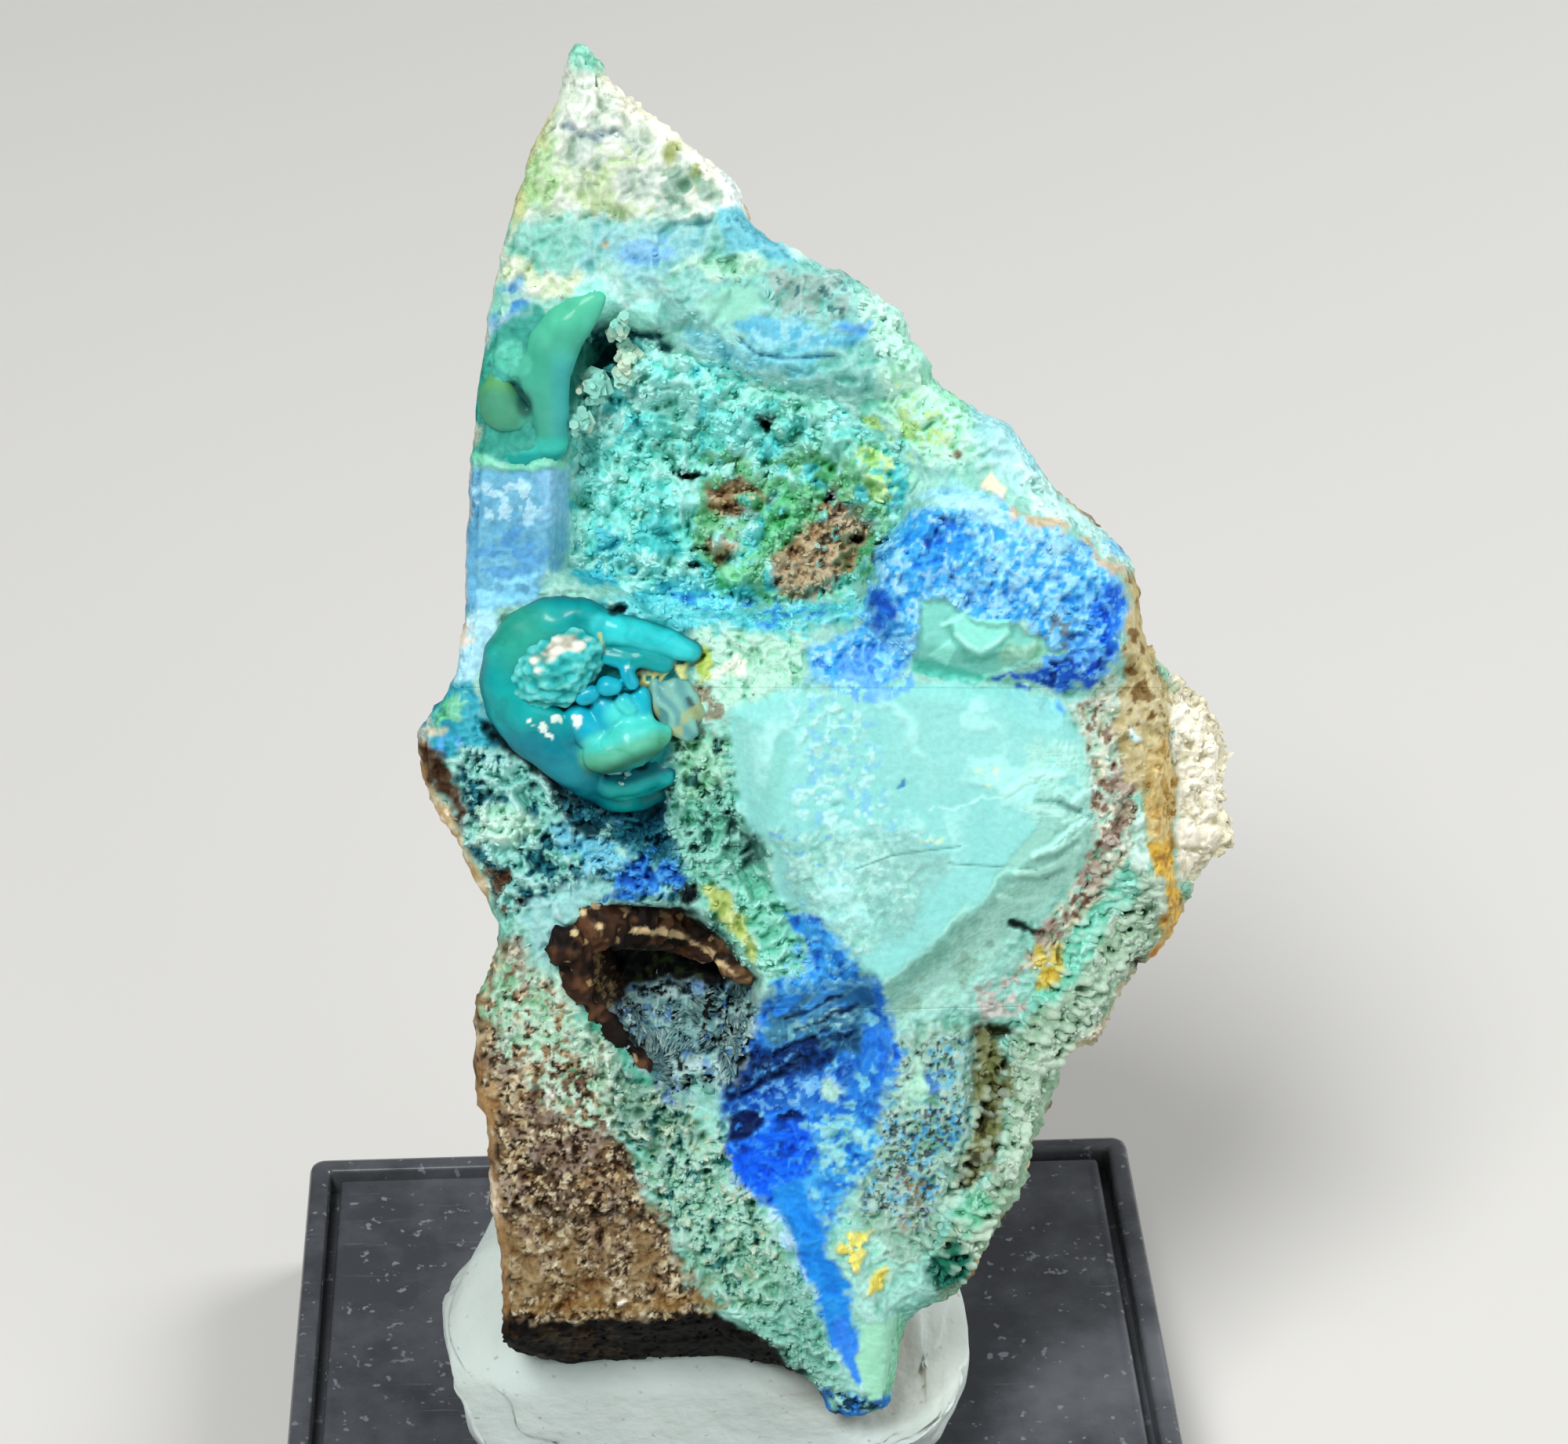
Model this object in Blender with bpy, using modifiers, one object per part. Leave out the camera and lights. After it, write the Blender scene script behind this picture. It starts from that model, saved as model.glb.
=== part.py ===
"""A cyanotrichite specimen standing in mineral tack on a black display base.

The stone is one solid: an iron-stained matrix slab with everything that grew on it, a blue and
a green crust, rolls of waxy copper silicate, lumps and pits.  The crystals that line its two
hollows are two thin crusts, apart from it.  Metres, +Z up; the origin is the centre of the
base's underside.
"""

import math

import bmesh
import bpy
import numpy as np
from mathutils import Matrix, Vector

MM = 0.001
GAP = 0.3  # mm between pieces that touch

# Display base, mm.
BASE_SIDE = 31.75
BASE_HEIGHT = 5.0
RIM_WIDTH = 0.78
GROOVE_WIDTH = 0.45
GROOVE_DEPTH = 1.1
PLATFORM_DROP = 0.2
CORNER_RADIUS = 0.6
EDGE_RADIUS = 0.2
WALL_DRAFT = 0.03  # the groove's walls lean by this much

# The stone's own frame: u to the right, v up and w outwards, mm, from the centre of the
# base's top.  It leans back and is turned a little on the base.
FRAME_LEAN = math.radians(32.3)
FRAME_TURN = math.radians(2.69)
FACE_FOOT_W = 6.0  # w of the front face at v = 0
FACE_SLOPE = 0.37  # the face stands 12 degrees off upright, so w grows with v
STONE_DEPTH = 11.0
FOOT_CLEARANCE = 1.3  # the stone's foot above the base, in the tack
STONE_TRIANGLES = 6400

# Outline of the stone seen along w, mm, clockwise from the tip.
STONE_OUTLINE = [
    (-4.4, 45.7), (-3.7, 45.0), (-3.4, 44.3), (-2.7, 44.0), (-1.7, 43.2), (-0.6, 42.3),
    (0.1, 41.9), (0.5, 41.4), (0.6, 40.5), (1.1, 40.0), (2.0, 39.7), (2.9, 39.1),
    (3.7, 38.9), (4.7, 38.2), (5.6, 37.6), (5.6, 37.1), (6.3, 36.4), (6.3, 35.8),
    (7.9, 34.8), (8.9, 34.4), (10.0, 32.9), (10.7, 32.0), (12.1, 31.0), (12.8, 30.3),
    (13.2, 29.2), (13.4, 27.7), (14.5, 26.4), (15.6, 25.6), (16.4, 24.3), (16.4, 22.2),
    (17.0, 21.0), (15.9, 20.5), (15.3, 19.5), (15.2, 18.7), (14.6, 17.7), (14.3, 17.2),
    (13.6, 16.8), (13.0, 15.9), (12.3, 14.2), (11.2, 14.0), (11.0, 12.8), (10.3, 11.0),
    (9.8, 9.3), (8.8, 7.7), (8.1, 6.1), (7.1, 5.3), (6.0, 4.7), (5.7, 3.3),
    (5.5, 1.8), (4.9, 1.3), (3.4, 1.2), (3.0, 2.0), (2.4, 2.6), (-0.9, 2.4),
    (-5.8, 2.4), (-7.4, 3.1), (-7.9, 3.6), (-7.8, 5.0), (-7.8, 7.2), (-8.1, 8.9),
    (-8.1, 11.5), (-8.5, 12.8), (-8.4, 15.9), (-7.8, 17.0), (-7.5, 18.3), (-8.1, 19.5),
    (-8.8, 21.0), (-9.8, 22.8), (-10.1, 24.7), (-8.8, 26.3), (-8.4, 28.3), (-8.3, 30.4),
    (-8.1, 32.8), (-7.8, 35.2), (-7.3, 38.1), (-6.7, 40.2), (-5.9, 42.6), (-5.0, 44.0),
    (-4.8, 45.2),
]

# Raised and sunken fields of the face: height, width of the edge's slope, outline, all mm.
UPPER_VUG = [
    (-4.8, 36.6), (-3.4, 37.5), (-1.6, 36.6), (0.6, 35.6), (3.2, 35.2), (5.4, 33.6),
    (6.2, 32.6), (5.6, 31.0), (4.5, 30.2), (4.2, 28.9), (2.0, 28.4), (-2.4, 28.7),
    (-5.2, 29.9), (-4.9, 34.6),
]
LOWER_POCKET = [
    (-5.2, 18.2), (-3.8, 19.0), (-1.6, 19.0), (-0.2, 18.0), (0.9, 16.6), (0.5, 14.8),
    (-0.2, 12.2), (-2.0, 12.4), (-3.0, 14.2), (-4.2, 16.0),
]
FIELDS = {
    "pale ledge": (0.7, 0.9, [(-2.4, 38.6), (0.2, 40.6), (2.8, 39.6), (5.8, 37.8),
                              (6.8, 35.8), (4.0, 35.2), (1.0, 35.8), (-1.0, 37.0)]),
    "upper vug": (-2.6, 1.1, UPPER_VUG),
    "blue block": (1.6, 1.3, [(4.6, 30.4), (6.0, 31.9), (8.2, 32.2), (10.6, 31.2),
                              (12.4, 29.5), (12.6, 27.2), (11.4, 26.2), (9.5, 26.6),
                              (6.0, 26.9), (4.4, 28.4)]),
    "mint sheet": (1.1, 1.6, [(0.4, 25.2), (3.0, 26.6), (5.6, 26.6), (8.5, 26.1),
                              (10.8, 25.2), (11.6, 23.0), (11.0, 20.6), (5.0, 15.8),
                              (3.6, 17.0), (2.2, 19.4), (1.0, 21.5)]),
    "brown block": (0.5, 0.8, [(-9.0, 17.6), (-6.6, 17.4), (-5.0, 15.8), (-3.2, 13.6),
                               (-2.6, 11.5), (-1.8, 8.6), (-0.4, 4.4), (-9.0, 3.6)]),
    "side hollow": (-1.6, 0.7, [(-5.2, 23.6), (-3.4, 22.8), (-1.9, 23.3), (-1.8, 21.2),
                                (-2.2, 20.6), (-4.4, 21.8)]),
    "sheet slot": (-0.9, 0.4, [(0.0, 22.2), (0.9, 21.0), (1.4, 19.4), (0.8, 19.2),
                               (-0.2, 21.0)]),
    "blue trough": (-1.0, 1.0, [(0.2, 15.6), (4.4, 16.6), (5.2, 14.9), (3.4, 12.6),
                                (0.0, 11.8)]),
    "olive groove": (-0.7, 0.6, [(8.1, 15.2), (9.3, 14.6), (9.1, 11.0), (8.0, 9.4),
                                 (7.0, 8.8), (7.7, 11.0), (7.9, 13.0)]),
    "cream chunk": (-1.6, 0.8, [(13.5, 27.6), (14.6, 26.6), (18.0, 25.0), (18.0, 20.0),
                                (15.8, 17.6), (14.6, 18.4), (14.2, 21.0), (14.1, 25.0)]),
    "foot ridge": (0.8, 0.8, [(2.0, 8.6), (4.0, 8.0), (5.4, 4.6), (5.8, 0.6),
                              (3.2, 0.6), (2.6, 3.6), (1.8, 6.2)]),
}
POCKET_DEPTH = 4.6
SHEET_RIDGE = [(10.6, 21.6), (5.0, 16.4)]  # the sheet breaks along this line
SHEET_FALL = 0.45  # and falls away beyond it, mm per mm, over this far
SHEET_FALL_REACH = 3.2
RIGHT_FALL_START = 9.0
RIGHT_FALL = 0.035
UNDERCUT_EDGE = [(-7.9, 4.4), (-4.5, 5.0), (-0.4, 5.2), (0.8, 4.6), (1.5, 4.0), (2.6, 2.6)]
UNDERCUT_SLOPE = 1.7

# Waxy rolls and the pocket's rind: path in u and v, height above the face, radius, mm.
ROLLS = {
    "c_roll": ([(-3.5, 27.9), (-4.6, 28.3), (-5.8, 28.0), (-6.9, 27.2), (-7.3, 26.2),
                (-7.0, 25.2), (-6.1, 24.3), (-5.1, 23.5), (-4.0, 22.7)], 0.5, 0.72),
    "second_roll": ([(-3.9, 27.6), (-2.8, 27.5), (-1.0, 27.5)], 0.5, 0.42),
    "third_roll": ([(-3.4, 27.0), (-2.6, 26.9), (-1.6, 26.8)], 0.3, 0.34),
    "tongue": ([(-3.9, 23.9), (-3.0, 24.3), (-2.0, 24.6)], 0.9, 0.62),
    "lower_lip": ([(-3.6, 22.9), (-2.6, 23.0), (-1.8, 23.5)], 0.5, 0.34),
    "ribbed_roll": ([(-1.9, 26.4), (-1.6, 25.2), (-0.7, 24.6)], 0.3, 0.5),
    "ribbon": ([(-3.8, 38.0), (-4.9, 37.3), (-5.7, 36.3), (-6.0, 35.1), (-5.8, 33.8)],
               0.3, 0.78),
    "pocket_rind": ([(-5.1, 17.8), (-4.6, 18.6), (-3.4, 19.0), (-2.0, 18.9), (-0.7, 18.3),
                     (0.6, 17.0)], 0.6, 0.55),
    "pocket_rim": ([(-4.9, 17.2), (-4.1, 15.9), (-3.0, 14.3)], 0.3, 0.3),
}
# Round lumps: u, v, height above the face, radius, mm.
LUMPS = [
    (-5.4, 26.5, 0.1, 1.45), (-3.4, 25.9, 0.3, 0.55), (-4.5, 25.2, 0.5, 0.5),
    (-8.9, 25.2, -0.2, 0.8), (-7.2, 29.6, -0.5, 0.9), (-1.0, 23.6, 0.2, 0.9),
    (-0.6, 21.8, 0.1, 0.9), (0.4, 18.3, 0.2, 1.1), (-7.0, 21.9, 0.0, 1.0),
    (-5.9, 20.0, 0.2, 1.1), (3.6, 38.5, 0.0, 0.55), (5.3, 37.3, 0.0, 0.6),
    (6.0, 36.1, 0.0, 0.6), (1.9, 39.4, 0.0, 0.5), (8.4, 34.2, 0.0, 0.7),
    (11.9, 30.6, -0.4, 0.8), (9.0, 28.0, 1.0, 0.9), (8.3, 31.9, 0.6, 0.5),
    (-0.9, 40.4, 0.1, 0.6), (6.1, 13.0, 0.1, 0.7), (3.2, 12.9, 0.4, 0.5),
]
# The beaded rim at the lower right: the beads' line, radius and spacing, mm.
RIM_LINE = [(7.4, 6.4), (8.6, 9.0), (9.8, 12.4), (10.9, 14.4), (12.4, 16.6), (13.1, 18.6),
            (13.3, 20.6)]
BEAD_RADIUS = 0.62
BEAD_SPACING = 0.95
ROW_SPACING = 0.8

# The crusts that line the two hollows, mm.
VUG_CRUST_THICKNESS = 1.0
POCKET_CRUST_THICKNESS = 0.9
CRUST_CLEARANCE = 0.4  # kept sideways from a hollow's walls
CRUST_TRIANGLES = 750

# The ball of tack: centre, half sizes, mm, and its lower front.
TACK_CENTRE = (-1.0, 1.3, 3.6)
TACK_HALF = (9.3, 8.5, 4.9)
TACK_FRONT_TOP = 5.0
TACK_TRIANGLES = 900
SOCKET_TRIANGLES = 600


def clear_scene():
    for old in list(bpy.data.objects):
        bpy.data.objects.remove(old, do_unlink=True)


def make_collection(name):
    collection = bpy.data.collections.new(name)
    bpy.context.scene.collection.children.link(collection)
    return collection


def make_material(name, colour, roughness, metallic=0.0):
    material = bpy.data.materials.new(name)
    material.use_nodes = True
    shader = material.node_tree.nodes["Principled BSDF"]
    shader.inputs["Base Color"].default_value = (*colour, 1.0)
    shader.inputs["Roughness"].default_value = roughness
    shader.inputs["Metallic"].default_value = metallic
    return material


def add_object(name, mesh, collection, material=None):
    piece = bpy.data.objects.new(name, mesh)
    collection.objects.link(piece)
    if material:
        piece.data.materials.append(material)
    return piece


def add_cutter(name, mesh):
    cutter = add_object(name, mesh, CUTTERS)
    cutter.hide_render = True
    cutter.display_type = "WIRE"
    return cutter


def apply_modifiers(piece):
    """Replace the object's mesh by its evaluated one."""
    bpy.context.view_layer.update()
    evaluated = piece.evaluated_get(bpy.context.evaluated_depsgraph_get())
    mesh = bpy.data.meshes.new_from_object(evaluated)
    piece.modifiers.clear()
    piece.data = mesh
    return piece


def remesh(piece, voxel):
    modifier = piece.modifiers.new("remesh", "REMESH")
    modifier.mode = "VOXEL"
    modifier.voxel_size = voxel * MM
    return apply_modifiers(piece)


def decimate(piece, triangles):
    count = sum(len(face.vertices) - 2 for face in piece.data.polygons)
    modifier = piece.modifiers.new("decimate", "DECIMATE")
    modifier.ratio = min(1.0, triangles / count)
    modifier.use_collapse_triangulate = True
    return apply_modifiers(piece)


def frame_matrix():
    """From the stone's frame, in metres, to the world."""
    lean = Matrix.Rotation(math.pi / 2 - FRAME_LEAN, 4, "X")
    turn = Matrix.Rotation(-FRAME_TURN, 4, "Z")
    return Matrix.Translation((0, 0, BASE_HEIGHT * MM)) @ turn @ lean


def read_points(mesh):
    points = np.empty(len(mesh.vertices) * 3, dtype=np.float32)
    mesh.vertices.foreach_get("co", points)
    return points.reshape(-1, 3).astype(float) / MM


def write_points(mesh, points):
    mesh.vertices.foreach_set("co", (points * MM).astype(np.float32).ravel())
    mesh.update()


def smooth_step(x):
    x = np.clip(x, 0.0, 1.0)
    return x * x * (3.0 - 2.0 * x)


def signed_distance(u, v, outline):
    """Distance to the outline, positive inside it."""
    nearest = np.full(u.shape, 1e9)
    inside = np.zeros(u.shape, dtype=bool)
    for (u0, v0), (u1, v1) in zip(outline, outline[1:] + outline[:1]):
        du, dv = u1 - u0, v1 - v0
        along = np.clip(((u - u0) * du + (v - v0) * dv) / (du * du + dv * dv), 0.0, 1.0)
        nearest = np.minimum(nearest, np.hypot(u - u0 - along * du, v - v0 - along * dv))
        if dv != 0.0:
            crosses = ((v0 > v) != (v1 > v)) & (u < u0 + (v - v0) * du / dv)
            inside ^= crosses
    return np.where(inside, nearest, -nearest)


def lattice_value(i, j, k, seed):
    mixed = np.sin(i * 127.1 + j * 311.7 + k * 74.7 + seed * 53.3) * 43758.5453
    return (mixed - np.floor(mixed)) * 2.0 - 1.0


def noise(x, y, z, size, seed):
    """Smooth noise from -1 to 1 with lumps of about the given size."""
    x, y, z = x / size, y / size, z / size
    i, j, k = np.floor(x), np.floor(y), np.floor(z)
    a, b, c = smooth_step(x - i), smooth_step(y - j), smooth_step(z - k)
    total = np.zeros(np.broadcast(x, y, z).shape)
    for di in (0, 1):
        for dj in (0, 1):
            for dk in (0, 1):
                weight = np.where(di, a, 1 - a) * np.where(dj, b, 1 - b) * np.where(dk, c, 1 - c)
                total += weight * lattice_value(i + di, j + dj, k + dk, seed)
    return total


def front(u, v):
    """Height w of the stone's face, with its ledges, hollows and facets."""
    w = FACE_FOOT_W + FACE_SLOPE * v
    for height, edge, outline in FIELDS.values():
        w += height * smooth_step(signed_distance(u, v, outline) / edge + 0.5)
    into_pocket = smooth_step(signed_distance(u, v, LOWER_POCKET) / 1.0 + 0.3)
    w -= POCKET_DEPTH * into_pocket * smooth_step((v - 10.5) / 6.5)
    (u0, v0), (u1, v1) = SHEET_RIDGE
    length = math.hypot(u1 - u0, v1 - v0)
    beyond = ((u - u0) * (v1 - v0) - (v - v0) * (u1 - u0)) / length
    along = ((u - u0) * (u1 - u0) + (v - v0) * (v1 - v0)) / length
    on_ridge = smooth_step((along + 1.5) / 2) * smooth_step((length + 1.5 - along) / 2)
    w -= SHEET_FALL * np.clip(-beyond, 0.0, SHEET_FALL_REACH) * on_ridge
    w -= RIGHT_FALL * np.clip(u - RIGHT_FALL_START, 0.0, None) ** 2
    edge_u, edge_v = zip(*UNDERCUT_EDGE)
    below = np.interp(u, edge_u, edge_v) - v
    w -= UNDERCUT_SLOPE * np.clip(below, 0.0, None) * (u < edge_u[-1] + 0.2)
    return w


def roll_off(u, v):
    """How far the face turns back near its outline: sharply at the left, softly at the right."""
    radius = np.where(u < -3.0, 0.5, 1.3)
    inset = np.clip(1.0 - signed_distance(u, v, STONE_OUTLINE) / radius, 0.0, 1.0)
    return radius * (1.0 - np.sqrt(1.0 - inset * inset))


def back(u, v):
    """Height w of the stone's rough back."""
    thin = smooth_step((v - 26.0) / 20.0)
    thickness = STONE_DEPTH * (1.0 - 0.55 * thin) - 0.02 * (u - 2.0) ** 2
    lumps = 0.9 * noise(u, v, 0 * u, 5.0, 3) + 0.4 * noise(u, v, 0 * u, 2.2, 4)
    return FACE_FOOT_W + FACE_SLOPE * v - thickness + lumps


def slab_from_outline(name, outline, depth, voxel):
    """A slab of the outline, depth deep, w running from -depth to 0, in even small faces."""
    curve = bpy.data.curves.new(name, "CURVE")
    curve.dimensions = "2D"
    curve.fill_mode = "BOTH"
    curve.extrude = depth / 2 * MM
    spline = curve.splines.new("POLY")
    spline.points.add(len(outline) - 1)
    for point, (u, v) in zip(spline.points, outline):
        point.co = (u * MM, v * MM, 0.0, 1.0)
    spline.use_cyclic_u = True
    guide = bpy.data.objects.new(name, curve)
    CUTTERS.objects.link(guide)
    bpy.context.view_layer.update()
    evaluated = guide.evaluated_get(bpy.context.evaluated_depsgraph_get())
    mesh = bpy.data.meshes.new_from_object(evaluated)
    bpy.data.objects.remove(guide)
    shape = bmesh.new()
    shape.from_mesh(mesh)
    bmesh.ops.remove_doubles(shape, verts=shape.verts, dist=0.00001)
    bmesh.ops.translate(shape, verts=shape.verts, vec=(0.0, 0.0, -depth / 2 * MM))
    shape.to_mesh(mesh)
    shape.free()
    return remesh(add_object(name, mesh, CUTTERS), voxel)


def add_roll(shape, path, height, radius):
    """A run of round lumps along the path, close enough to read as one roll."""
    for (u0, v0), (u1, v1) in zip(path, path[1:]):
        steps = max(1, round(math.hypot(u1 - u0, v1 - v0) / (0.45 * radius)))
        for step in range(steps + 1):
            part = step / steps
            add_lump(shape, u0 + part * (u1 - u0), v0 + part * (v1 - v0), height, radius)


def add_lump(shape, u, v, height, radius):
    w = float(front(np.array([u]), np.array([v]))[0]) + height - 0.4 * radius
    place = Matrix.Translation(Vector((u, v, w)) * MM)
    bmesh.ops.create_icosphere(shape, subdivisions=2, radius=radius * MM, matrix=place)


def bead_places():
    """Three staggered rows of beads, from the rim's line inwards."""
    for row in range(3):
        travelled = row * BEAD_SPACING / 3
        for (u0, v0), (u1, v1) in zip(RIM_LINE, RIM_LINE[1:]):
            length = math.hypot(u1 - u0, v1 - v0)
            while travelled < length:
                part = travelled / length
                inward = row * ROW_SPACING
                yield (u0 + part * (u1 - u0) - inward * (v1 - v0) / length,
                       v0 + part * (v1 - v0) + inward * (u1 - u0) / length, row)
                travelled += BEAD_SPACING
            travelled -= length


def make_stone():
    stone = slab_from_outline("specimen_rock", STONE_OUTLINE, STONE_DEPTH, 0.5)
    u, v, w = read_points(stone.data).T
    depth = np.clip(-w / STONE_DEPTH, 0.0, 1.0)
    near, far = front(u, v) - roll_off(u, v), back(u, v)
    w = near + (np.minimum(far, near - 1.5) - near) * depth
    middle_u = 2.0 - 3.0 * smooth_step((v - 24.0) / 20.0)
    narrow = 1.0 - 0.16 * depth ** 1.5
    ripple = 0.35 * depth
    u_new = middle_u + (u - middle_u) * narrow + ripple * noise(u, v, w, 3.0, 7)
    v_new = 22.0 + (v - 22.0) * narrow + ripple * noise(u, v, w, 3.0, 8)
    w += 0.22 * noise(u, v, w, 2.4, 1) + 0.12 * noise(u, v, w, 1.1, 2)
    write_points(stone.data, np.stack([u_new, v_new, w], axis=1))

    shape = bmesh.new()
    shape.from_mesh(stone.data)
    for path, height, radius in ROLLS.values():
        add_roll(shape, path, height, radius)
    for u, v, height, radius in LUMPS:
        add_lump(shape, u, v, height, radius)
    for u, v, row in bead_places():
        add_lump(shape, u, v, 0.1 - 0.1 * row, BEAD_RADIUS)
    shape.to_mesh(stone.data)
    shape.free()
    remesh(stone, 0.33)
    stone.data.transform(frame_matrix())

    shape = bmesh.new()
    shape.from_mesh(stone.data)
    foot = Vector((0.0, 0.0, (BASE_HEIGHT + FOOT_CLEARANCE) * MM))
    geometry = shape.verts[:] + shape.edges[:] + shape.faces[:]
    cut = bmesh.ops.bisect_plane(shape, geom=geometry, dist=1e-7, plane_co=foot,
                                 plane_no=(0, 0, 1), clear_inner=True)
    rim = [item for item in cut["geom_cut"] if isinstance(item, bmesh.types.BMEdge)]
    bmesh.ops.holes_fill(shape, edges=rim, sides=0)
    shape.to_mesh(stone.data)
    shape.free()
    remesh(stone, 0.33)
    decimate(stone, STONE_TRIANGLES)
    CUTTERS.objects.unlink(stone)
    PARTS.objects.link(stone)
    stone.data.materials.clear()
    stone.data.materials.append(make_material("copper_mineral_crust", (0.17, 0.55, 0.50), 0.7))
    return stone


def highest_near(u, v, reach):
    """The face's greatest height within reach of each point, which keeps clear of its walls."""
    sides = ((0, 0), (1, 0), (-1, 0), (0, 1), (0, -1))
    return np.max([front(u + reach * i, v + reach * j) for i, j in sides], axis=0)


def make_crust(name, outline, inset, thickness, seed, colour):
    """A lumpy crust lining a hollow, clear of the stone all round."""
    slab = slab_from_outline(name, outline, thickness, 0.35)
    u, v, w = read_points(slab.data).T
    centre_u, centre_v = np.mean(outline, axis=0)
    reach = np.max(np.hypot(u - centre_u, v - centre_v))
    shrink = 1.0 - inset / reach
    u = centre_u + (u - centre_u) * shrink
    v = centre_v + (v - centre_v) * shrink
    lumps = np.abs(noise(u, v, 0 * u, 1.3, seed)) + 0.5 * noise(u, v, 0 * u, 0.8, seed + 1)
    part = np.clip(1.0 + w / thickness, 0.0, 1.0)
    w = highest_near(u, v, CRUST_CLEARANCE) + 2 * GAP + thickness * part + 0.35 * lumps * part
    write_points(slab.data, np.stack([u, v, w], axis=1))
    decimate(slab, CRUST_TRIANGLES)
    slab.data.transform(frame_matrix())
    CUTTERS.objects.unlink(slab)
    PARTS.objects.link(slab)
    slab.data.materials.append(make_material(name, colour, 0.75))
    return slab


def make_base():
    """A square plate with a rim, a groove for the lid and a platform a little lower."""
    shape = bmesh.new()
    bmesh.ops.create_cube(shape, size=1.0)
    bmesh.ops.scale(shape, verts=shape.verts,
                    vec=Vector((BASE_SIDE, BASE_SIDE, BASE_HEIGHT)) * MM)
    bmesh.ops.translate(shape, verts=shape.verts, vec=(0.0, 0.0, BASE_HEIGHT / 2 * MM))
    upright = [edge for edge in shape.edges
               if abs(edge.verts[0].co.z - edge.verts[1].co.z) > MM]
    bmesh.ops.bevel(shape, geom=upright, offset=CORNER_RADIUS * MM, segments=4,
                    profile=0.5, affect="EDGES")
    brim = [edge for edge in shape.edges
            if min(vert.co.z for vert in edge.verts) > (BASE_HEIGHT - 0.1) * MM]
    bmesh.ops.bevel(shape, geom=brim, offset=EDGE_RADIUS * MM, segments=3,
                    profile=0.5, affect="EDGES")
    top = [max(shape.faces, key=lambda face: face.calc_center_median().z)]
    steps = ((RIM_WIDTH - EDGE_RADIUS, 0.0), (WALL_DRAFT, -GROOVE_DEPTH),
             (GROOVE_WIDTH, 0.0), (WALL_DRAFT, GROOVE_DEPTH - PLATFORM_DROP))
    for width, rise in steps:
        bmesh.ops.inset_region(shape, faces=top, thickness=width * MM, depth=0.0)
        bmesh.ops.translate(shape, verts=list({vert for face in top for vert in face.verts}),
                            vec=(0.0, 0.0, rise * MM))
    bmesh.ops.triangulate(shape, faces=shape.faces)
    mesh = bpy.data.meshes.new("display_base")
    shape.to_mesh(mesh)
    shape.free()
    return add_object("display_base", mesh, PARTS,
                      make_material("black_plastic", (0.012, 0.012, 0.014), 0.12))


def make_tack(stone):
    """A pressed ball of putty, cut by the stone's foot with a small gap all round."""
    shape = bmesh.new()
    bmesh.ops.create_icosphere(shape, subdivisions=4, radius=1.0)
    mesh = bpy.data.meshes.new("mineral_tack")
    shape.to_mesh(mesh)
    shape.free()
    mesh.transform(Matrix.Scale(MM, 4))
    x, y, z = read_points(mesh).T
    flat = 0.82
    x, y = np.sign(x) * np.abs(x) ** flat, np.sign(y) * np.abs(y) ** flat
    x = TACK_CENTRE[0] + TACK_HALF[0] * x * (1.0 + 0.02 * noise(x, y, z, 0.5, 11))
    y = TACK_CENTRE[1] + TACK_HALF[1] * y
    lower_front = smooth_step((1.0 - y) / 4.0)
    rise = TACK_HALF[2] + (TACK_FRONT_TOP - TACK_CENTRE[2] - TACK_HALF[2]) * lower_front
    z = TACK_CENTRE[2] + np.where(z > 0, rise, TACK_HALF[2]) * z
    floor = GAP - PLATFORM_DROP
    write_points(mesh, np.stack([x, y, np.maximum(z, floor) + BASE_HEIGHT], axis=1))
    tack = add_object("mineral_tack", mesh, PARTS)
    remesh(tack, 0.6)
    decimate(tack, TACK_TRIANGLES)

    cutter = add_cutter("foot_socket", stone.data.copy())
    shape = bmesh.new()
    shape.from_mesh(cutter.data)
    geometry = shape.verts[:] + shape.edges[:] + shape.faces[:]
    lid = Vector((0.0, 0.0, (BASE_HEIGHT + 13.0) * MM))
    cut = bmesh.ops.bisect_plane(shape, geom=geometry, dist=1e-7, plane_co=lid,
                                 plane_no=(0, 0, -1), clear_inner=True)
    rim = [item for item in cut["geom_cut"] if isinstance(item, bmesh.types.BMEdge)]
    bmesh.ops.holes_fill(shape, edges=rim, sides=0)
    shape.to_mesh(cutter.data)
    shape.free()
    remesh(cutter, 0.5)
    grow = cutter.modifiers.new("grow", "DISPLACE")
    grow.mid_level = 0.0
    grow.strength = (GAP + 0.15) * MM
    apply_modifiers(cutter)
    remesh(cutter, 0.5)
    decimate(cutter, SOCKET_TRIANGLES)
    boolean = tack.modifiers.new("socket", "BOOLEAN")
    boolean.operation = "DIFFERENCE"
    boolean.object = cutter
    apply_modifiers(tack)
    tack.data.materials.clear()
    tack.data.materials.append(make_material("white_putty", (0.72, 0.72, 0.70), 0.6))
    return tack


clear_scene()
PARTS = make_collection("cyanotrichite_specimen")
CUTTERS = make_collection("cutters")
ROCK = make_stone()
make_crust("vug_crust", UPPER_VUG, 0.5, VUG_CRUST_THICKNESS, 21, (0.20, 0.60, 0.52))
make_crust("pocket_crust", LOWER_POCKET, 1.1, POCKET_CRUST_THICKNESS, 31, (0.22, 0.42, 0.55))
make_base()
make_tack(ROCK)
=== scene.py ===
import math

import bmesh
import bpy
import numpy as np
from mathutils import Matrix, Vector


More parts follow.
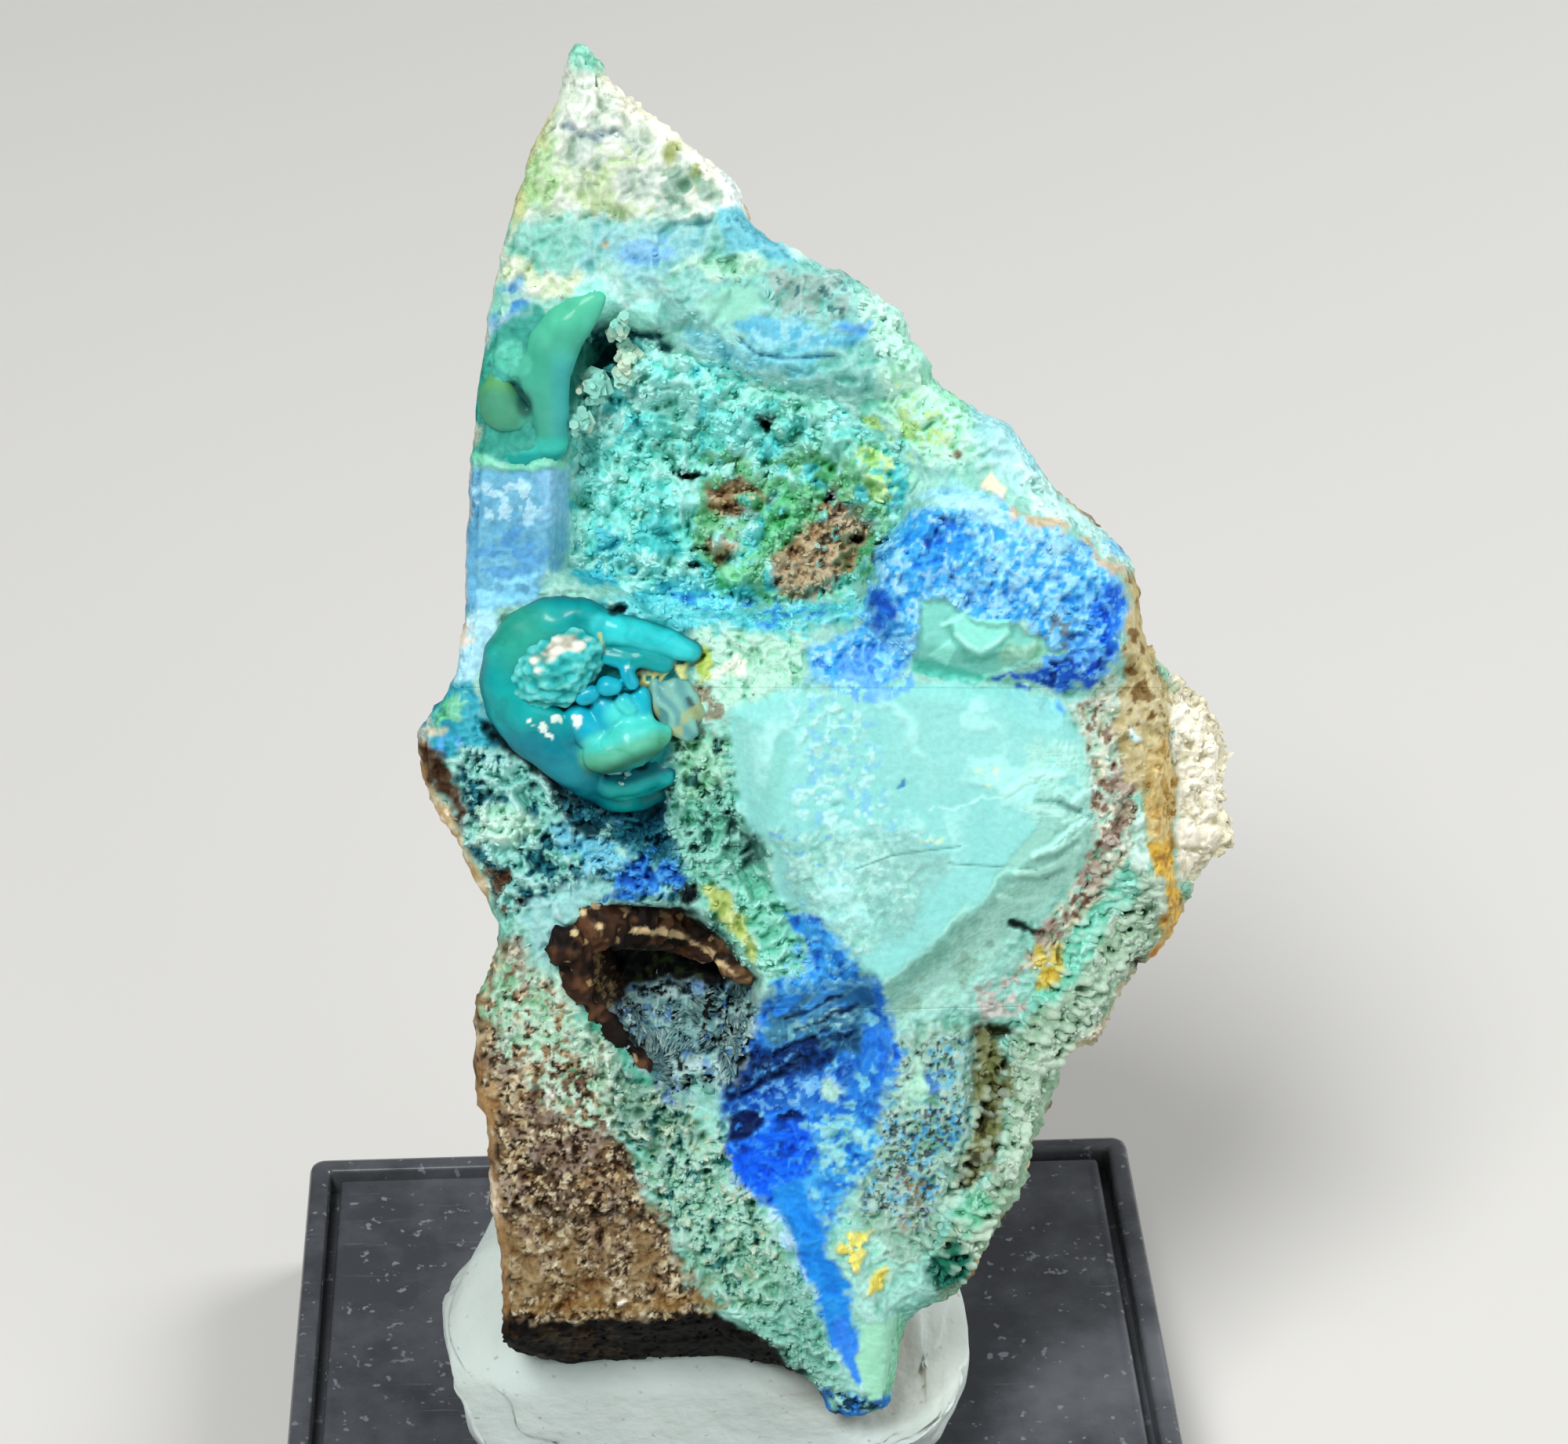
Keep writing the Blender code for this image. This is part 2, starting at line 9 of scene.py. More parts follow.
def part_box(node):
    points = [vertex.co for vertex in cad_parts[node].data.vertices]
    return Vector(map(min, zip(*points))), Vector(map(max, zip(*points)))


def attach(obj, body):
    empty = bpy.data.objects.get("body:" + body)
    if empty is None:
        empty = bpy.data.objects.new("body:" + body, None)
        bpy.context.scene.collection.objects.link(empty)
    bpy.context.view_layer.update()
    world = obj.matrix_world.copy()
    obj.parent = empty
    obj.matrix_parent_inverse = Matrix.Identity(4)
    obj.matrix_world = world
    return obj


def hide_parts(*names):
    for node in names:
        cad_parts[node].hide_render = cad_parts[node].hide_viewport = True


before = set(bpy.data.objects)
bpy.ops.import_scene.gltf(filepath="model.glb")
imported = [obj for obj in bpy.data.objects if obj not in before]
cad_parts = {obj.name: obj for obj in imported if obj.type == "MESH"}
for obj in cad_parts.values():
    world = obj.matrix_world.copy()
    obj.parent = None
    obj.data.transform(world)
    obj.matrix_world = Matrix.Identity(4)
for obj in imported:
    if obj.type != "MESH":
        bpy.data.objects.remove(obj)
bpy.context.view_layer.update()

MM = 0.001


# ---------------------------------------------------------------- floor, lights and camera
# A pale matt floor and three soft lamps in a grey room.  The camera looks down on the
# specimen from the front, a little turned from the base's own axes.
def linear(code):
    """The linear colour of an sRGB hex code."""
    parts = [int(code[i:i + 2], 16) / 255 for i in (1, 3, 5)]
    return [p / 12.92 if p <= 0.04045 else ((p + 0.055) / 1.055) ** 2.4 for p in parts] + [1.0]


def add_node(tree, kind, links=None, **values):
    """Add a node, set its properties and inputs, and link the named inputs."""
    node = tree.nodes.new(kind)
    for key, value in values.items():
        if key.startswith("in_"):
            name = key[3:]
            name = int(name) if name.isdigit() else name.replace("_", " ")
            node.inputs[name].default_value = value
        else:
            setattr(node, key, value)
    for name, source in (links or {}).items():
        tree.links.new(source, node.inputs[name])
    return node


def start_material(name, **finish):
    """A new material, its node tree and its shader, with those of its inputs that are given."""
    material = bpy.data.materials.new(name)
    material.use_nodes = True
    shader = material.node_tree.nodes["Principled BSDF"]
    for key, value in finish.items():
        shader.inputs[key.replace("_", " ")].default_value = value
    return material, material.node_tree, shader


def mesh_from(shape, name):
    """Turn a bmesh into a mesh, and free it."""
    mesh = bpy.data.meshes.new(name)
    shape.to_mesh(mesh)
    shape.free()
    return mesh


def new_piece(name, mesh, material=None):
    piece = bpy.data.objects.new(name, mesh)
    bpy.context.scene.collection.objects.link(piece)
    if material:
        piece.data.materials.append(material)
    return piece


FLOOR_SIDE = 1.2  # m
floor_shape = bmesh.new()
bmesh.ops.create_grid(floor_shape, x_segments=1, y_segments=1, size=FLOOR_SIDE / 2)
floor_finish = start_material("matt_floor", Base_Color=linear("#D6D5D1"), Roughness=0.9)[0]
floor = new_piece("floor", mesh_from(floor_shape, "floor"), floor_finish)

LAMP_TARGET = Vector((0.0, 0.0, 0.028))  # m, the middle of the stone
LAMPS = {  # place in metres, side in metres, power in watts
    "key_lamp": ((-0.13, -0.24, 0.40), 0.16, 2.0),
    "fill_lamp": ((0.30, -0.30, 0.22), 0.34, 0.6),
    "rim_lamp": ((0.34, 0.16, 0.30), 0.24, 1.2),
}
for lamp_name, (lamp_place, lamp_side, lamp_power) in LAMPS.items():
    lamp_data = bpy.data.lights.new(lamp_name, "AREA")
    lamp_data.size = lamp_side
    lamp_data.energy = lamp_power
    lamp = bpy.data.objects.new(lamp_name, lamp_data)
    bpy.context.scene.collection.objects.link(lamp)
    aim = (LAMP_TARGET - Vector(lamp_place)).to_track_quat("-Z", "Y")
    lamp.matrix_world = Matrix.Translation(lamp_place) @ aim.to_matrix().to_4x4()
ROOM_LIGHT = 0.24
room = bpy.data.worlds.new("room")
room.use_nodes = True
room_inputs = room.node_tree.nodes["Background"].inputs
room_inputs["Color"].default_value = linear("#C4C8CC")
room_inputs["Strength"].default_value = ROOM_LIGHT
bpy.context.scene.world = room
bpy.context.scene.view_settings.view_transform = "Standard"

CAMERA_PLACE = Vector((-3.265, -107.166, 102.397)) * MM
CAMERA_DOWN = math.radians(32.31)
CAMERA_TURN = math.radians(2.69)
CAMERA_LENS = 91.95  # mm
CAMERA_SENSOR = 36.0  # mm
camera_data = bpy.data.cameras.new("camera")
camera_data.lens = CAMERA_LENS
camera_data.sensor_width = CAMERA_SENSOR
camera_data.clip_start = 0.005
camera = bpy.data.objects.new("camera", camera_data)
camera.matrix_world = (Matrix.Translation(CAMERA_PLACE) @ Matrix.Rotation(-CAMERA_TURN, 4, "Z")
                       @ Matrix.Rotation(math.pi / 2 - CAMERA_DOWN, 4, "X"))
bpy.context.scene.collection.objects.link(camera)
bpy.context.scene.camera = camera


# ---------------------------------------------------------------- display base
# The lower half of a small square specimen box: glossy black polystyrene, moulded with a
# rounded rim, a groove for the clear lid and a platform.  It stands on the table.
base_low, base_high = (np.array(corner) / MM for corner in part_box("display_base"))
BASE_HALF = (base_high[0] - base_low[0]) / 2
BASE_TOP = base_high[2]
BASE_CORNER = 0.6  # mm, the radius of its corners
CORNER_LEAST = 0.15
CORNER_STEPS = 8
BASE_EDGE_ANGLE = math.radians(50)  # a steeper edge is shown sharp
BASE_PROFILE = [  # inset from the side and height, mm, from the underside to the platform
    (0.12, 0.0), (0.0, 0.12), (0.0, BASE_TOP - 0.24), (0.07, BASE_TOP - 0.07), (0.24, BASE_TOP),
    (0.62, BASE_TOP), (0.74, BASE_TOP - 0.05), (0.79, BASE_TOP - 0.16), (0.81, BASE_TOP - 1.1),
    (1.2, BASE_TOP - 1.1), (1.22, BASE_TOP - 0.28), (1.27, BASE_TOP - 0.17),
    (1.38, BASE_TOP - 0.13), (1.5, BASE_TOP - 0.16), (1.62, BASE_TOP - 0.2),
    (1.7, BASE_TOP - 0.2), (3.0, BASE_TOP - 0.2), (6.0, BASE_TOP - 0.2),
]


def rounded_square(half, radius, z):
    ring = []
    for quarter in range(4):
        centre = Matrix.Rotation(quarter * math.pi / 2, 2) @ Vector((half - radius, half - radius))
        for step in range(CORNER_STEPS + 1):
            turn = (quarter + step / CORNER_STEPS) * math.pi / 2
            ring.append((centre.x + radius * math.cos(turn), centre.y + radius * math.sin(turn), z))
    return ring


base_shape = bmesh.new()
base_rings = []
for inset, height in BASE_PROFILE:
    ring = rounded_square(BASE_HALF - inset, max(BASE_CORNER - inset, CORNER_LEAST), height)
    base_rings.append([base_shape.verts.new(Vector(point) * MM) for point in ring])
for lower, upper in zip(base_rings, base_rings[1:]):
    for i in range(len(lower)):
        j = (i + 1) % len(lower)
        base_shape.faces.new((lower[i], lower[j], upper[j], upper[i]))
base_shape.faces.new(list(reversed(base_rings[0])))
base_shape.faces.new(base_rings[-1])
base_mesh = mesh_from(base_shape, "base_moulding")
base_mesh.shade_smooth()
base_mesh.set_sharp_from_angle(angle=BASE_EDGE_ANGLE)


def noise_node(tree, place, scale, detail, **more):
    return add_node(tree, "ShaderNodeTexNoise", {"Vector": place}, in_Scale=scale, in_Detail=detail,
                    **more)


def ranged(tree, value, low, high, start, end):
    """The value's range from low to high, stretched to run from start to end."""
    node = add_node(tree, "ShaderNodeMapRange", {"Value": value}, in_1=low, in_2=high, in_3=start,
                    in_4=end)
    return node.outputs[0]


# Injection-moulded polystyrene: black and glossy, with a grey haze that is partly dust and partly
# painted reflection, and faint rubs.
plastic, tree, shader = start_material("black_polystyrene", IOR=1.59)
place = add_node(tree, "ShaderNodeTexCoord").outputs["Object"]
dust_and_reflection = noise_node(tree, place, 150.0, 6.0, in_Roughness=0.65).outputs["Fac"]
dust_and_reflection_level = ranged(tree, dust_and_reflection, 0.40, 0.66, 0.22, 0.55)
stretched = add_node(tree, "ShaderNodeMapping", {"Vector": place}, in_Rotation=(0.0, 0.0, 0.6),
                     in_Scale=(260.0, 5200.0, 260.0))
rubs = noise_node(tree, stretched.outputs[0], 1.0, 3.0).outputs["Fac"]
rub_level = ranged(tree, rubs, 0.6, 0.72, 0.0, 0.5)
dust = noise_node(tree, place, 2200.0, 2.0).outputs["Fac"]
dust_level = ranged(tree, dust, 0.63, 0.70, 0.0, 1.0)
dust_reflection_and_rubs = add_node(tree, "ShaderNodeMath", {0: dust_and_reflection_level, 1: rub_level}, operation="MAXIMUM")
greyness = add_node(tree, "ShaderNodeMath", {0: dust_reflection_and_rubs.outputs[0], 1: dust_level},
                    operation="MAXIMUM")
# Grey where the haze lies: dust, and a painted reflection of the room.
mix = add_node(tree, "ShaderNodeMix", {"Factor": greyness.outputs[0]}, data_type="RGBA",
               in_6=linear("#121418"), in_7=linear("#787C82"))
tree.links.new(mix.outputs[2], shader.inputs["Base Color"])
tree.links.new(ranged(tree, dust_and_reflection, 0.35, 0.7, 0.12, 0.4), shader.inputs["Roughness"])
base = new_piece("base_moulding", base_mesh, plastic)
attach(base, "root")
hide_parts("display_base")


# ---------------------------------------------------------------- mineral skin of the face
# Cyanotrichite, chrysocolla and malachite crusts: thin closed sheets on the stone's face with
# their grains, steps and cracks in the mesh and their colours painted at each point.
# The stone's frame: u right, v up and w outwards, mm, from the centre of the base's top.
FRAME_LEAN = math.radians(32.3)
STONE_FRAME = (Matrix.Translation((0, 0, BASE_TOP * MM)) @ Matrix.Rotation(-CAMERA_TURN, 4, "Z")
               @ Matrix.Rotation(math.pi / 2 - FRAME_LEAN, 4, "X"))


def smooth_step(x):
    """0 below 0 and 1 above 1, with a soft S between them."""
    x = np.clip(x, 0.0, 1.0)
    return x * x * (3.0 - 2.0 * x)


def hashed(i, j, k, seed):
    """A number from 0 to 1 for each cell of a lattice."""
    mixed = (i * 374761393 + j * 668265263 + k * 2147483647 + seed * 1274126177) & 0xFFFFFFFF
    mixed = ((mixed ^ (mixed >> 13)) * 1103515245) & 0xFFFFFFFF
    mixed = ((mixed ^ (mixed >> 16)) * 2246822519) & 0xFFFFFFFF
    return (mixed ^ (mixed >> 15)) / 4294967296.0


def noise(points, size, seed, octaves=1):
    """Smooth noise from -1 to 1 at points of 2 or 3 columns, with lumps of the given size."""
    total, weight = np.zeros(len(points)), 0.0
    for octave in range(octaves):
        scaled = points / size * 2 ** octave + 31.7 * octave
        cell = np.floor(scaled).astype(np.int64)
        part = smooth_step(scaled - cell)
        value = np.zeros(len(points))
        for corner in np.ndindex(*(2,) * points.shape[1]):
            share = np.ones(len(points))
            for axis, side in enumerate(corner):
                share *= part[:, axis] if side else 1.0 - part[:, axis]
            i, j = cell[:, 0] + corner[0], cell[:, 1] + corner[1]
            k = cell[:, 2] + corner[2] if points.shape[1] == 3 else 0
            value += share * (hashed(i, j, k, seed + octave) * 2.0 - 1.0)
        total += value * 0.55 ** octave
        weight += 0.55 ** octave
    return total / weight * 1.4


def grains(points, size, seed):
    """Round grains: the distance to the nearest one's centre, and a number for each grain."""
    scaled = points / size
    cell = np.floor(scaled).astype(np.int64)
    nearest, number = np.full(len(points), 9.0), np.zeros(len(points))
    for shift in np.ndindex(*(3,) * points.shape[1]):
        near = cell + np.array(shift) - 1
        k = near[:, 2] if points.shape[1] == 3 else 0
        away = np.zeros(len(points))
        for axis in range(points.shape[1]):
            centre = near[:, axis] + hashed(near[:, 0], near[:, 1], k, seed + 7 * axis + 1)
            away += (scaled[:, axis] - centre) ** 2
        away = np.sqrt(away)
        closer = away < nearest
        number = np.where(closer, hashed(near[:, 0], near[:, 1], k, seed + 50), number)
        nearest = np.where(closer, away, nearest)
    return nearest, number


def edge_distance(points, path, closed=True):
    """Distance to a path; for a closed one it is positive inside and negative outside."""
    u, v = points[:, 0], points[:, 1]
    nearest = np.full(len(points), 1e9)
    inside = np.zeros(len(points), dtype=bool)
    ends = path[1:] + path[:1] if closed else path[1:]
    for (u0, v0), (u1, v1) in zip(path, ends):
        du, dv = u1 - u0, v1 - v0
        along = np.clip(((u - u0) * du + (v - v0) * dv) / (du * du + dv * dv), 0.0, 1.0)
        nearest = np.minimum(nearest, np.hypot(u - u0 - along * du, v - v0 - along * dv))
        if closed and dv != 0.0:
            inside ^= ((v0 > v) != (v1 > v)) & (u < u0 + (v - v0) * du / dv)
    return np.where(inside, nearest, -nearest) if closed else nearest


STONE_OUTLINE = [
    (-4.4, 45.7), (-3.7, 45), (-3.4, 44.3), (-2.7, 44), (-1.7, 43.2), (-0.6, 42.3), (0.1, 41.9),
    (0.5, 41.4), (0.6, 40.5), (1.1, 40), (2, 39.7), (2.9, 39.1), (3.7, 38.9), (4.7, 38.2),
    (5.6, 37.6), (5.6, 37.1), (6.3, 36.4), (6.3, 35.8), (7.9, 34.8), (8.9, 34.4), (10, 32.9),
    (10.7, 32), (12.1, 31), (12.8, 30.3), (13.2, 29.2), (13.4, 27.7), (14.5, 26.4), (15.6, 25.6),
    (16.4, 24.3), (16.4, 22.2), (17, 21), (15.9, 20.5), (15.3, 19.5), (15.2, 18.7), (14.6, 17.7),
    (14.3, 17.2), (13.6, 16.8), (13, 15.9), (12.3, 14.2), (11.2, 14), (11, 12.8), (10.3, 11),
    (9.8, 9.3), (8.8, 7.7), (8.1, 6.1), (7.1, 5.3), (6, 4.7), (5.7, 3.3), (5.5, 1.8), (4.9, 1.3),
    (3.4, 1.2), (3, 2), (2.4, 2.6), (-0.9, 2.4), (-5.8, 2.4), (-7.4, 3.1), (-7.9, 3.6), (-7.8, 5),
    (-7.8, 7.2), (-8.1, 8.9), (-8.1, 11.5), (-8.5, 12.8), (-8.4, 15.9), (-7.8, 17), (-7.5, 18.3),
    (-8.1, 19.5), (-8.8, 21), (-9.8, 22.8), (-10.1, 24.7), (-8.8, 26.3), (-8.4, 28.3), (-8.3, 30.4),
    (-8.1, 32.8), (-7.8, 35.2), (-7.3, 38.1), (-6.7, 40.2), (-5.9, 42.6), (-5, 44), (-4.8, 45.2),
]
UPPER_VUG = [
    (-4.8, 36.6), (-3.4, 37.5), (-1.6, 36.6), (0.6, 35.6), (3.2, 35.2), (5.4, 33.6), (6.2, 32.6),
    (5.6, 31), (4.5, 30.2), (4.2, 28.9), (2, 28.4), (-2.4, 28.7), (-5.2, 29.9), (-4.9, 34.6),
]
LOWER_POCKET = [
    (-5.2, 18.2), (-3.8, 19), (-1.6, 19), (-0.2, 18), (0.9, 16.6), (0.5, 14.8), (-0.2, 12.2),
    (-2, 12.4), (-3, 14.2), (-4.2, 16),
]
FIELDS = [  # raised and sunken fields of the face: height, width of the slope, outline, mm
    (0.7, 0.9, [(-2.4, 38.6), (0.2, 40.6), (2.8, 39.6), (5.8, 37.8), (6.8, 35.8), (4, 35.2),
        (1, 35.8), (-1, 37)]),
    (-2.6, 1.1, UPPER_VUG),
    (1.6, 1.3, [(4.6, 30.4), (6, 31.9), (8.2, 32.2), (10.6, 31.2), (12.4, 29.5), (12.6, 27.2),
        (11.4, 26.2), (9.5, 26.6), (6, 26.9), (4.4, 28.4)]),
    (1.1, 1.6, [(0.4, 25.2), (3, 26.6), (5.6, 26.6), (8.5, 26.1), (10.8, 25.2), (11.6, 23),
        (11, 20.6), (5, 15.8), (3.6, 17), (2.2, 19.4), (1, 21.5)]),
    (0.5, 0.8, [(-9, 17.6), (-6.6, 17.4), (-5, 15.8), (-3.2, 13.6), (-2.6, 11.5), (-1.8, 8.6),
        (-0.4, 4.4), (-9, 3.6)]),
    (-1.6, 0.7, [(-5.2, 23.6), (-3.4, 22.8), (-1.9, 23.3), (-1.8, 21.2), (-2.2, 20.6),
        (-4.4, 21.8)]),
    (-0.9, 0.4, [(0, 22.2), (0.9, 21), (1.4, 19.4), (0.8, 19.2), (-0.2, 21)]),
    (-1, 1, [(0.2, 15.6), (4.4, 16.6), (5.2, 14.9), (3.4, 12.6), (0, 11.8)]),
    (-0.7, 0.6, [(8.1, 15.2), (9.3, 14.6), (9.1, 11), (8, 9.4), (7, 8.8), (7.7, 11), (7.9, 13)]),
    (-1.6, 0.8, [(13.5, 27.6), (14.6, 26.6), (18, 25), (18, 20), (15.8, 17.6), (14.6, 18.4),
        (14.2, 21), (14.1, 25)]),
    (0.8, 0.8, [(2, 8.6), (4, 8), (5.4, 4.6), (5.8, 0.6), (3.2, 0.6), (2.6, 3.6), (1.8, 6.2)]),
]
FACE_FOOT_W = 6.0
FACE_SLOPE = 0.37
POCKET_DEPTH = 4.6
SHEET_RIDGE = [(10.6, 21.6), (5.0, 16.4)]
SHEET_FALL = 0.45
SHEET_FALL_REACH = 3.2
RIGHT_FALL_START = 9.0
RIGHT_FALL = 0.035
UNDERCUT_EDGE = [(-7.9, 4.4), (-4.5, 5.0), (-0.4, 5.2), (0.8, 4.6), (1.5, 4.0), (2.6, 2.6)]
UNDERCUT_SLOPE = 1.7
STONE_DEPTH = 11.0


def front(points):
    """Height w of the stone's face, with its ledges, hollows and facets."""
    u, v = points[:, 0], points[:, 1]
    w = FACE_FOOT_W + FACE_SLOPE * v
    for height, edge, outline in FIELDS:
        w += height * smooth_step(edge_distance(points, outline) / edge + 0.5)
    into_pocket = smooth_step(edge_distance(points, LOWER_POCKET) / 1.0 + 0.3)
    w -= POCKET_DEPTH * into_pocket * smooth_step((v - 10.5) / 6.5)
    (u0, v0), (u1, v1) = SHEET_RIDGE
    length = math.hypot(u1 - u0, v1 - v0)
    beyond = ((u - u0) * (v1 - v0) - (v - v0) * (u1 - u0)) / length
    along = ((u - u0) * (u1 - u0) + (v - v0) * (v1 - v0)) / length
    on_ridge = smooth_step((along + 1.5) / 2) * smooth_step((length + 1.5 - along) / 2)
    w -= SHEET_FALL * np.clip(-beyond, 0.0, SHEET_FALL_REACH) * on_ridge
    w -= RIGHT_FALL * np.clip(u - RIGHT_FALL_START, 0.0, None) ** 2
    edge_u, edge_v = zip(*UNDERCUT_EDGE)
    below = np.interp(u, edge_u, edge_v) - v
    w -= UNDERCUT_SLOPE * np.clip(below, 0.0, None) * (u < edge_u[-1] + 0.2)
    return w


def roll_off(points):
    """How far the face turns back near its outline: sharply at the left, softly at the right."""
    radius = np.where(points[:, 0] < -3.0, 0.5, 1.3)
    inset = np.clip(1.0 - edge_distance(points, STONE_OUTLINE) / radius, 0.0, 1.0)
    return radius * (1.0 - np.sqrt(1.0 - inset * inset))


def back(points):
    """Height w of the stone's rough back."""
    u, v = points[:, 0], points[:, 1]
    thin = smooth_step((v - 26.0) / 20.0)
    thickness = STONE_DEPTH * (1.0 - 0.55 * thin) - 0.02 * (u - 2.0) ** 2
    return FACE_FOOT_W + FACE_SLOPE * v - thickness
SKIN_STEP = 0.06  # mm, the grid of the skin's mesh
SKIN_RATIO = 5  # its underside is this much coarser
SKIN_CELL = SKIN_STEP * SKIN_RATIO
SKIN_CORNER = (-10.5, 0.6)
SKIN_CELLS = (93, 152)
LAYERS = []


def layer(code, shape, **settings):
    """One patch of mineral: a closed outline, or a line with a width, in u and v, mm.

    soft is the width of its edge, cover how much of it shows, size and haze the size and
    softness of its flecks, lift and grain the height it adds and that of its grains, flake
    the height of its flakes, gloss its shine, and crisp keeps its outline as it is.
    """
    usual = {"soft": 0.25, "width": 0.0, "cover": 1.0, "size": 0.5, "lift": 0.0, "crisp": False}
    LAYERS.append((code, shape, {**usual, **settings}))


def crust(name, code, soft, outline, **settings):
    layer(code, outline, soft=soft, **settings)


def flecks(name, code, cover, size, outline, **settings):
    layer(code, outline, cover=cover, size=size, **settings)


def line(name, code, width, soft, path, **settings):
    layer(code, path, width=width, soft=soft, **settings)


# The pale cone at the top.
crust("cone", "#D2DED0", 0.8, [(-7.4, 39.9), (-5.2, 46.5), (-3, 46), (1.4, 41.4), (0.4, 40.2),
    (-2, 40.4)], grain=0.12)
flecks("green tint", "#B9CFA6", 0.5, 0.8, [(-6.3, 40.6), (-5.6, 42.4), (-3, 42.4), (-1.4, 41.6),
    (-2.4, 40.6), (-4.4, 40.3)])
flecks("left green", "#A6CC96", 0.8, 0.9, [(-6.7, 40.6), (-6, 42.4), (-5.3, 43), (-5, 41.4),
    (-5.4, 40.4)], soft=0.7)
flecks("grey lilac", "#B4C8BA", 0.55, 0.5, [(-5.4, 43.4), (-4.6, 43.8), (-3, 43), (-1.8, 41.6),
    (-2.6, 40.8), (-4.4, 41.2), (-5.4, 42.2)], soft=0.5)
flecks("cream bumps", "#DCE8DA", 0.6, 0.4, [(-5.3, 44), (-3.4, 44), (-3, 42.9), (-4.6, 42.9)],
    lift=0.1)
line("grey lines", "#8EA4AA", 0.2, 0.25, [(-4.9, 42.95), (-3.9, 42.7), (-3.2, 42.8)], lift=-0.1)
flecks("right grey", "#86AC98", 0.75, 0.5, [(-2.2, 41.6), (-0.6, 42), (0, 40.8), (-1.8, 40.5)],
    soft=0.6)
line("cream rim", "#F2F3E0", 0.7, 0.5, [(-3.7, 44.7), (-2.5, 43.6), (-1.2, 42.5), (0.2, 41.5),
    (0.5, 40.9)])
crust("tip", "#8ED2BC", 0.4, [(-5.2, 46.4), (-4.9, 44.9), (-4.2, 44.3), (-3.5, 44.6), (-3, 45.6)])
# The facet at the cone's right: its pale colour with a painted highlight that makes it near-white.
crust("white facet", "#F0FAF6", 0.15, [(-0.6, 42.3), (0.3, 42.2), (0.8, 41.3), (0.8, 40.3),
    (0.1, 40.6), (-0.2, 41.4)], gloss=0.6, grain=0.02)
line("left edge", "#C9D09A", 0.4, 0.3, [(-6.6, 40.3), (-6.1, 42), (-5.4, 43.5)])
crust("olive spots", "#98A664", 0.35, [(-1.95, 42.2), (-1.6, 42.4), (-1.3, 42.2), (-1.6, 42)])
crust("olive spots", "#8CA468", 0.3, [(-1.1, 41.5), (-0.9, 41.9), (-0.75, 41.5), (-0.9, 41.1)])
crust("cream lump", "#E3F0DC", 0.3, [(-1.5, 40.4), (-0.9, 40.7), (-0.3, 40.4), (-0.9, 40.1)],
    lift=0.25)
line("notch", "#2E7F90", 0.15, 0.15, [(-1.3, 40.1), (-0.4, 40)], lift=-0.2)

# The blue and teal band under it.
crust("teal", "#84CABA", 0.7, [(-7.2, 38.9), (-6.9, 40.4), (-4.4, 40.2), (-3.6, 39.3),
    (-4.4, 38.9)])
crust("periwinkle", "#8CCACE", 0.8, [(-3.8, 40), (-2, 40.3), (-0.6, 40), (-0.3, 39.2), (-1, 38.6),
    (-2.6, 38.5), (-4.2, 38.9)])
flecks("periwinkle core", "#76B4DC", 0.6, 0.6, [(-3, 39.7), (-1.6, 39.8), (-1.1, 39.2),
    (-2.2, 38.9), (-3.2, 39.1)])
crust("pale band", "#B5DEDA", 0.5, [(-6.8, 38.6), (-5, 38.9), (-2.8, 38.2), (-1.4, 38.4),
    (0.2, 38.3), (-0.2, 37.6), (-2.6, 37.3), (-4.2, 38.3), (-6.2, 37.7)])
line("granules", "#D5E6C8", 0.7, 0.4, [(-6.6, 38.8), (-5.4, 38.3), (-4.6, 38.5)], grain=0.14)
flecks("cobalt", "#4F98CC", 0.8, 0.4, [(-7.2, 38.3), (-6.3, 38.3), (-5.9, 37.6), (-6.6, 37.2),
    (-7.4, 37.4)], soft=0.3)
crust("lavender", "#98C4E0", 0.4, [(-7.9, 37.5), (-5.9, 37.2), (-6.2, 36.6), (-7.9, 36.4)])
line("left edge", "#D6E2D0", 0.2, 0.2, [(-7.7, 35), (-7.2, 38), (-6.6, 40)])
# The lip's pale aqua, painted lighter than the crust as painted light on its steep, self-shaded
# wall.
line("lip", "#A2EEE0", 0.8, 0.3, [(-4.2, 38), (-3.1, 37.5), (-2.1, 37.7), (-1.3, 37.9),
    (-0.8, 37.4), (-0.3, 37.9)], lift=0.2, grain=0.05)
crust("buff speck", "#B9B08A", 0.15, [(-3.85, 39.4), (-3.7, 39.5), (-3.6, 39.35), (-3.72, 39.25)])

# The pale ledge over the vug.
crust("ledge", "#82C8BE", 0.5, [(-0.3, 40.5), (1, 40.4), (3, 39.4), (6, 37.8), (6.9, 35.8),
    (4.6, 35), (2, 35.2), (-0.4, 36.2), (-2.4, 37.6), (-1.6, 38.5), (-0.5, 39)], grain=0.12)
crust("aqua top", "#6CBCCA", 0.4, [(-0.3, 40.6), (0.6, 40.5), (1.6, 39.9), (2.4, 39.4), (1.6, 38.9),
    (0, 39.3)])
crust("green granules", "#A8DEC6", 0.3, [(-1.8, 38.6), (-0.9, 38.9), (-0.4, 38.3), (0.8, 38.5),
    (1.2, 38.9), (0.6, 39.3), (-0.8, 39.2)], grain=0.17)
crust("smooth mint", "#8FD3BE", 0.25, [(-0.6, 37.8), (0.2, 38.2), (1, 38.3), (1, 37.4), (0.5, 37),
    (-0.3, 37.1)], grain=0.02, gloss=0.35)
GREY_LEDGE = [(1, 38.6), (2.4, 39), (3.6, 38.6), (3.6, 37.4), (1.6, 37.4)]
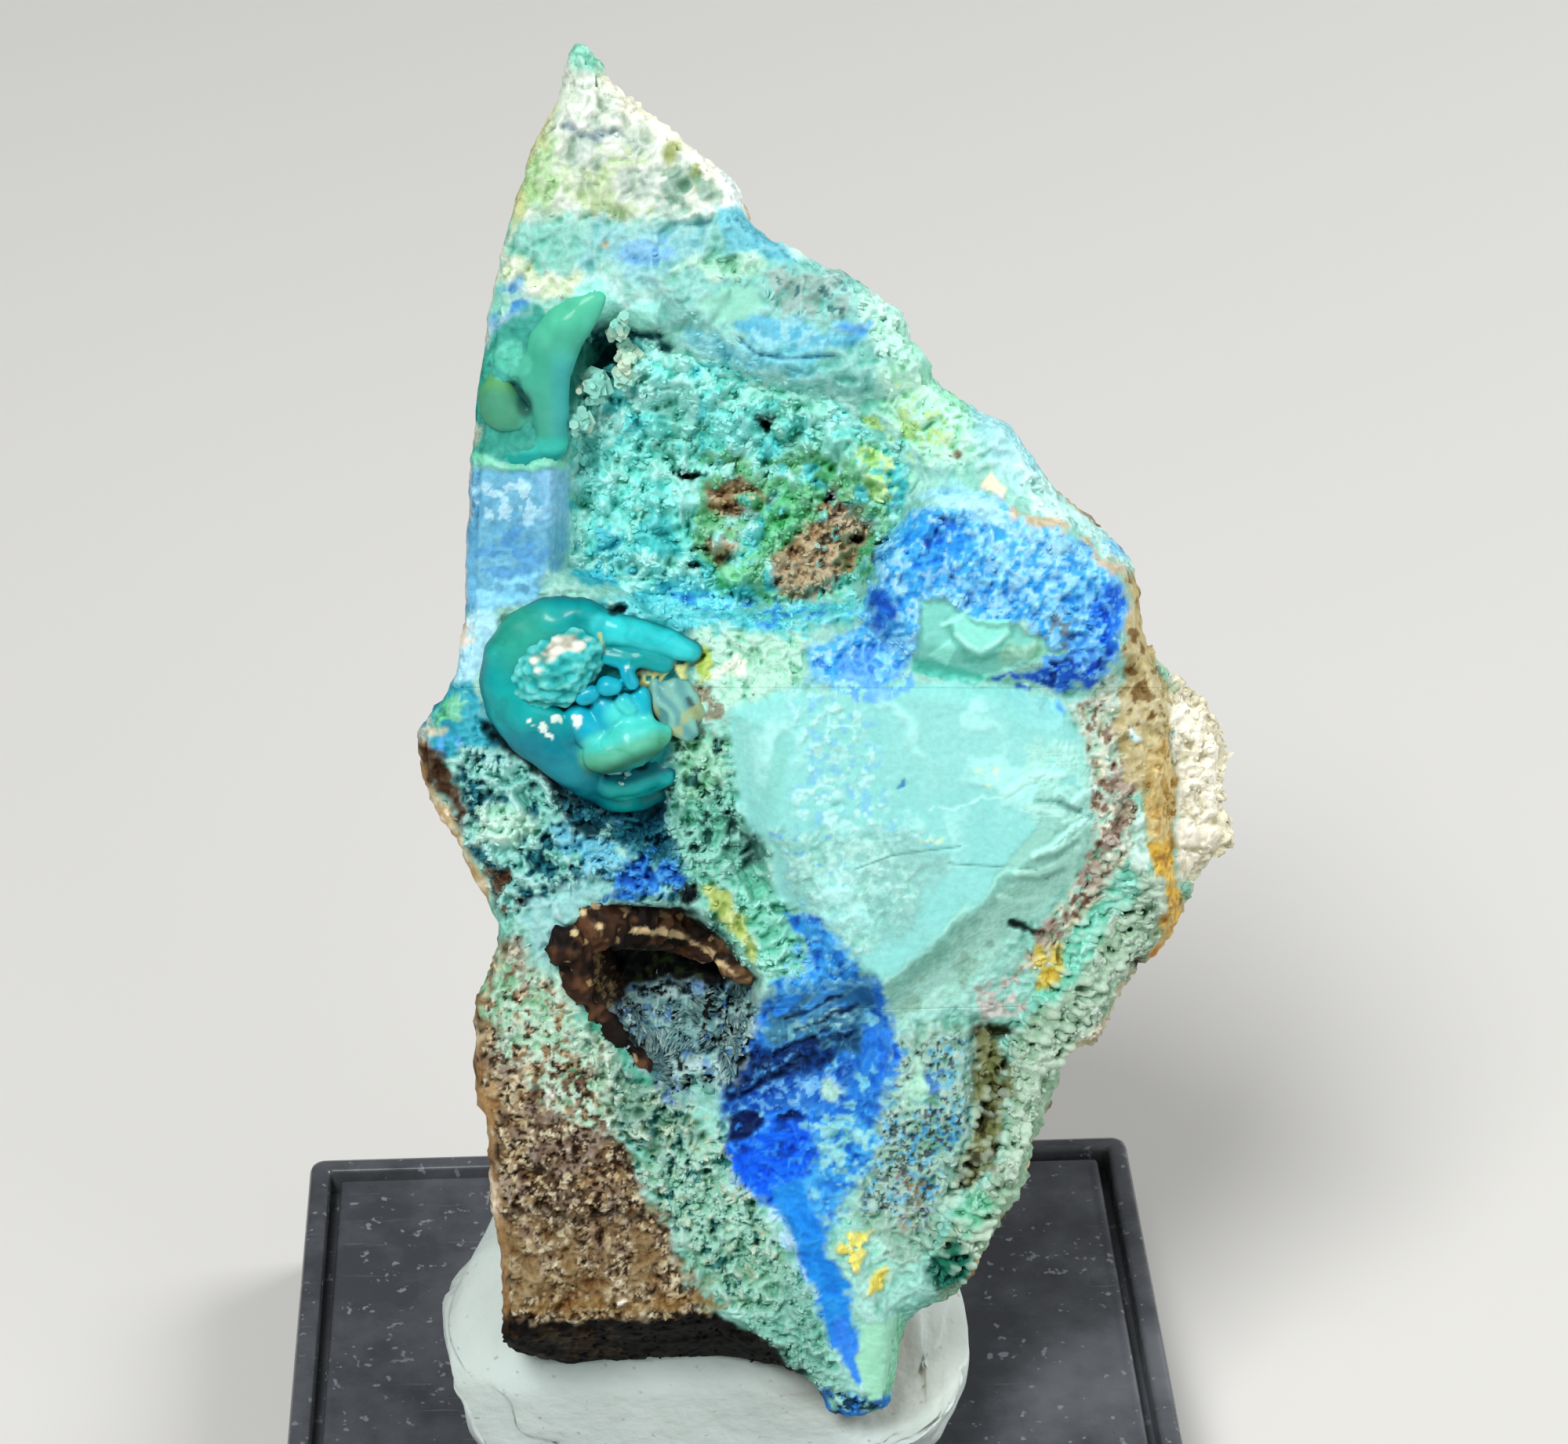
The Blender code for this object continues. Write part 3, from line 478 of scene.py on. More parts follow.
flecks("grey teal", "#8FB5AC", 0.7, 0.3, GREY_LEDGE)
flecks("specks", "#4F7F80", 0.22, 0.2, GREY_LEDGE, lift=-0.08)
crust("right beads", "#A6DECA", 0.5, [(4, 38.5), (5.9, 37.8), (6.7, 36.2), (5.4, 35.6),
    (4.2, 36.6)], grain=0.22)
crust("blue oval", "#58B0CE", 0.3, [(0.3, 37), (0.9, 37.4), (2.2, 37.3), (3.4, 36.7), (4.4, 37.2),
    (4.3, 36.6), (3, 36.25), (1, 36.15)], grain=0.08)
flecks("oval lights", "#86CEDC", 0.35, 0.3, [(0.3, 37.2), (2.2, 37.5), (4.4, 37.2), (3, 36.3),
    (1, 36.2)])
crust("blue spot", "#4C94D6", 0.3, [(3.5, 37), (3.9, 37.3), (4.4, 37.1), (4.2, 36.8), (3.7, 36.8)])
crust("aqua slope", "#74CBD6", 0.4, [(-1.2, 37), (0.6, 36.4), (3, 36.2), (2.8, 35.6), (0.8, 35.7),
    (-0.4, 35.9), (-1.4, 36.6)], grain=0.13)
line("crack", "#2F6F8C", 0.09, 0.12, [(0.4, 36.75), (0.9, 36.3), (1.8, 36.15), (3.3, 36.25)],
    lift=-0.15, crisp=True)
# Painted highlight along the stone's upper right rim.
line("pale edge", "#CDEFE6", 0.5, 0.4, [(1.4, 40), (3.8, 38.9), (5.6, 37.6), (6.4, 36.2),
    (8.6, 34.6), (10, 33), (12.2, 31)])
crust("greenish", "#ACE8CC", 0.6, [(4.6, 36), (6.2, 35.8), (7.6, 34.6), (8.2, 33.2), (6.4, 32.8),
    (5, 34)], grain=0.16)
flecks("yellow green", "#A8D28E", 0.45, 0.25, [(5.2, 35.2), (6.4, 35.2), (7.2, 33.8), (6.4, 33.2),
    (5.4, 34)])
crust("brown speck", "#6A5A3A", 0.15, [(6.8, 33.3), (7, 33.5), (7.25, 33.3), (7, 33.1)])
crust("pale blue", "#A8DDE0", 0.5, [(7.6, 34.8), (8.9, 34.7), (10.2, 33), (9, 32.4), (8, 33)],
    grain=0.08)
crust("cyan rim", "#BCE6E0", 0.3, [(9, 33.2), (10.9, 32.1), (12.8, 30.9), (13.5, 29.8),
    (12.6, 29.7), (11.4, 30.7), (9.6, 31.7)], grain=0.17)
crust("blue lump", "#7CC6E8", 0.4, [(11.9, 30.8), (12.5, 30.9), (12.9, 30.3), (12.2, 30.1)])
crust("buff crystal", "#E8D9BC", 0.15, [(7.8, 32.2), (8.2, 32.7), (8.7, 32.3), (8.4, 31.9)],
    lift=0.3, grain=0.02, gloss=0.5)

# The vug and its crust.
VUG_FLOOR = [(-5, 36.8), (-3.4, 37.3), (-1.6, 36.4), (0.6, 35.4), (3.2, 35), (5.2, 33.6),
    (5.8, 32.6), (5.3, 31.2), (4.3, 30.4), (4, 29.2), (2, 28.8), (-2.4, 29), (-5, 30), (-4.9, 34.6)]
crust("vug", "#64CEC2", 0.6, VUG_FLOOR, grain=0.2)
flecks("vug teal", "#44BCBC", 0.42, 1.1, VUG_FLOOR)
flecks("vug pale", "#80D2C4", 0.4, 0.7, VUG_FLOOR)
flecks("vug upper left", "#3AA8AA", 0.12, 0.5, [(-4.9, 36.6), (-1.5, 36.6), (-2.4, 34.4),
    (-4.8, 32.4)])
flecks("vug right", "#74CAB4", 0.6, 0.6, [(0.6, 35.4), (4.6, 34.9), (5.2, 33.2), (2, 33)])
flecks("vug blue", "#30A4B6", 0.5, 0.9, [(-5, 31.6), (-2.4, 31.4), (-0.8, 29), (-5, 29.4)])
flecks("vug green", "#5AB078", 0.6, 0.8, [(-0.6, 33.4), (4.2, 33.2), (5.2, 31.5), (4.6, 29.4),
    (1.4, 28.8), (-1, 30.4)])
flecks("vug deep green", "#3A9A5A", 0.25, 0.6, [(0.2, 33), (4.2, 33.2), (5.2, 31.5), (4.6, 29.4),
    (1.2, 29)])
flecks("vug yellow green", "#A8D88C", 0.35, 0.5, [(4.2, 34.6), (5.9, 34), (5.8, 32), (4.4, 31.8)])
BROWN_PATCHES = [
    [(-0.6, 32.4), (0.4, 32.7), (1.2, 32.2), (0.2, 31.6), (-0.4, 31.6)],
    [(1.3, 30.4), (2.2, 31), (3.4, 32.3), (4.4, 31.3), (3.7, 30.1), (2.9, 28.9), (1.6, 29.2)],
    [(-0.6, 30.8), (0.2, 31.1), (0.3, 30.4), (-0.4, 30.2)],
]
for brown_patch in BROWN_PATCHES:
    flecks("vug matrix", "#A88E68", 0.88, 0.5, brown_patch, lift=-0.2, soft=0.35)
    flecks("vug matrix shade", "#5C4630", 0.25, 0.25, brown_patch, lift=-0.1)
flecks("green ridge", "#58BC7E", 0.85, 0.4, [(1, 31.4), (1.9, 32.7), (2.7, 32.4), (1.9, 31.2),
    (0.8, 30.5), (-0.4, 29.9), (-0.1, 29.1), (0.8, 29.9)], lift=0.25)
flecks("vug shade", "#0A5256", 0.75, 0.5, [(-4.5, 37.1), (-3.5, 37.3), (-3.1, 36.6), (-3.3, 35.7),
    (-4.5, 35.6)], lift=-0.4)
# Painted shade in the gap along the ledge's foot.
line("vug gap", "#0A4A50", 0.35, 0.3, [(-3.5, 37.2), (-2.6, 36.95), (-1.7, 36.5)], lift=-0.35)
# Near-black holes in the vug's crust: painted shade over sunk spots.
VUG_HOLES = [  # u, v and size
    (-1.4, 32.7, 0.42), (-1, 32.6, 0.25), (3.4, 32.1, 0.22), (3.9, 31.1, 0.25), (4.6, 30.1, 0.3),
    (4.8, 30.7, 0.3), (-0.8, 29.9, 0.2), (0.1, 30.3, 0.22), (-0.8, 30.5, 0.18), (1.2, 34.5, 0.2),
]
for hole_u, hole_v, hole_size in VUG_HOLES:
    hole = [(hole_u + hole_size * i, hole_v + hole_size * 0.6 * j)
            for i, j in ((-1, 0), (0, 1), (1, 0), (0, -1))]
    crust("vug hole", "#060C0E", 0.25, hole, lift=-0.9)

# The lavender patch and the green line over it, at the left.
crust("ribbon bed", "#3A9C8C", 0.3, [(-8.2, 36.4), (-5.6, 37.6), (-4.2, 36.6), (-4.9, 34.6),
    (-5, 33), (-8.2, 33)], grain=0.05)
crust("mint corner", "#5CC4AC", 0.3, [(-7.4, 36.4), (-6.4, 36.5), (-6.3, 35.8), (-6.8, 35.5)])
crust("dark bed", "#1C5450", 0.4, [(-6.6, 35.2), (-6, 35.3), (-5.9, 34.4), (-6.3, 34.3)], lift=-0.3)
crust("lavender patch", "#66ABCA", 0.35, [(-8.4, 32.8), (-5.1, 32.9), (-5.1, 31.4), (-5.2, 30.2),
    (-5.9, 29.2), (-6.4, 28.4), (-8.7, 28.2), (-8.6, 30)], grain=0.05)
crust("lavender top", "#7EBADC", 0.3, [(-6, 32.9), (-5.1, 32.8), (-5.1, 31.3), (-5.9, 31.3)])
flecks("pale speckles", "#A6D6E8", 0.5, 0.22, [(-7.8, 32.4), (-5.8, 32.2), (-6, 31.2),
    (-7.8, 31.2)], grain=0.07)
flecks("cobalt core", "#549ACC", 0.55, 0.3, [(-7.8, 30.3), (-6.6, 31.3), (-5.7, 30.6), (-5.9, 29.6),
    (-7.4, 29.4)])
flecks("blue foot", "#84D0F0", 0.8, 0.4, [(-7.8, 29.5), (-6, 29.7), (-6.2, 28.6), (-7.8, 28.4)])
crust("lilac", "#B0E6F6", 0.3, [(-9, 28.3), (-7, 28.3), (-7.3, 27.2), (-8.2, 26), (-9.4, 26.2)],
    grain=0.05)
line("green line", "#7FD8B8", 0.3, 0.2, [(-7.9, 33.1), (-6.4, 32.75), (-5.2, 33)], lift=0.15)
line("cream margin", "#E9DECB", 0.45, 0.3, [(-8, 35), (-8.15, 32.6), (-8.3, 31), (-8.35, 29),
    (-8.5, 27.6)], grain=0.1)

# Around the rolls, and the blue-green ear at the left.
crust("roll bed", "#1A8E90", 0.4, [(-7.3, 27.8), (-4, 29), (-1, 28.4), (-1.4, 24), (-3.4, 22.2),
    (-6, 23.4), (-7.8, 25)], grain=0.06)
crust("ear", "#2F9FB4", 0.3, [(-9.4, 26.2), (-8.2, 26.2), (-7.6, 25), (-6.9, 24.2), (-8.6, 24),
    (-10.2, 24), (-10.5, 24.8)], grain=0.12)
flecks("ear green", "#6FC9A0", 0.5, 0.3, [(-9.3, 25.8), (-8.4, 25.7), (-8.4, 25), (-9.4, 24.9)])
flecks("ear blue", "#4F9BE0", 0.7, 0.4, [(-9.9, 24.5), (-8.6, 24.6), (-8.6, 24.1), (-9.9, 24.1)])
crust("ear cream", "#D9CDB0", 0.3, [(-9.9, 24.9), (-9.5, 25.2), (-9.1, 24.9), (-9.5, 24.7)])
EAR_EDGE = [(-9.9, 24.2), (-9.7, 22.8), (-9.2, 21.6), (-8.7, 20.6), (-8.2, 19.8)]
line("ear ochre", "#B49A6E", 0.8, 0.3, EAR_EDGE, grain=0.16)
line("ear crumbs", "#E2D6B6", 0.8, 0.3, EAR_EDGE, cover=0.4, size=0.3)
crust("ear brown", "#3E2C1C", 0.3, [(-10, 24.5), (-9.2, 24.3), (-8.5, 23.2), (-8.1, 21.9),
    (-8.6, 21.5), (-9.3, 22.9)], grain=0.16)

# The crusts left of the sheet.
LEFT_CRUSTS = [(-8.5, 24.2), (-5, 23.6), (-2, 23), (-1, 20), (-2, 19.2), (-5, 19.4), (-7.4, 18.8),
    (-8.4, 20.8)]
crust("left crusts", "#88CCC2", 0.4, LEFT_CRUSTS, grain=0.3)
flecks("left shadows", "#176070", 0.35, 0.45, LEFT_CRUSTS, lift=-0.3)
crust("pale mint", "#AEDCC8", 0.4, [(-8.2, 22.1), (-6.8, 22.2), (-6, 21.5), (-7, 21), (-8, 21.2)],
    lift=0.4)
flecks("blue crusts", "#5FB4CC", 0.55, 0.5, [(-6, 22.4), (-2, 22.2), (-1.6, 19.8), (-5, 20)],
    soft=0.4)
flecks("hollow", "#165E70", 0.85, 0.55, [(-5.4, 23.3), (-3.8, 22.4), (-2.2, 22.4), (-1.7, 21),
    (-2, 20.2), (-3.6, 21), (-5.2, 21.6), (-5.8, 22.6)], soft=0.4)
# Painted shade in the hollow's gap.
flecks("hollow gap", "#07303C", 0.75, 0.4, [(-5.9, 23), (-5, 22.8), (-4.2, 21.9), (-3.9, 21.2),
    (-4.8, 21.4), (-5.5, 22)], soft=0.3, lift=-0.3)
line("roll shadow", "#082A30", 0.4, 0.35, [(-7.6, 24.7), (-6.6, 24.1), (-5.7, 23.3), (-5, 22.5)],
    lift=-0.4, cover=0.85, size=0.5)
flecks("blue floor", "#2E7FD0", 0.75, 0.35, [(-3.9, 20), (-2.6, 20.9), (-1.4, 20.3), (-1, 20),
    (-1.8, 19.6), (-3, 19.3), (-4.2, 19.3)], soft=0.3)
crust("aqua smooth", "#8FC9C6", 0.3, [(-6.8, 18.6), (-5.6, 19.8), (-4.4, 20.2), (-3.4, 19.6),
    (-4.4, 19.2), (-5.4, 18.6), (-5.4, 17.4), (-6, 17.2)], grain=0.1)
flecks("brown bits", "#5A4530", 0.6, 0.3, [(-7.9, 20.6), (-6.9, 20.2), (-6.5, 19.2), (-7.6, 18.8)])
crust("middle crust", "#74C0AA", 0.4, [(-1.9, 24.5), (0.2, 25), (0.3, 23.4), (0.6, 21.6),
    (1.4, 19.6), (1.5, 17), (0.2, 17), (-1.2, 19.4), (-1.9, 21.6)], grain=0.25)
crust("green brown", "#84C4A4", 0.4, [(-1.7, 24.5), (0, 24.5), (0, 22.8), (-1.6, 22.6)])
flecks("green shade", "#1F5A50", 0.25, 0.35, [(-1.7, 24.5), (0.1, 24.5), (0.4, 21), (-1.6, 21)],
    lift=-0.25)
# A painted grey-green shadow, and a hole painted black as shade.
crust("dark teal", "#3F6F66", 0.4, [(0.1, 21.6), (0.7, 21.5), (1, 20.4), (0.4, 20.2)], lift=-0.2)
crust("black hole", "#0A1418", 0.2, [(-1.9, 19.8), (-1.2, 20), (-1.1, 19.4), (-1.5, 19.1)],
    lift=-0.7)
crust("teal granules", "#7FCFB8", 0.4, [(0.2, 20), (1.6, 19.6), (2.6, 18), (2.4, 16.6), (1.2, 16.4),
    (0.2, 18)], grain=0.22)
crust("yellow green", "#B4C77A", 0.3, [(-1.1, 19.8), (-0.3, 19.6), (0.8, 18.2), (1.1, 16.7),
    (0.5, 17.6), (-0.6, 18.9)], grain=0.15)

# Under the rolls and along the vug's foot.
crust("under rolls", "#A5DCC4", 0.5, [(-1.2, 28.4), (2, 28.6), (2.4, 26.4), (0.6, 25.4),
    (-1.4, 25.4)], grain=0.16)
flecks("cream swirls", "#DDEBD8", 0.6, 0.4, [(-1, 27), (0, 27.3), (0.9, 26.9), (0.8, 26.4),
    (-0.6, 26.3)])
flecks("yellow swirls", "#A4C452", 0.8, 0.35, [(-1.3, 27.6), (-0.6, 27.4), (-0.5, 26.3),
    (-0.95, 26.1), (-1.2, 26.9)])
flecks("yellow crumbs", "#CCD68C", 0.6, 0.3, [(-2.9, 26.8), (-1.4, 26.9), (-1.3, 26.3),
    (-2.8, 26.3)], lift=0.2)
flecks("ribs", "#8C8A72", 0.5, 0.3, [(-1.9, 26.2), (-0.6, 26.1), (0.1, 25.2), (-0.6, 24.6),
    (-1.8, 24.8)], lift=-0.1)
crust("cyan strip", "#5ED0D8", 0.5, [(-3.6, 29), (-1, 29.4), (1, 28.7), (3, 28.9), (4.6, 28.9),
    (4.4, 28.1), (1.4, 27.8), (-1, 28.1), (-3.4, 28.3)], grain=0.22)
flecks("strip blue", "#3E9EE0", 0.3, 0.3, [(-2, 29.2), (2, 29), (4.6, 29), (4.4, 28), (0, 28)],
    haze=0.3, soft=0.4)
# Painted shade in a gap at the vug's foot.
crust("black gap", "#05181E", 0.2, [(-3.9, 28.75), (-3.5, 28.9), (-3.1, 28.65), (-3.4, 28.4)],
    lift=-0.5)

# The blue block.
BLUE_BLOCK = [(4.7, 30.4), (5.8, 31.6), (6.6, 31.9), (8.4, 31.9), (9.6, 31.4), (11, 30.6),
    (12.2, 29.6), (12.5, 28.4), (12.2, 27), (11.5, 26.3), (10.2, 26.8), (9.4, 28.2), (7.8, 28.1),
    (6.1, 28.8), (5.9, 27.4), (5.3, 26.4), (4.2, 26.1), (2.6, 26.4), (2.4, 27.2), (3.6, 27.7),
    (4.4, 28.3), (4.6, 29.4)]
crust("blue block", "#389EE2", 0.35, BLUE_BLOCK, grain=0.14)
flecks("pale speckle", "#7CC8F0", 0.42, 0.24, BLUE_BLOCK, haze=0.4, soft=0.35)
flecks("frost", "#90CEF0", 0.2, 0.16, BLUE_BLOCK, haze=0.4, soft=0.35)
flecks("bright blue", "#2C94EC", 0.75, 0.4, [(5.2, 31.2), (6.6, 31.4), (7.4, 30.8), (7.2, 29.9),
    (5.6, 29.9)])
crust("aqua top", "#9BD8EC", 0.3, [(6, 32.1), (7, 32.4), (8.2, 31.9), (8.8, 31.2), (7.8, 31.4),
    (6.6, 31.8)])
flecks("cyan", "#8CCBE8", 0.6, 0.35, [(8.6, 31.4), (10, 31), (11.4, 29.9), (10, 30)])
flecks("deep right", "#1B6CDC", 0.7, 0.4, [(11.6, 29.4), (12.3, 29.2), (12.3, 27.2), (11.8, 27),
    (11.4, 28.2)])
flecks("grey streaks", "#5F7F90", 0.5, 0.3, [(9.6, 28.4), (10.8, 28.3), (10.9, 27.4), (9.8, 27.5)])
crust("deep left", "#1E66CC", 0.3, [(4.6, 29.1), (5.1, 29), (5.3, 28.1), (4.5, 27.8)])
crust("inset", "#76C8BA", 0.2, [(6, 28.7), (6.6, 28.7), (7.4, 28.6), (7.8, 28.2), (8.8, 28.2),
    (9.3, 27.8), (9.9, 27.6), (10.7, 27.3), (10.7, 26.6), (9.8, 26.9), (8.4, 26.5), (7.5, 26.2),
    (5.8, 26.7), (6, 28)], grain=0.02, gloss=0.45, lift=-0.25)
crust("inset foot", "#4EB4A2", 0.15, [(5.8, 27), (6.3, 27), (7.7, 26.6), (8.3, 26.4), (7.5, 26.2),
    (6.6, 26.4), (5.8, 26.6)], gloss=0.4, grain=0.01, crisp=True)
crust("inset right", "#86C4AA", 0.3, [(8.6, 27.4), (9.6, 27.5), (10.7, 27.3), (10.7, 26.7),
    (9.6, 26.9), (8.6, 26.7)], grain=0.08, gloss=0.3)
# The chip's bowl, splinter, rim and small ridge are painted lighter as painted highlights on its
# facets; the bowl's shade is painted shade.
line("bowl shade", "#56AC9A", 0.3, 0.25, [(6.9, 27.9), (7.4, 27.2), (7.9, 26.95), (8.5, 27.2),
    (9, 27.7)])
crust("bowl", "#86E0CE", 0.12, [(7, 28.1), (7.4, 28.4), (7.8, 28.2), (8.8, 28.2), (8.8, 27.8),
    (8.4, 27.4), (7.9, 27.1), (7.5, 27.3), (7.1, 27.7)], lift=0.18, gloss=0.5, grain=0.01,
    crisp=True)
line("bowl rim", "#A6F2E2", 0.16, 0.14, [(7.15, 27.75), (7.5, 27.42), (7.9, 27.24), (8.4, 27.5),
    (8.75, 27.8)], crisp=True)
crust("splinter", "#90E6D4", 0.1, [(6.3, 27.1), (6.95, 27.6), (7.15, 27.3), (6.9, 26.8)], lift=0.1,
    gloss=0.5, grain=0.01, crisp=True)
line("small ridge", "#9CEADA", 0.14, 0.12, [(6.7, 28.05), (7.1, 28.2), (7.4, 28.42)], lift=0.08,
    crisp=True)
flecks("deep edge", "#1250C8", 0.8, 0.4, [(8.3, 26.35), (9.8, 26.6), (10.9, 27.1), (12.2, 27),
    (11.8, 26.3), (10.6, 25.9), (9.2, 26.05)], lift=0.1, soft=0.25)
flecks("edge grains", "#5AA8EC", 0.32, 0.2, [(9.8, 26.6), (11, 28.6), (12.4, 29.2), (12.4, 26.8),
    (11.6, 26), (10.2, 25.9)], haze=0.3)
flecks("edge dark", "#0A2E84", 0.25, 0.25, [(9.8, 26.6), (10.8, 27.2), (11.8, 27), (11.4, 26.2),
    (10.2, 25.9)], lift=-0.15)
crust("blue drop", "#74C4F4", 0.15, [(10.3, 25.2), (10.5, 25.45), (10.7, 25.2), (10.5, 24.9)],
    lift=0.1)
crust("white drop", "#BDF0E4", 0.12, [(9.6, 25.5), (9.85, 25.6), (10, 25.4), (9.75, 25.25)],
    lift=0.1)
line("block crack", "#1A4FA0", 0.1, 0.1, [(6.6, 31.3), (6.2, 30.6), (5.9, 30.2)], lift=-0.15)
line("rusty line", "#BDB294", 0.4, 0.25, [(8.9, 31.6), (10, 31.4), (11, 30.6), (12, 29.9),
    (12.8, 29.4)], cover=0.55, size=0.4)

# The mint sheet of chrysocolla.
MINT_SHEET = [(0.2, 25.4), (1.4, 25.8), (2.6, 26.2), (4.4, 26.2), (5.4, 26.4), (6.4, 26.4),
    (8.2, 26.1), (9.6, 25.8), (10.4, 25.2), (11.2, 24.2), (11.6, 22.6), (11.9, 21.2), (11.4, 20.4),
    (10.4, 19.2), (9.6, 18.4), (8.6, 17), (7.4, 15.8), (6.2, 15.2), (4.6, 14.9), (4.3, 15.6),
    (5, 16.5), (4.2, 17.1), (3.4, 17.6), (2.6, 18.8), (1.6, 19.4), (1.2, 20.6), (0.6, 21.6),
    (0.2, 23.4)]
crust("mint sheet", "#88D4CE", 0.3, MINT_SHEET, grain=0.012, gloss=0.42)
# Painted light: the sheet's upper part, turned to the light, painted a little lighter.
crust("bright sheet", "#8CD4CE", 1.4, [(4.8, 25.6), (8.6, 25.6), (10.4, 24.4), (9.6, 22.8),
    (7.4, 22.2), (5.2, 23)])
CRUMB_BAND = [(2.2, 26.1), (4.2, 26.2), (4.6, 24), (5.1, 22.5), (6.7, 21.5), (6, 20.4), (3.8, 20.7),
    (2.2, 22), (1.9, 24)]
flecks("blue speckle", "#7CC4DC", 0.24, 0.26, CRUMB_BAND, haze=0.35, soft=0.8)
flecks("pale crumbs", "#AEE8E4", 0.35, 0.24, CRUMB_BAND, haze=0.35, soft=0.8, grain=0.08)
crust("grey dome", "#84CFC6", 0.7, [(0.5, 25), (1.8, 25.2), (2, 23.4), (1.9, 22.2), (0.8, 22.4)])
flecks("blue fringe", "#5FA8E8", 0.42, 0.25, [(3.6, 27.2), (5.6, 27.4), (5.9, 26.2), (4.6, 25.6),
    (3.4, 26.1)])
crust("low left", "#88C6BE", 0.8, [(1.2, 21), (3, 21.4), (5.4, 21.6), (7, 20.6), (6, 18.4),
    (4, 17.6), (2.6, 19)], grain=0.03)
flecks("blue flecks", "#6FB4DC", 0.08, 0.2, [(1, 21.6), (3.6, 21.6), (4.2, 18.6), (2.4, 18.6)])
flecks("fine crumbs", "#A2DCD2", 0.5, 0.22, [(1.2, 21.6), (4.6, 21.4), (6.2, 19.6), (4.4, 17.4),
    (2.6, 18.6)], haze=0.35, grain=0.07)
# Broad facets of the sheet, painted lighter as painted light.
SHEET_FACETS = [
    [(0.6, 24.9), (2.4, 25.2), (1.9, 22.6), (0.6, 22.9)],
    [(4.6, 25.9), (7.8, 25.8), (8.8, 24.4), (5.8, 24.2)],
    [(7.6, 23.8), (10.4, 24.2), (10.8, 22.6), (8.2, 22.2)],
    [(4.8, 22.2), (7.6, 22), (7.2, 20.6), (5.2, 20.8)],
    [(3, 19.9), (5, 20.2), (4.9, 18.4), (3.2, 18.6)],
]
for facet in SHEET_FACETS:
    flecks("sheet facet", "#A4E6E0", 0.7, 1.6, facet, soft=0.9, lift=0.08)
flecks("cream flecks", "#CDEBC8", 0.4, 0.25, [(7.9, 23.4), (8.7, 23.5), (8.8, 22.9), (8.1, 22.9)])
flecks("cream flecks", "#C9E6B8", 0.5, 0.2, [(6.1, 21.6), (6.8, 21.6), (6.8, 21.2), (6.1, 21.2)])
crust("blue chip", "#3F86B8", 0.08, [(5.2, 23.25), (5.5, 23.42), (5.6, 23.28), (5.35, 23.18)],
    lift=-0.06)
crust("lower facet", "#A2DECE", 0.25, [(10.6, 21.5), (11.6, 22), (12, 21), (11.2, 20), (9.6, 18.4),
    (8.6, 17), (7.4, 15.8), (5.6, 15), (4.5, 15), (5, 16.4), (7, 18.2), (9, 20.2)], grain=0.035)
line("facet shadow", "#7EBCAC", 0.7, 0.6, [(10.3, 21.1), (7.7, 18.6), (5.3, 16.3)])
flecks("flakes", "#92D2BE", 0.75, 0.6, [(9, 19.2), (11.6, 20.6), (11.9, 22.6), (10.6, 22),
    (9.8, 20.6)], flake=0.14)
flecks("upper flakes", "#A0DED2", 0.6, 0.6, [(9.4, 24.4), (11.2, 24), (11.8, 22), (10.6, 21.4),
    (9.6, 22)], flake=0.12)
flecks("foot flakes", "#8FC4B0", 0.4, 0.6, [(5.4, 16.6), (8.6, 18.8), (9.4, 18.2), (7.4, 15.8),
    (5.2, 15)], flake=0.1)
line("ridge light", "#9CDCD0", 0.1, 0.14, [(10.4, 21.6), (7.6, 19), (5, 16.5)])
HAIRLINES = [
    [(4, 20.3), (5.2, 20.75), (6.2, 20.9), (7.4, 21.05)],
    [(7, 20.5), (8.6, 20.4), (9.8, 20.3), (10.3, 19.95)],
]
for hairline in HAIRLINES:
    line("hairline", "#4F8F86", 0.05, 0.07, hairline, lift=-0.06, crisp=True)
line("pale arc", "#B4F0EA", 0.07, 0.12, [(6.4, 22.4), (7.6, 22.25), (8.8, 22.6), (10.2, 23.4),
    (10.6, 24.2)])
line("pale arc", "#B4F0EA", 0.07, 0.12, [(3.2, 25.6), (3.3, 25), (4, 24.9)])
crust("shaded facet", "#8ECABC", 0.15, [(10.2, 22.1), (10.7, 22.15), (11.5, 21.95), (10.5, 21.05),
    (9.65, 20.75), (8.6, 20), (9, 20.6), (9.8, 21.6)], lift=-0.06, gloss=0.4)
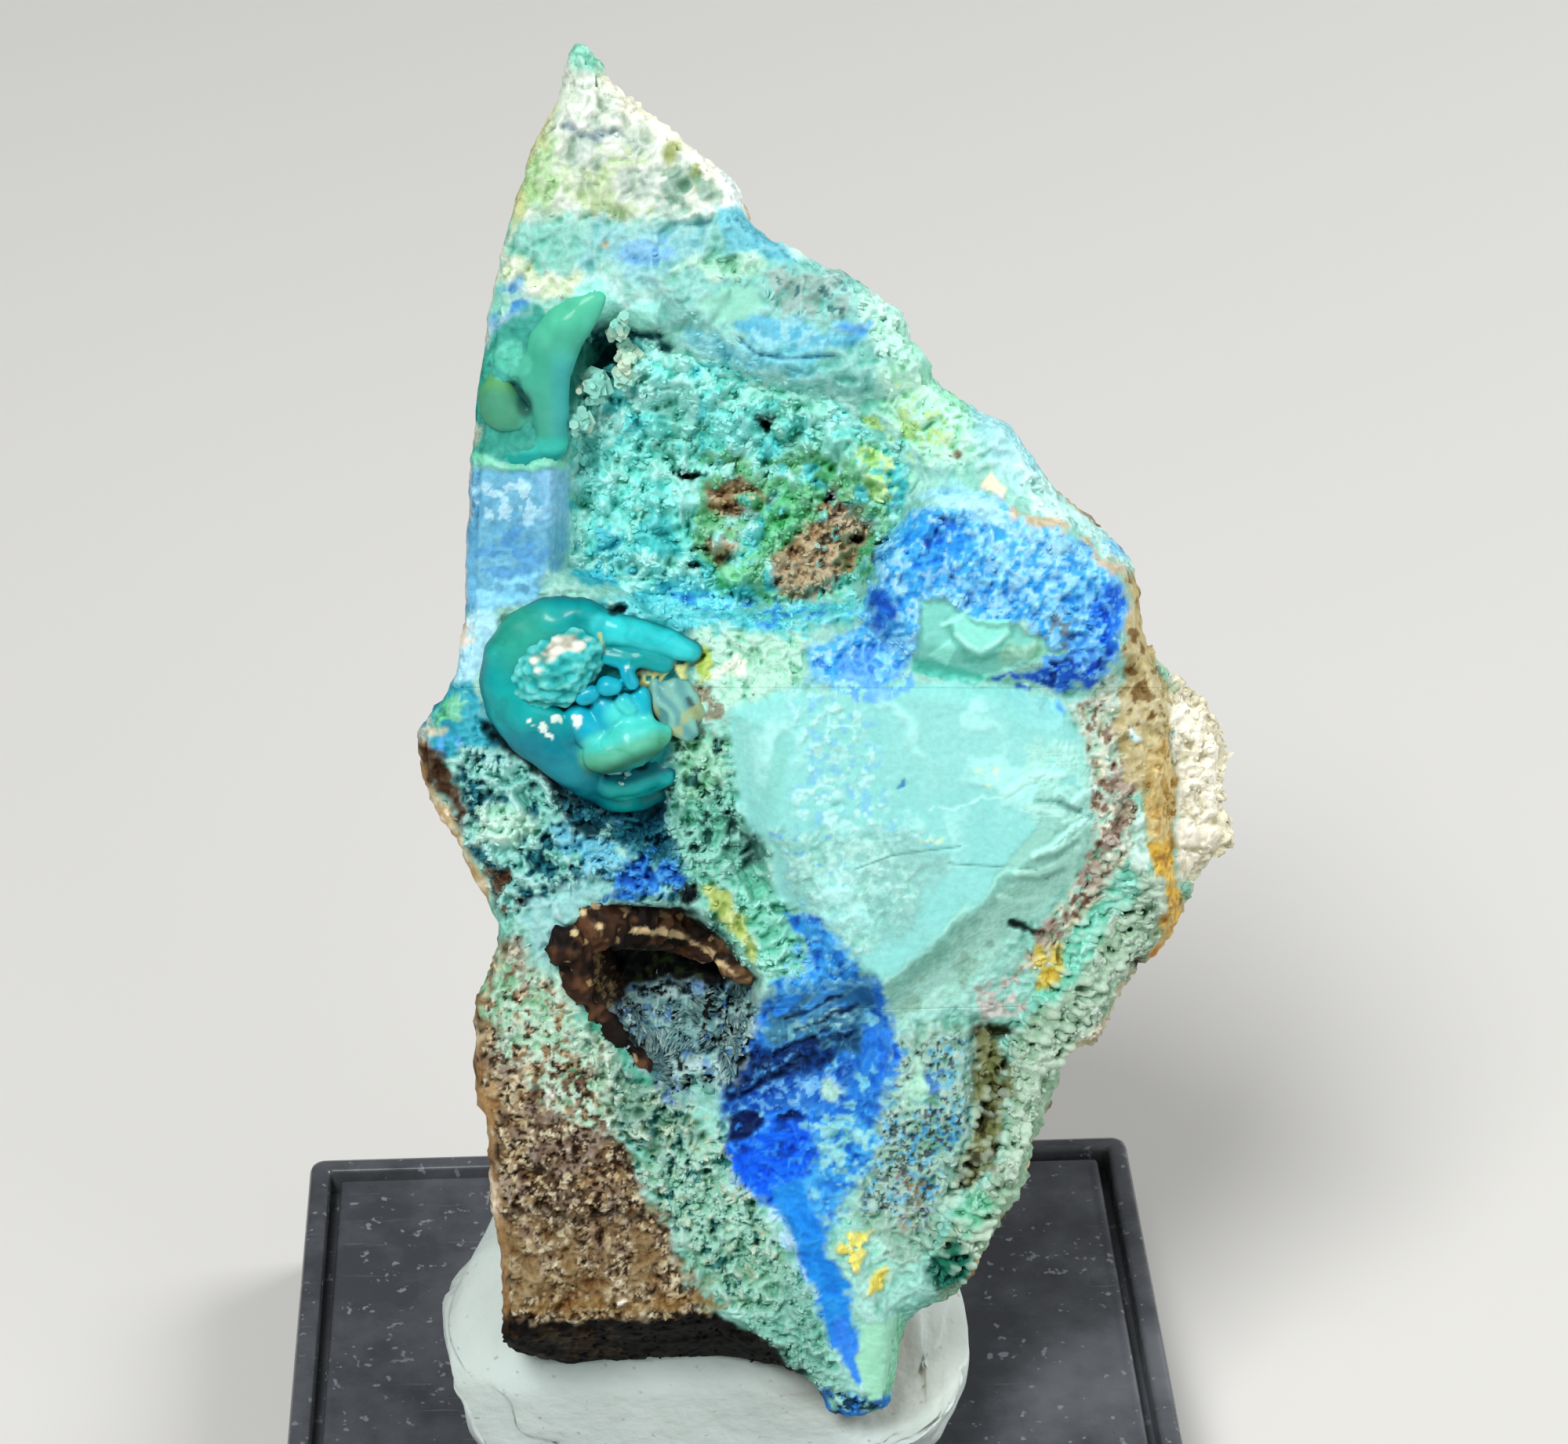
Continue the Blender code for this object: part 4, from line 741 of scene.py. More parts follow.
# Flake edges: light lines are painted highlights on their upper edges, dark sunk lines painted
# shade in the clefts under them.
FLAKE_RIDGES = [  # colour, width, height and path
    ("#ACE8DC", 0.22, 0.12, [(8.8, 22.75), (9.3, 23.1), (9.8, 23.35), (10.6, 23.35)]),
    ("#AEE6DA", 0.24, 0.08, [(9.6, 22.3), (10.1, 22.28), (10.65, 22.1)]),
    ("#B4EEE2", 0.2, 0.16, [(11, 22.4), (11.3, 22.7), (11.75, 22.85), (12.05, 22.65)]),
    ("#B0EEE0", 0.19, 0.2, [(9.75, 20.75), (10.35, 21), (11.1, 21.7), (11.4, 21.87), (11.6, 21.7)]),
    ("#B0EEE0", 0.17, 0.16, [(10.4, 20.9), (11.2, 21.35), (11.35, 21.65)]),
    ("#B0EEDE", 0.13, 0.1, [(10.7, 21.8), (11.2, 22.05)]),
    ("#A8E4D4", 0.2, 0.12, [(9.2, 20.2), (9.9, 20.15), (10.7, 20.5), (11.3, 20.9)]),
    ("#A8E4D4", 0.18, 0.1, [(8.7, 19.4), (9.4, 19.2), (10.1, 19.3)]),
    ("#76B0A0", 0.12, -0.12, [(9.8, 22.5), (10.6, 22.46)]),
    ("#669A8E", 0.15, -0.15, [(10.55, 22.44), (10.9, 22.28), (11.2, 22.17)]),
    ("#76B0A0", 0.16, -0.1, [(9.9, 20.6), (10.5, 20.75), (11.2, 21.2)]),
    ("#76B0A0", 0.16, -0.1, [(9.4, 20), (10, 19.95), (10.8, 20.25)]),
]
for code, width, lift, ridge in FLAKE_RIDGES:
    line("flake ridge", code, 1.2 * width, 0.16, ridge, lift=0.8 * lift, gloss=0.4, crisp=True)
line("break", "#1E3A34", 0.25, 0.15, [(9.1, 18.5), (9.7, 18.3), (10.2, 18.1)], lift=-0.5)

# The right margin: granular band, limonite and the cream crystals' foot.
crust("granular band", "#A8C8B4", 0.35, [(10.8, 25.4), (12.2, 26.6), (12.8, 25), (13, 22.2),
    (12.9, 20.8), (12.4, 19.6), (11, 17.6), (9.6, 17), (10.2, 18.4), (11.6, 19.8), (12, 21),
    (11.7, 22.8), (11.3, 24.3)], grain=0.2)
MARGIN = [(11.2, 25.6), (12.6, 26.2), (13.2, 23), (12.6, 19.6), (10.6, 17.4), (9.4, 16.8),
    (11.8, 21)]
flecks("margin cream", "#C9CDB4", 0.4, 0.3, MARGIN, soft=0.3)
flecks("brown grains", "#7E6450", 0.28, 0.22, MARGIN, soft=0.3)
LIMONITE = [(12.5, 29.6), (13.6, 29.4), (13.6, 27.8), (14, 27), (14.6, 25.6), (14.4, 24),
    (13.3, 22.4), (12.5, 23.2), (12.4, 25.2), (12.5, 27)]
crust("limonite", "#BAAE80", 0.3, LIMONITE, grain=0.13)
flecks("dark grains", "#7C6238", 0.24, 0.3, LIMONITE)
flecks("pink brown", "#A8988A", 0.5, 0.22, [(12.2, 24.6), (12.9, 23), (12.7, 21), (12.1, 19.6),
    (10.6, 18), (9.4, 17), (9.8, 18), (11.4, 20), (12.2, 21.6)], soft=0.25)
crust("ochre", "#C4AC70", 0.3, [(13.4, 24), (14.3, 24.8), (14.5, 22), (14.7, 20), (15.3, 18.8),
    (15.2, 17.4), (14.3, 17), (13.9, 18.6), (13.8, 20.6), (13.3, 22.2)], grain=0.14)
flecks("yellow ochre", "#D4AE48", 0.7, 0.5, [(13.6, 21), (14.4, 21.2), (15, 19.6), (14.9, 18.2),
    (14.1, 18), (13.8, 19.4)], soft=0.4)
flecks("ochre shade", "#A6823E", 0.25, 0.35, [(13.4, 24), (14.3, 24.8), (14.5, 22), (14.7, 20),
    (15.3, 18.8), (14.3, 17), (13.9, 18.6), (13.8, 20.6)])
crust("cream foot", "#E4E0CA", 0.3, [(14.2, 27), (15.4, 26.4), (17.6, 24), (17.6, 20.4),
    (15.8, 20.2), (15.4, 18.9), (14.9, 20), (14.5, 22.4), (14.4, 25)], grain=0.2)
crust("white lump", "#CFEFF0", 0.15, [(12.8, 24.7), (13, 24.95), (13.25, 24.7), (13, 24.45)],
    lift=0.2)
crust("spike", "#BFE0D4", 0.15, [(13.1, 22.4), (13.35, 21.6), (13.6, 20.4), (13.4, 19.7),
    (12.9, 20), (13, 21.4)], lift=0.15, grain=0.1)

# The beaded band at the lower right and the olive groove inside it.
crust("beaded band", "#9AB8A0", 0.4, [(14.2, 20), (14.3, 18.2), (13.8, 16.7), (13.3, 15.6),
    (12.5, 14.1), (11.4, 13.7), (11.2, 12.7), (10.6, 11), (10.1, 9.2), (9.1, 7.5), (8.4, 5.8),
    (7, 5), (6.6, 6.4), (7, 7.4), (8, 9), (9.1, 11), (9.2, 13), (9.4, 14.8), (10.2, 15.8), (11, 17),
    (12, 18.6), (13, 20.2)], grain=0.3)
line("minty line", "#7CCCB6", 0.9, 0.4, [(12.8, 19.6), (11.2, 17.2), (10.4, 16.1)])
crust("low beads", "#74C2A0", 0.5, [(7.4, 8.6), (8.2, 9.4), (8.9, 8.8), (8.2, 7.8)])
crust("foot pit", "#1F6F5C", 0.5, [(6.5, 6.9), (7.8, 7.6), (8.2, 6.6), (7.4, 5.6), (6.6, 5.8)],
    lift=-0.3)
line("grey edge", "#BDB79C", 0.5, 0.3, [(13.3, 16.4), (12.5, 14.9), (11.4, 14)])
crust("orange notch", "#B9812E", 0.3, [(14, 17.6), (14.5, 17.6), (14.5, 17.1), (14, 17)])
crust("black notch", "#2A2018", 0.2, [(13.2, 17.1), (13.6, 17.2), (13.8, 16.8), (13.4, 16.8)],
    lift=-0.3)
GROOVE = [(8, 14.9), (8.6, 15), (9.3, 14.2), (9.1, 12.4), (9, 10.6), (8, 9.4), (7.2, 9),
    (7.8, 10.6), (7.9, 12.6)]
crust("olive groove", "#6E7448", 0.5, GROOVE, grain=0.15)
flecks("groove dark", "#3A3A1E", 0.3, 0.35, GROOVE, lift=-0.2)
crust("groove notch", "#2B3216", 0.3, [(8.5, 14.9), (9.3, 15.1), (9.6, 14.8), (9.1, 14.4)],
    lift=-0.5)
flecks("yellow ochre", "#CDB84E", 0.75, 0.35, [(9.8, 17.6), (10.8, 17.8), (11, 17.2), (10.6, 16.2),
    (10, 16.3)], soft=0.3, grain=0.16)
flecks("grey lilac", "#B4B4AC", 0.7, 0.3, [(8, 16.4), (9.4, 16.8), (9.8, 15.6), (8.4, 15.2)],
    grain=0.14)

# The speckled field between the groove and the blue.
crust("speckled field", "#8CB8A6", 0.5, [(4.6, 14.6), (6.4, 15), (8, 15), (8, 12), (7.6, 9.6),
    (6.8, 7.4), (5.6, 6.6), (4.2, 8.4), (4.4, 10.6), (5.2, 12.6)], grain=0.16)
FIELD = [(4.8, 14.4), (7.8, 14.6), (7.8, 11), (6.4, 8), (4.4, 8.8), (5.2, 12)]
flecks("field blue", "#5AA8CC", 0.3, 0.16, FIELD, haze=0.35)
flecks("field dark", "#4A5A5A", 0.2, 0.14, FIELD, lift=-0.1)
flecks("field brown", "#8A7E66", 0.4, 0.13, [(5.4, 10), (6.6, 9.8), (6.6, 8), (5.6, 8)], haze=0.3,
    soft=0.4)
flecks("mint chip", "#A3D8C0", 0.9, 0.4, [(5.4, 13.7), (6.2, 14), (6.7, 13.5), (6.7, 12.7),
    (6.1, 12.3), (5.5, 12.7)], grain=0.06, gloss=0.3, soft=0.4)
flecks("chip blue", "#3A6FB0", 0.6, 0.25, [(6.5, 13.6), (7.1, 13.6), (7.1, 12.8), (6.6, 12.8)])
flecks("yellow lumps", "#E3DA66", 0.85, 0.3, [(3.5, 7.6), (4, 8.2), (4.6, 8), (4.5, 7.2), (4, 6.8)],
    soft=0.2, lift=0.2, grain=0.12)
crust("yellow lumps", "#E0CF55", 0.2, [(4.6, 6.6), (5.1, 6.9), (5, 6), (4.5, 5.9)], lift=0.15)
crust("aqua bit", "#9BD8C8", 0.2, [(4.5, 7.6), (5, 7.7), (5.1, 7.1), (4.6, 7.1)])
crust("brown spot", "#7A6A4A", 0.12, [(3.6, 10.9), (3.8, 11.05), (4, 10.9), (3.8, 10.75)])

# The lower blue: ridge, plates, the navy trough and the bright blue.
BLUE_GROUND = [(-0.4, 14.4), (1.2, 16), (4.8, 16.7), (5.4, 14.9), (5, 13.2), (4.9, 11), (3.6, 8.6),
    (1.2, 8.8), (-0.2, 10.8), (-0.4, 12.6)]
crust("blue ground", "#2070CC", 0.5, BLUE_GROUND, grain=0.1)
flecks("pale patches", "#6FC0DC", 0.25, 0.4, BLUE_GROUND, soft=0.5)
crust("blue ridge", "#2C8CDE", 0.3, [(1.8, 18.8), (2.8, 18.8), (3.4, 18), (4.2, 17.2), (4.4, 16.6),
    (3.2, 16.2), (1.6, 15.8), (1.4, 16.4), (2.6, 17), (2.6, 17.8)], grain=0.12)
flecks("ridge grains", "#62B6EA", 0.38, 0.22, [(2.4, 18), (3.8, 18), (4.3, 16.7), (2.8, 16),
    (1.6, 16)])
flecks("ridge shade", "#1C68C4", 0.4, 0.35, [(2, 18.9), (2.9, 18.9), (4, 17), (3.2, 16.6)])
crust("plates", "#3C7A98", 0.3, [(1.2, 15.6), (2.4, 16.1), (4.5, 16.5), (4.5, 15.4), (4.2, 14.1),
    (2.8, 14.1), (1, 14.2)], grain=0.1)
flecks("plate grains", "#7CB8C2", 0.4, 0.2, [(1.3, 14.3), (1.6, 15), (3.7, 15.7), (4.3, 15.3),
    (3.1, 14.6)])
flecks("steel plate", "#17466C", 0.75, 0.35, [(3.1, 15), (4.3, 15.3), (4.2, 14), (2.8, 14)],
    soft=0.3)
PLATES = [
    ("#2C84DC", [(1.35, 15.6), (1.8, 16), (2.3, 16.1), (2.4, 15.85), (1.5, 15.3)]),
    ("#3C94D8", [(2.3, 15.7), (3, 16.25), (3.75, 16.3), (3.4, 15.85), (2.2, 15.2)]),
    ("#1C5C90", [(3.4, 15.75), (4.2, 16.5), (4.5, 16.5), (4.55, 15.9), (3.7, 15.4)]),
]
for code, plate in PLATES:
    crust("plate", code, 0.12, plate, lift=0.15, grain=0.04, gloss=0.3)
crust("navy trough", "#062C6E", 0.35, [(-0.3, 13.4), (0.7, 14.1), (2.8, 14.5), (3.4, 14),
    (2.9, 13.4), (1.8, 12.6), (-0.3, 12.3)], grain=0.12, lift=-0.1)
flecks("navy dark", "#06204F", 0.4, 0.3, [(-0.3, 13.4), (0.7, 14.1), (2.8, 14.5), (3.4, 14),
    (1.8, 12.6), (-0.3, 12.3)], lift=-0.1)
crust("trough foot", "#1E60B8", 0.3, [(1.8, 13.3), (4, 13.7), (3.8, 12.6), (1.4, 11.95),
    (-0.3, 12.3), (-0.2, 12.6)], grain=0.12)
flecks("foot grains", "#5CA2DA", 0.33, 0.2, [(0.6, 12.9), (4, 13.7), (3.8, 12.6), (1.4, 11.9),
    (-0.2, 12.1)])
TROUGH_LINES = [  # u, v and length
    (0.6, 13.1, 2.2), (-0.1, 12.7, 1.8), (1.2, 13.9, 2), (2.2, 14.9, 2), (1.7, 15.25, 1.9),
    (3, 14.3, 1.2),
]
for u, v, length in TROUGH_LINES:
    line("trough line", "#05204C", 0.12, 0.14, [(u, v), (u + length / 2, v + 0.16 * length),
        (u + length, v + 0.4 * length)], lift=-0.15)
    line("trough light", "#3C80C0", 0.1, 0.12, [(u, v + 0.2),
        (u + length * 0.8, v + 0.2 + 0.32 * length)], lift=0.08, cover=0.7, size=0.3)
flecks("right blue", "#2A7ADA", 0.8, 0.35, [(4.4, 14.9), (5.4, 14.9), (5.6, 13.6), (5, 13.2),
    (4.4, 13.8)], soft=0.3)
crust("bright blue", "#0A5AE4", 0.4, [(0, 11.4), (1.2, 11.8), (2.2, 11.8), (2.9, 10.8), (2.6, 10.2),
    (2.2, 9.6), (1.4, 9.1), (0.6, 9.2), (0, 10.2), (-0.2, 11)], grain=0.08)
flecks("cobalt grains", "#0840A8", 0.2, 0.4, [(0, 12), (2.8, 12), (2.8, 9), (0, 9)], lift=-0.04)
flecks("azure grains", "#2A80EA", 0.2, 0.25, [(-0.2, 12), (3.6, 12.2), (3, 8.6), (0, 9)], haze=0.4)
flecks("blue wedge", "#05184A", 0.88, 0.4, [(-0.3, 12), (1.9, 11.95), (2.3, 11.8), (1, 11.6),
    (0.4, 11.2), (-0.2, 11.2)], lift=-0.25, soft=0.2)
flecks("azure", "#3898DE", 0.75, 0.4, [(2.8, 11.6), (4.6, 12.4), (5, 11), (4, 10.2), (3.6, 9),
    (3.2, 8), (2.2, 8.4), (1.2, 8.8), (2.6, 10)], haze=0.5, grain=0.1, soft=0.35)
flecks("pale aqua", "#84CCD4", 0.42, 0.26, [(2.6, 11.9), (4.8, 12.4), (5, 10.8), (4, 9.6), (3, 10)],
    haze=0.4)
crust("mint inset", "#9CCFC0", 0.2, [(2.8, 13.1), (3.3, 13.4), (3.7, 13), (3.3, 12.6), (2.8, 12.7)],
    lift=0.15, gloss=0.3)
line("stripe", "#1A80DA", 1.1, 0.3, [(2, 9.2), (2.8, 7.4), (3.4, 5.8), (3.8, 4.6)], grain=0.06,
    gloss=0.2)
line("stripe foot", "#2F80E8", 0.6, 0.2, [(3.7, 5), (4, 4), (4.2, 3.1)], grain=0.04)
line("fringe", "#A8D4F0", 0.4, 0.2, [(1.4, 8.6), (2.2, 7.2), (2.8, 5.8)], cover=0.4, size=0.25)

# The lower tip.
crust("green crust", "#74B4A0", 0.4, [(0.2, 5.8), (1.4, 6.6), (2.2, 7), (3, 5.2), (3.6, 3.4),
    (3.4, 2.2), (2.2, 2.2), (1.2, 4)], grain=0.24)
LOW_TIP = [(2.8, 2.5), (5.8, 2.3), (5.6, 0.8), (4.4, 0.6), (3, 0.8)]
flecks("foot blue", "#3486D6", 0.7, 0.35, LOW_TIP, grain=0.15, soft=0.3)
flecks("foot dark", "#123A5A", 0.3, 0.3, LOW_TIP, lift=-0.15)
crust("chip", "#96D8B8", 0.25, [(4.4, 5), (5.8, 5), (6, 3), (5.7, 2.1), (4.6, 2.1), (4.2, 3.4)],
    grain=0.02, gloss=0.5)

# The teal crust at the bottom's middle.
crust("teal crust", "#8CC2AC", 0.5, [(-3.4, 10.6), (-1.6, 11.4), (-0.4, 11.4), (0.2, 9.6),
    (1.4, 8.4), (2.2, 6.6), (1.4, 5.4), (0.2, 5.2), (-1.2, 6.6), (-2.2, 8.4)], grain=0.27)
crust("upper teal", "#74A08C", 0.5, [(-5.6, 14.8), (-3.4, 15.8), (-2.4, 13.6), (-1.4, 12.4),
    (-0.6, 11.4), (-2.6, 10.8), (-3.6, 11.6), (-4.6, 13)], grain=0.25)
TEAL_BAND = [(-5.6, 14.8), (-3.4, 15.8), (-0.4, 11.6), (1.8, 7), (0.2, 5.4), (-2, 8.2), (-3.6, 11)]
flecks("teal cream", "#A8C4A8", 0.25, 0.25, TEAL_BAND)
flecks("teal shade", "#2E766E", 0.18, 0.28, TEAL_BAND, lift=-0.2)
line("green line", "#4FA98C", 0.5, 0.3, [(-5.3, 17.2), (-4.6, 15.8), (-3.6, 14.4), (-2.6, 13.2)],
    grain=0.12)

# The brown block of matrix at the lower left.
BROWN_BLOCK = [(-9, 17.8), (-6.8, 17.8), (-5.6, 16.4), (-5.2, 14.6), (-4.2, 12.8), (-3.4, 11),
    (-2.8, 9.2), (-2, 7.4), (-0.4, 4.6), (-9, 3.4)]
crust("brown block", "#8E7858", 0.6, BROWN_BLOCK, grain=0.15)
flecks("dark patches", "#5A4630", 0.34, 1, BROWN_BLOCK, lift=-0.08, soft=0.6)
flecks("cream grains", "#C6BA98", 0.36, 0.13, BROWN_BLOCK, soft=0.6)
flecks("mauve", "#7E6A5A", 0.35, 0.5, [(-8, 14), (-4.4, 14), (-2.8, 10), (-2.6, 6.8), (-8, 6.8)],
    haze=0.6, soft=1.6)
flecks("dark grains", "#2C1E12", 0.33, 0.14, BROWN_BLOCK, lift=-0.08, soft=0.6)
line("dark line", "#1E1408", 0.25, 0.3, [(-7.6, 8.6), (-6.4, 8.9), (-5.2, 8.5), (-4, 8.9),
    (-3, 8.5)], lift=-0.12)
flecks("low block", "#846C48", 0.45, 0.6, [(-8, 8.2), (-2.4, 8.2), (-1.2, 5.6), (-8, 5.2)],
    haze=0.6, soft=1.8)
flecks("mint granules", "#B4D4BC", 0.42, 0.2, [(-8, 17.6), (-5.4, 17), (-4, 14.2), (-3.4, 11.6),
    (-5, 11.6), (-7.4, 14)], haze=0.25, soft=0.8)
flecks("pink grey", "#9C9484", 0.6, 0.4, [(-7.6, 17.5), (-6.4, 17.5), (-6.2, 16.4), (-7.6, 16.4)])
flecks("green flecks", "#9CC8AA", 0.38, 0.3, [(-7.6, 17.2), (-5.4, 16.8), (-4.8, 14.6),
    (-6.4, 14.2), (-8.2, 15.6)])
crust("white chip", "#E3E9DC", 0.15, [(-6.2, 12.7), (-5.9, 12.9), (-5.7, 12.6), (-6, 12.3)],
    lift=0.1)
line("ochre edge", "#A08258", 0.6, 0.3, [(-8.2, 13.5), (-8.1, 10), (-7.9, 7), (-7.9, 4.6)],
    cover=0.8, size=0.4)
line("pale strip", "#E3D8C4", 0.25, 0.2, [(-8.25, 11.2), (-8, 9.4), (-7.9, 7)])
line("bottom ledge", "#8E7244", 0.4, 0.4, [(-7.6, 5.2), (-4.4, 5.5), (-1.6, 5.6), (-0.4, 5.5)],
    cover=0.7, size=0.4)
crust("glint", "#E8E0D0", 0.12, [(-3.75, 5.7), (-3.6, 5.85), (-3.45, 5.7), (-3.6, 5.55)], gloss=0.6)
# The undercut painted near-black and dark brown: painted shade under the block's overhang.
crust("undercut", "#080503", 0.35, [(-8.4, 4.7), (-4.5, 4.95), (-0.4, 5.15), (0.8, 4.5), (1.6, 3.8),
    (2.4, 2.6), (2, 1), (-8.4, 1)], grain=0.12)
flecks("undercut warm", "#2A1C0E", 0.3, 0.4, [(-8.2, 4.6), (-4, 4.8), (-3.6, 3), (-8.2, 2.4)])

# The pocket's floor and wall: black on the floor, painted shade, and dark brown on the wall, partly
# its own brown and partly painted shade.
crust("pocket wall", "#2A1E14", 0.25, [(-5.4, 17.8), (-4.9, 16.4), (-4.2, 15.4), (-3.4, 14.4),
    (-2.6, 13.5), (-2.2, 14.2), (-3.2, 16), (-3.8, 18)], grain=0.14)
flecks("wall crumbs", "#8C7450", 0.3, 0.25, [(-5.2, 17.4), (-4.8, 16.4), (-3.2, 14.4), (-2.7, 14.4),
    (-4.2, 17.4)])
crust("pocket floor", "#0B0D0E", 0.5, [(-4.6, 18.4), (-3.6, 19.2), (-1.4, 19), (-0.2, 18),
    (0.8, 16.6), (0.3, 15), (-2, 12.8), (-3.4, 15.4)])
flecks("pocket olive", "#2E3A1C", 0.3, 0.35, [(-3.4, 17.6), (-0.8, 17.2), (-1, 16.3), (-3.2, 16.3)])
TUFTS = [(-3.8, 16), (-2.5, 16.4), (0.6, 16.2), (0.8, 14.9), (0.1, 13.2), (-1.9, 12.5),
    (-2.9, 13.8), (-3.8, 14.9)]
flecks("tufts", "#90BAB8", 0.78, 0.4, TUFTS, grain=0.22, soft=0.4)
flecks("blue tufts", "#6490BC", 0.25, 0.35, TUFTS)
# Painted shade between the tufts.
flecks("tuft gaps", "#0C1A20", 0.24, 0.3, TUFTS, lift=-0.3)


def colour(code):
    return np.array(linear(code)[:3])


def coat(points, code):
    """One colour at every point."""
    return np.tile(colour(code), (len(points), 1))


def blend(first, second, share):
    return first + (second - first) * share[:, None]


def stain(tint, code, share):
    return blend(tint, colour(code), share)


def on_face(points):
    """The points with part of the face's depth, so that its steps draw no pattern out."""
    return np.c_[points, 0.4 * (front(points) - FACE_SLOPE * points[:, 1])]


PLAIN_GRAIN = 0.1  # mm, where no layer says more
PLAIN_GLOSS = 0.12


def paint(points):
    """Colour, lift, grain and gloss of the face at points in u and v."""
    faced = on_face(points)
    warped = points.copy()
    for size, reach, seed in ((1.3, 0.24, 11), (0.42, 0.13, 13)):
        for axis in (0, 1):
            warped[:, axis] += reach * noise(faced, size, seed + axis, 2)
    tint = coat(points, "#8FCDBE")
    lift, grain = np.zeros(len(points)), np.full(len(points), PLAIN_GRAIN)
    gloss = np.full(len(points), PLAIN_GLOSS)
    ragged = noise(faced, 0.3, 15, 2) * 1.5
    for number, (code, shape, given) in enumerate(LAYERS):
        width, soft, cover, size = (given[key] for key in ("width", "soft", "cover", "size"))
        margin = 0.6 + soft + width / 2
        low = np.min(shape, axis=0) - margin
        high = np.max(shape, axis=0) + margin
        here = np.flatnonzero(np.all((points > low) & (points < high), axis=1))
        if len(here) == 0:
            continue
        spots = points[here] if given["crisp"] else warped[here]
        if width:
            inside = width / 2 - edge_distance(spots, shape, closed=False)
        else:
            inside = edge_distance(spots, shape)
        if not given["crisp"]:
            inside = inside + 0.3 * soft * ragged[here]
        share = smooth_step(inside / soft + 0.5)
        if cover < 1.0:
            patches = noise(faced[here], size, 200 + number, 3)
            haze = given.get("haze", 0.14 if size < 0.35 else 0.22)
            share = share * smooth_step((patches - (0.5 - cover)) / haze + 0.5)
        tint[here] = stain(tint[here], code, share)
        lift[here] += given["lift"] * share
        if "flake" in given:
            steps = noise(points[here], 0.9, 300 + number, 2) * 4 + points[here] @ (0.7, 1.1)
            lift[here] += given["flake"] * (steps - np.floor(steps) - 0.5) * share
        if "grain" in given:
            grain[here] += (given["grain"] - grain[here]) * share
        if "gloss" in given or "grain" in given:
            gloss[here] += (given.get("gloss", PLAIN_GLOSS) - gloss[here]) * share
    return tint, lift, grain, gloss


def shaded(tint, level):
    """The colours darker or lighter: a darker one keeps its strongest part longest."""
    strongest = np.max(tint, axis=1, keepdims=True) + 1e-6
    return tint * np.clip(level, 0.02, 1.5)[:, None] ** (2.0 - 1.3 * tint / strongest)


def ridged(points, size, seed):
    """Sharp-topped ridges, up to 1, with broad hollows between them."""
    return 1.0 - 2.4 * np.abs(noise(points, size, seed, 2))


def crusted(points, painted, seed=71):
    """Height over the bare face, colour and gloss once the crumpled crust is on it, with painted
    shade in its hollows and painted highlights on its tops.
    """
    tint, lift, grain, gloss = painted
    warped = on_face(points)
    warped[:, :2] += 0.22 * np.stack([noise(warped, 0.6, seed + k, 2) for k in (0, 1)], axis=1)
    folds = ridged(warped, 0.9, seed + 2)
    frills = ridged(warped, 0.42, seed + 3)
    frost = ridged(warped, 0.2, seed + 4)
    dome = 1.0 - 1.5 * grains(warped, 0.3, seed + 5)[0] ** 2
    height = lift + grain * (0.65 * folds + 0.75 * frills + 0.5 * frost + 0.6 * dome - 0.5)
    height += 0.5 * grain * noise(points, 2.2, seed + 6, 2)
    coarse = np.clip(grain / 0.15, 0.0, 1.2)
    # Painted shade and light: the colour follows the relief, darker low and lighter high.
    top = 0.28 * folds + 0.34 * frills + 0.24 * frost + 0.26 * dome
    level = 1.04 + coarse * np.clip(0.8 * (top - 0.24), -0.55, 0.12)
    level += 0.08 * noise(points, 1.1, seed + 7, 2) * (1.0 - 0.7 * (gloss > 0.3))
    tint = shaded(tint, level)
    # Painted highlights on the crust's tops.
    tint = blend(tint, tint ** 0.65, 0.5 * coarse * smooth_step((top - 0.4) / 0.35))
    return height, tint, gloss


def point_values(mesh, name, values):
    """Keep one number for each point of the mesh, for its material or for the grains."""
    kept = mesh.attributes.new(name, "FLOAT", "POINT")
    kept.data.foreach_set("value", values.astype(np.float32))


def paint_mesh(mesh, tint, gloss):
    """Give each point its colour and gloss; gloss may be one number for all."""
    colours = np.c_[np.clip(tint, 0.0, 1.0), np.ones(len(tint))].astype(np.float32)
    mesh.attributes.new("tint", "FLOAT_COLOR", "POINT").data.foreach_set("color", colours.ravel())
    point_values(mesh, "gloss", np.full(len(tint), gloss) if np.isscalar(gloss) else gloss)


def placed(points):
    """Points of the stone's frame, mm, in the world, metres."""
    return (np.c_[points * MM, np.ones(len(points))] @ np.array(STONE_FRAME).T)[:, :3]


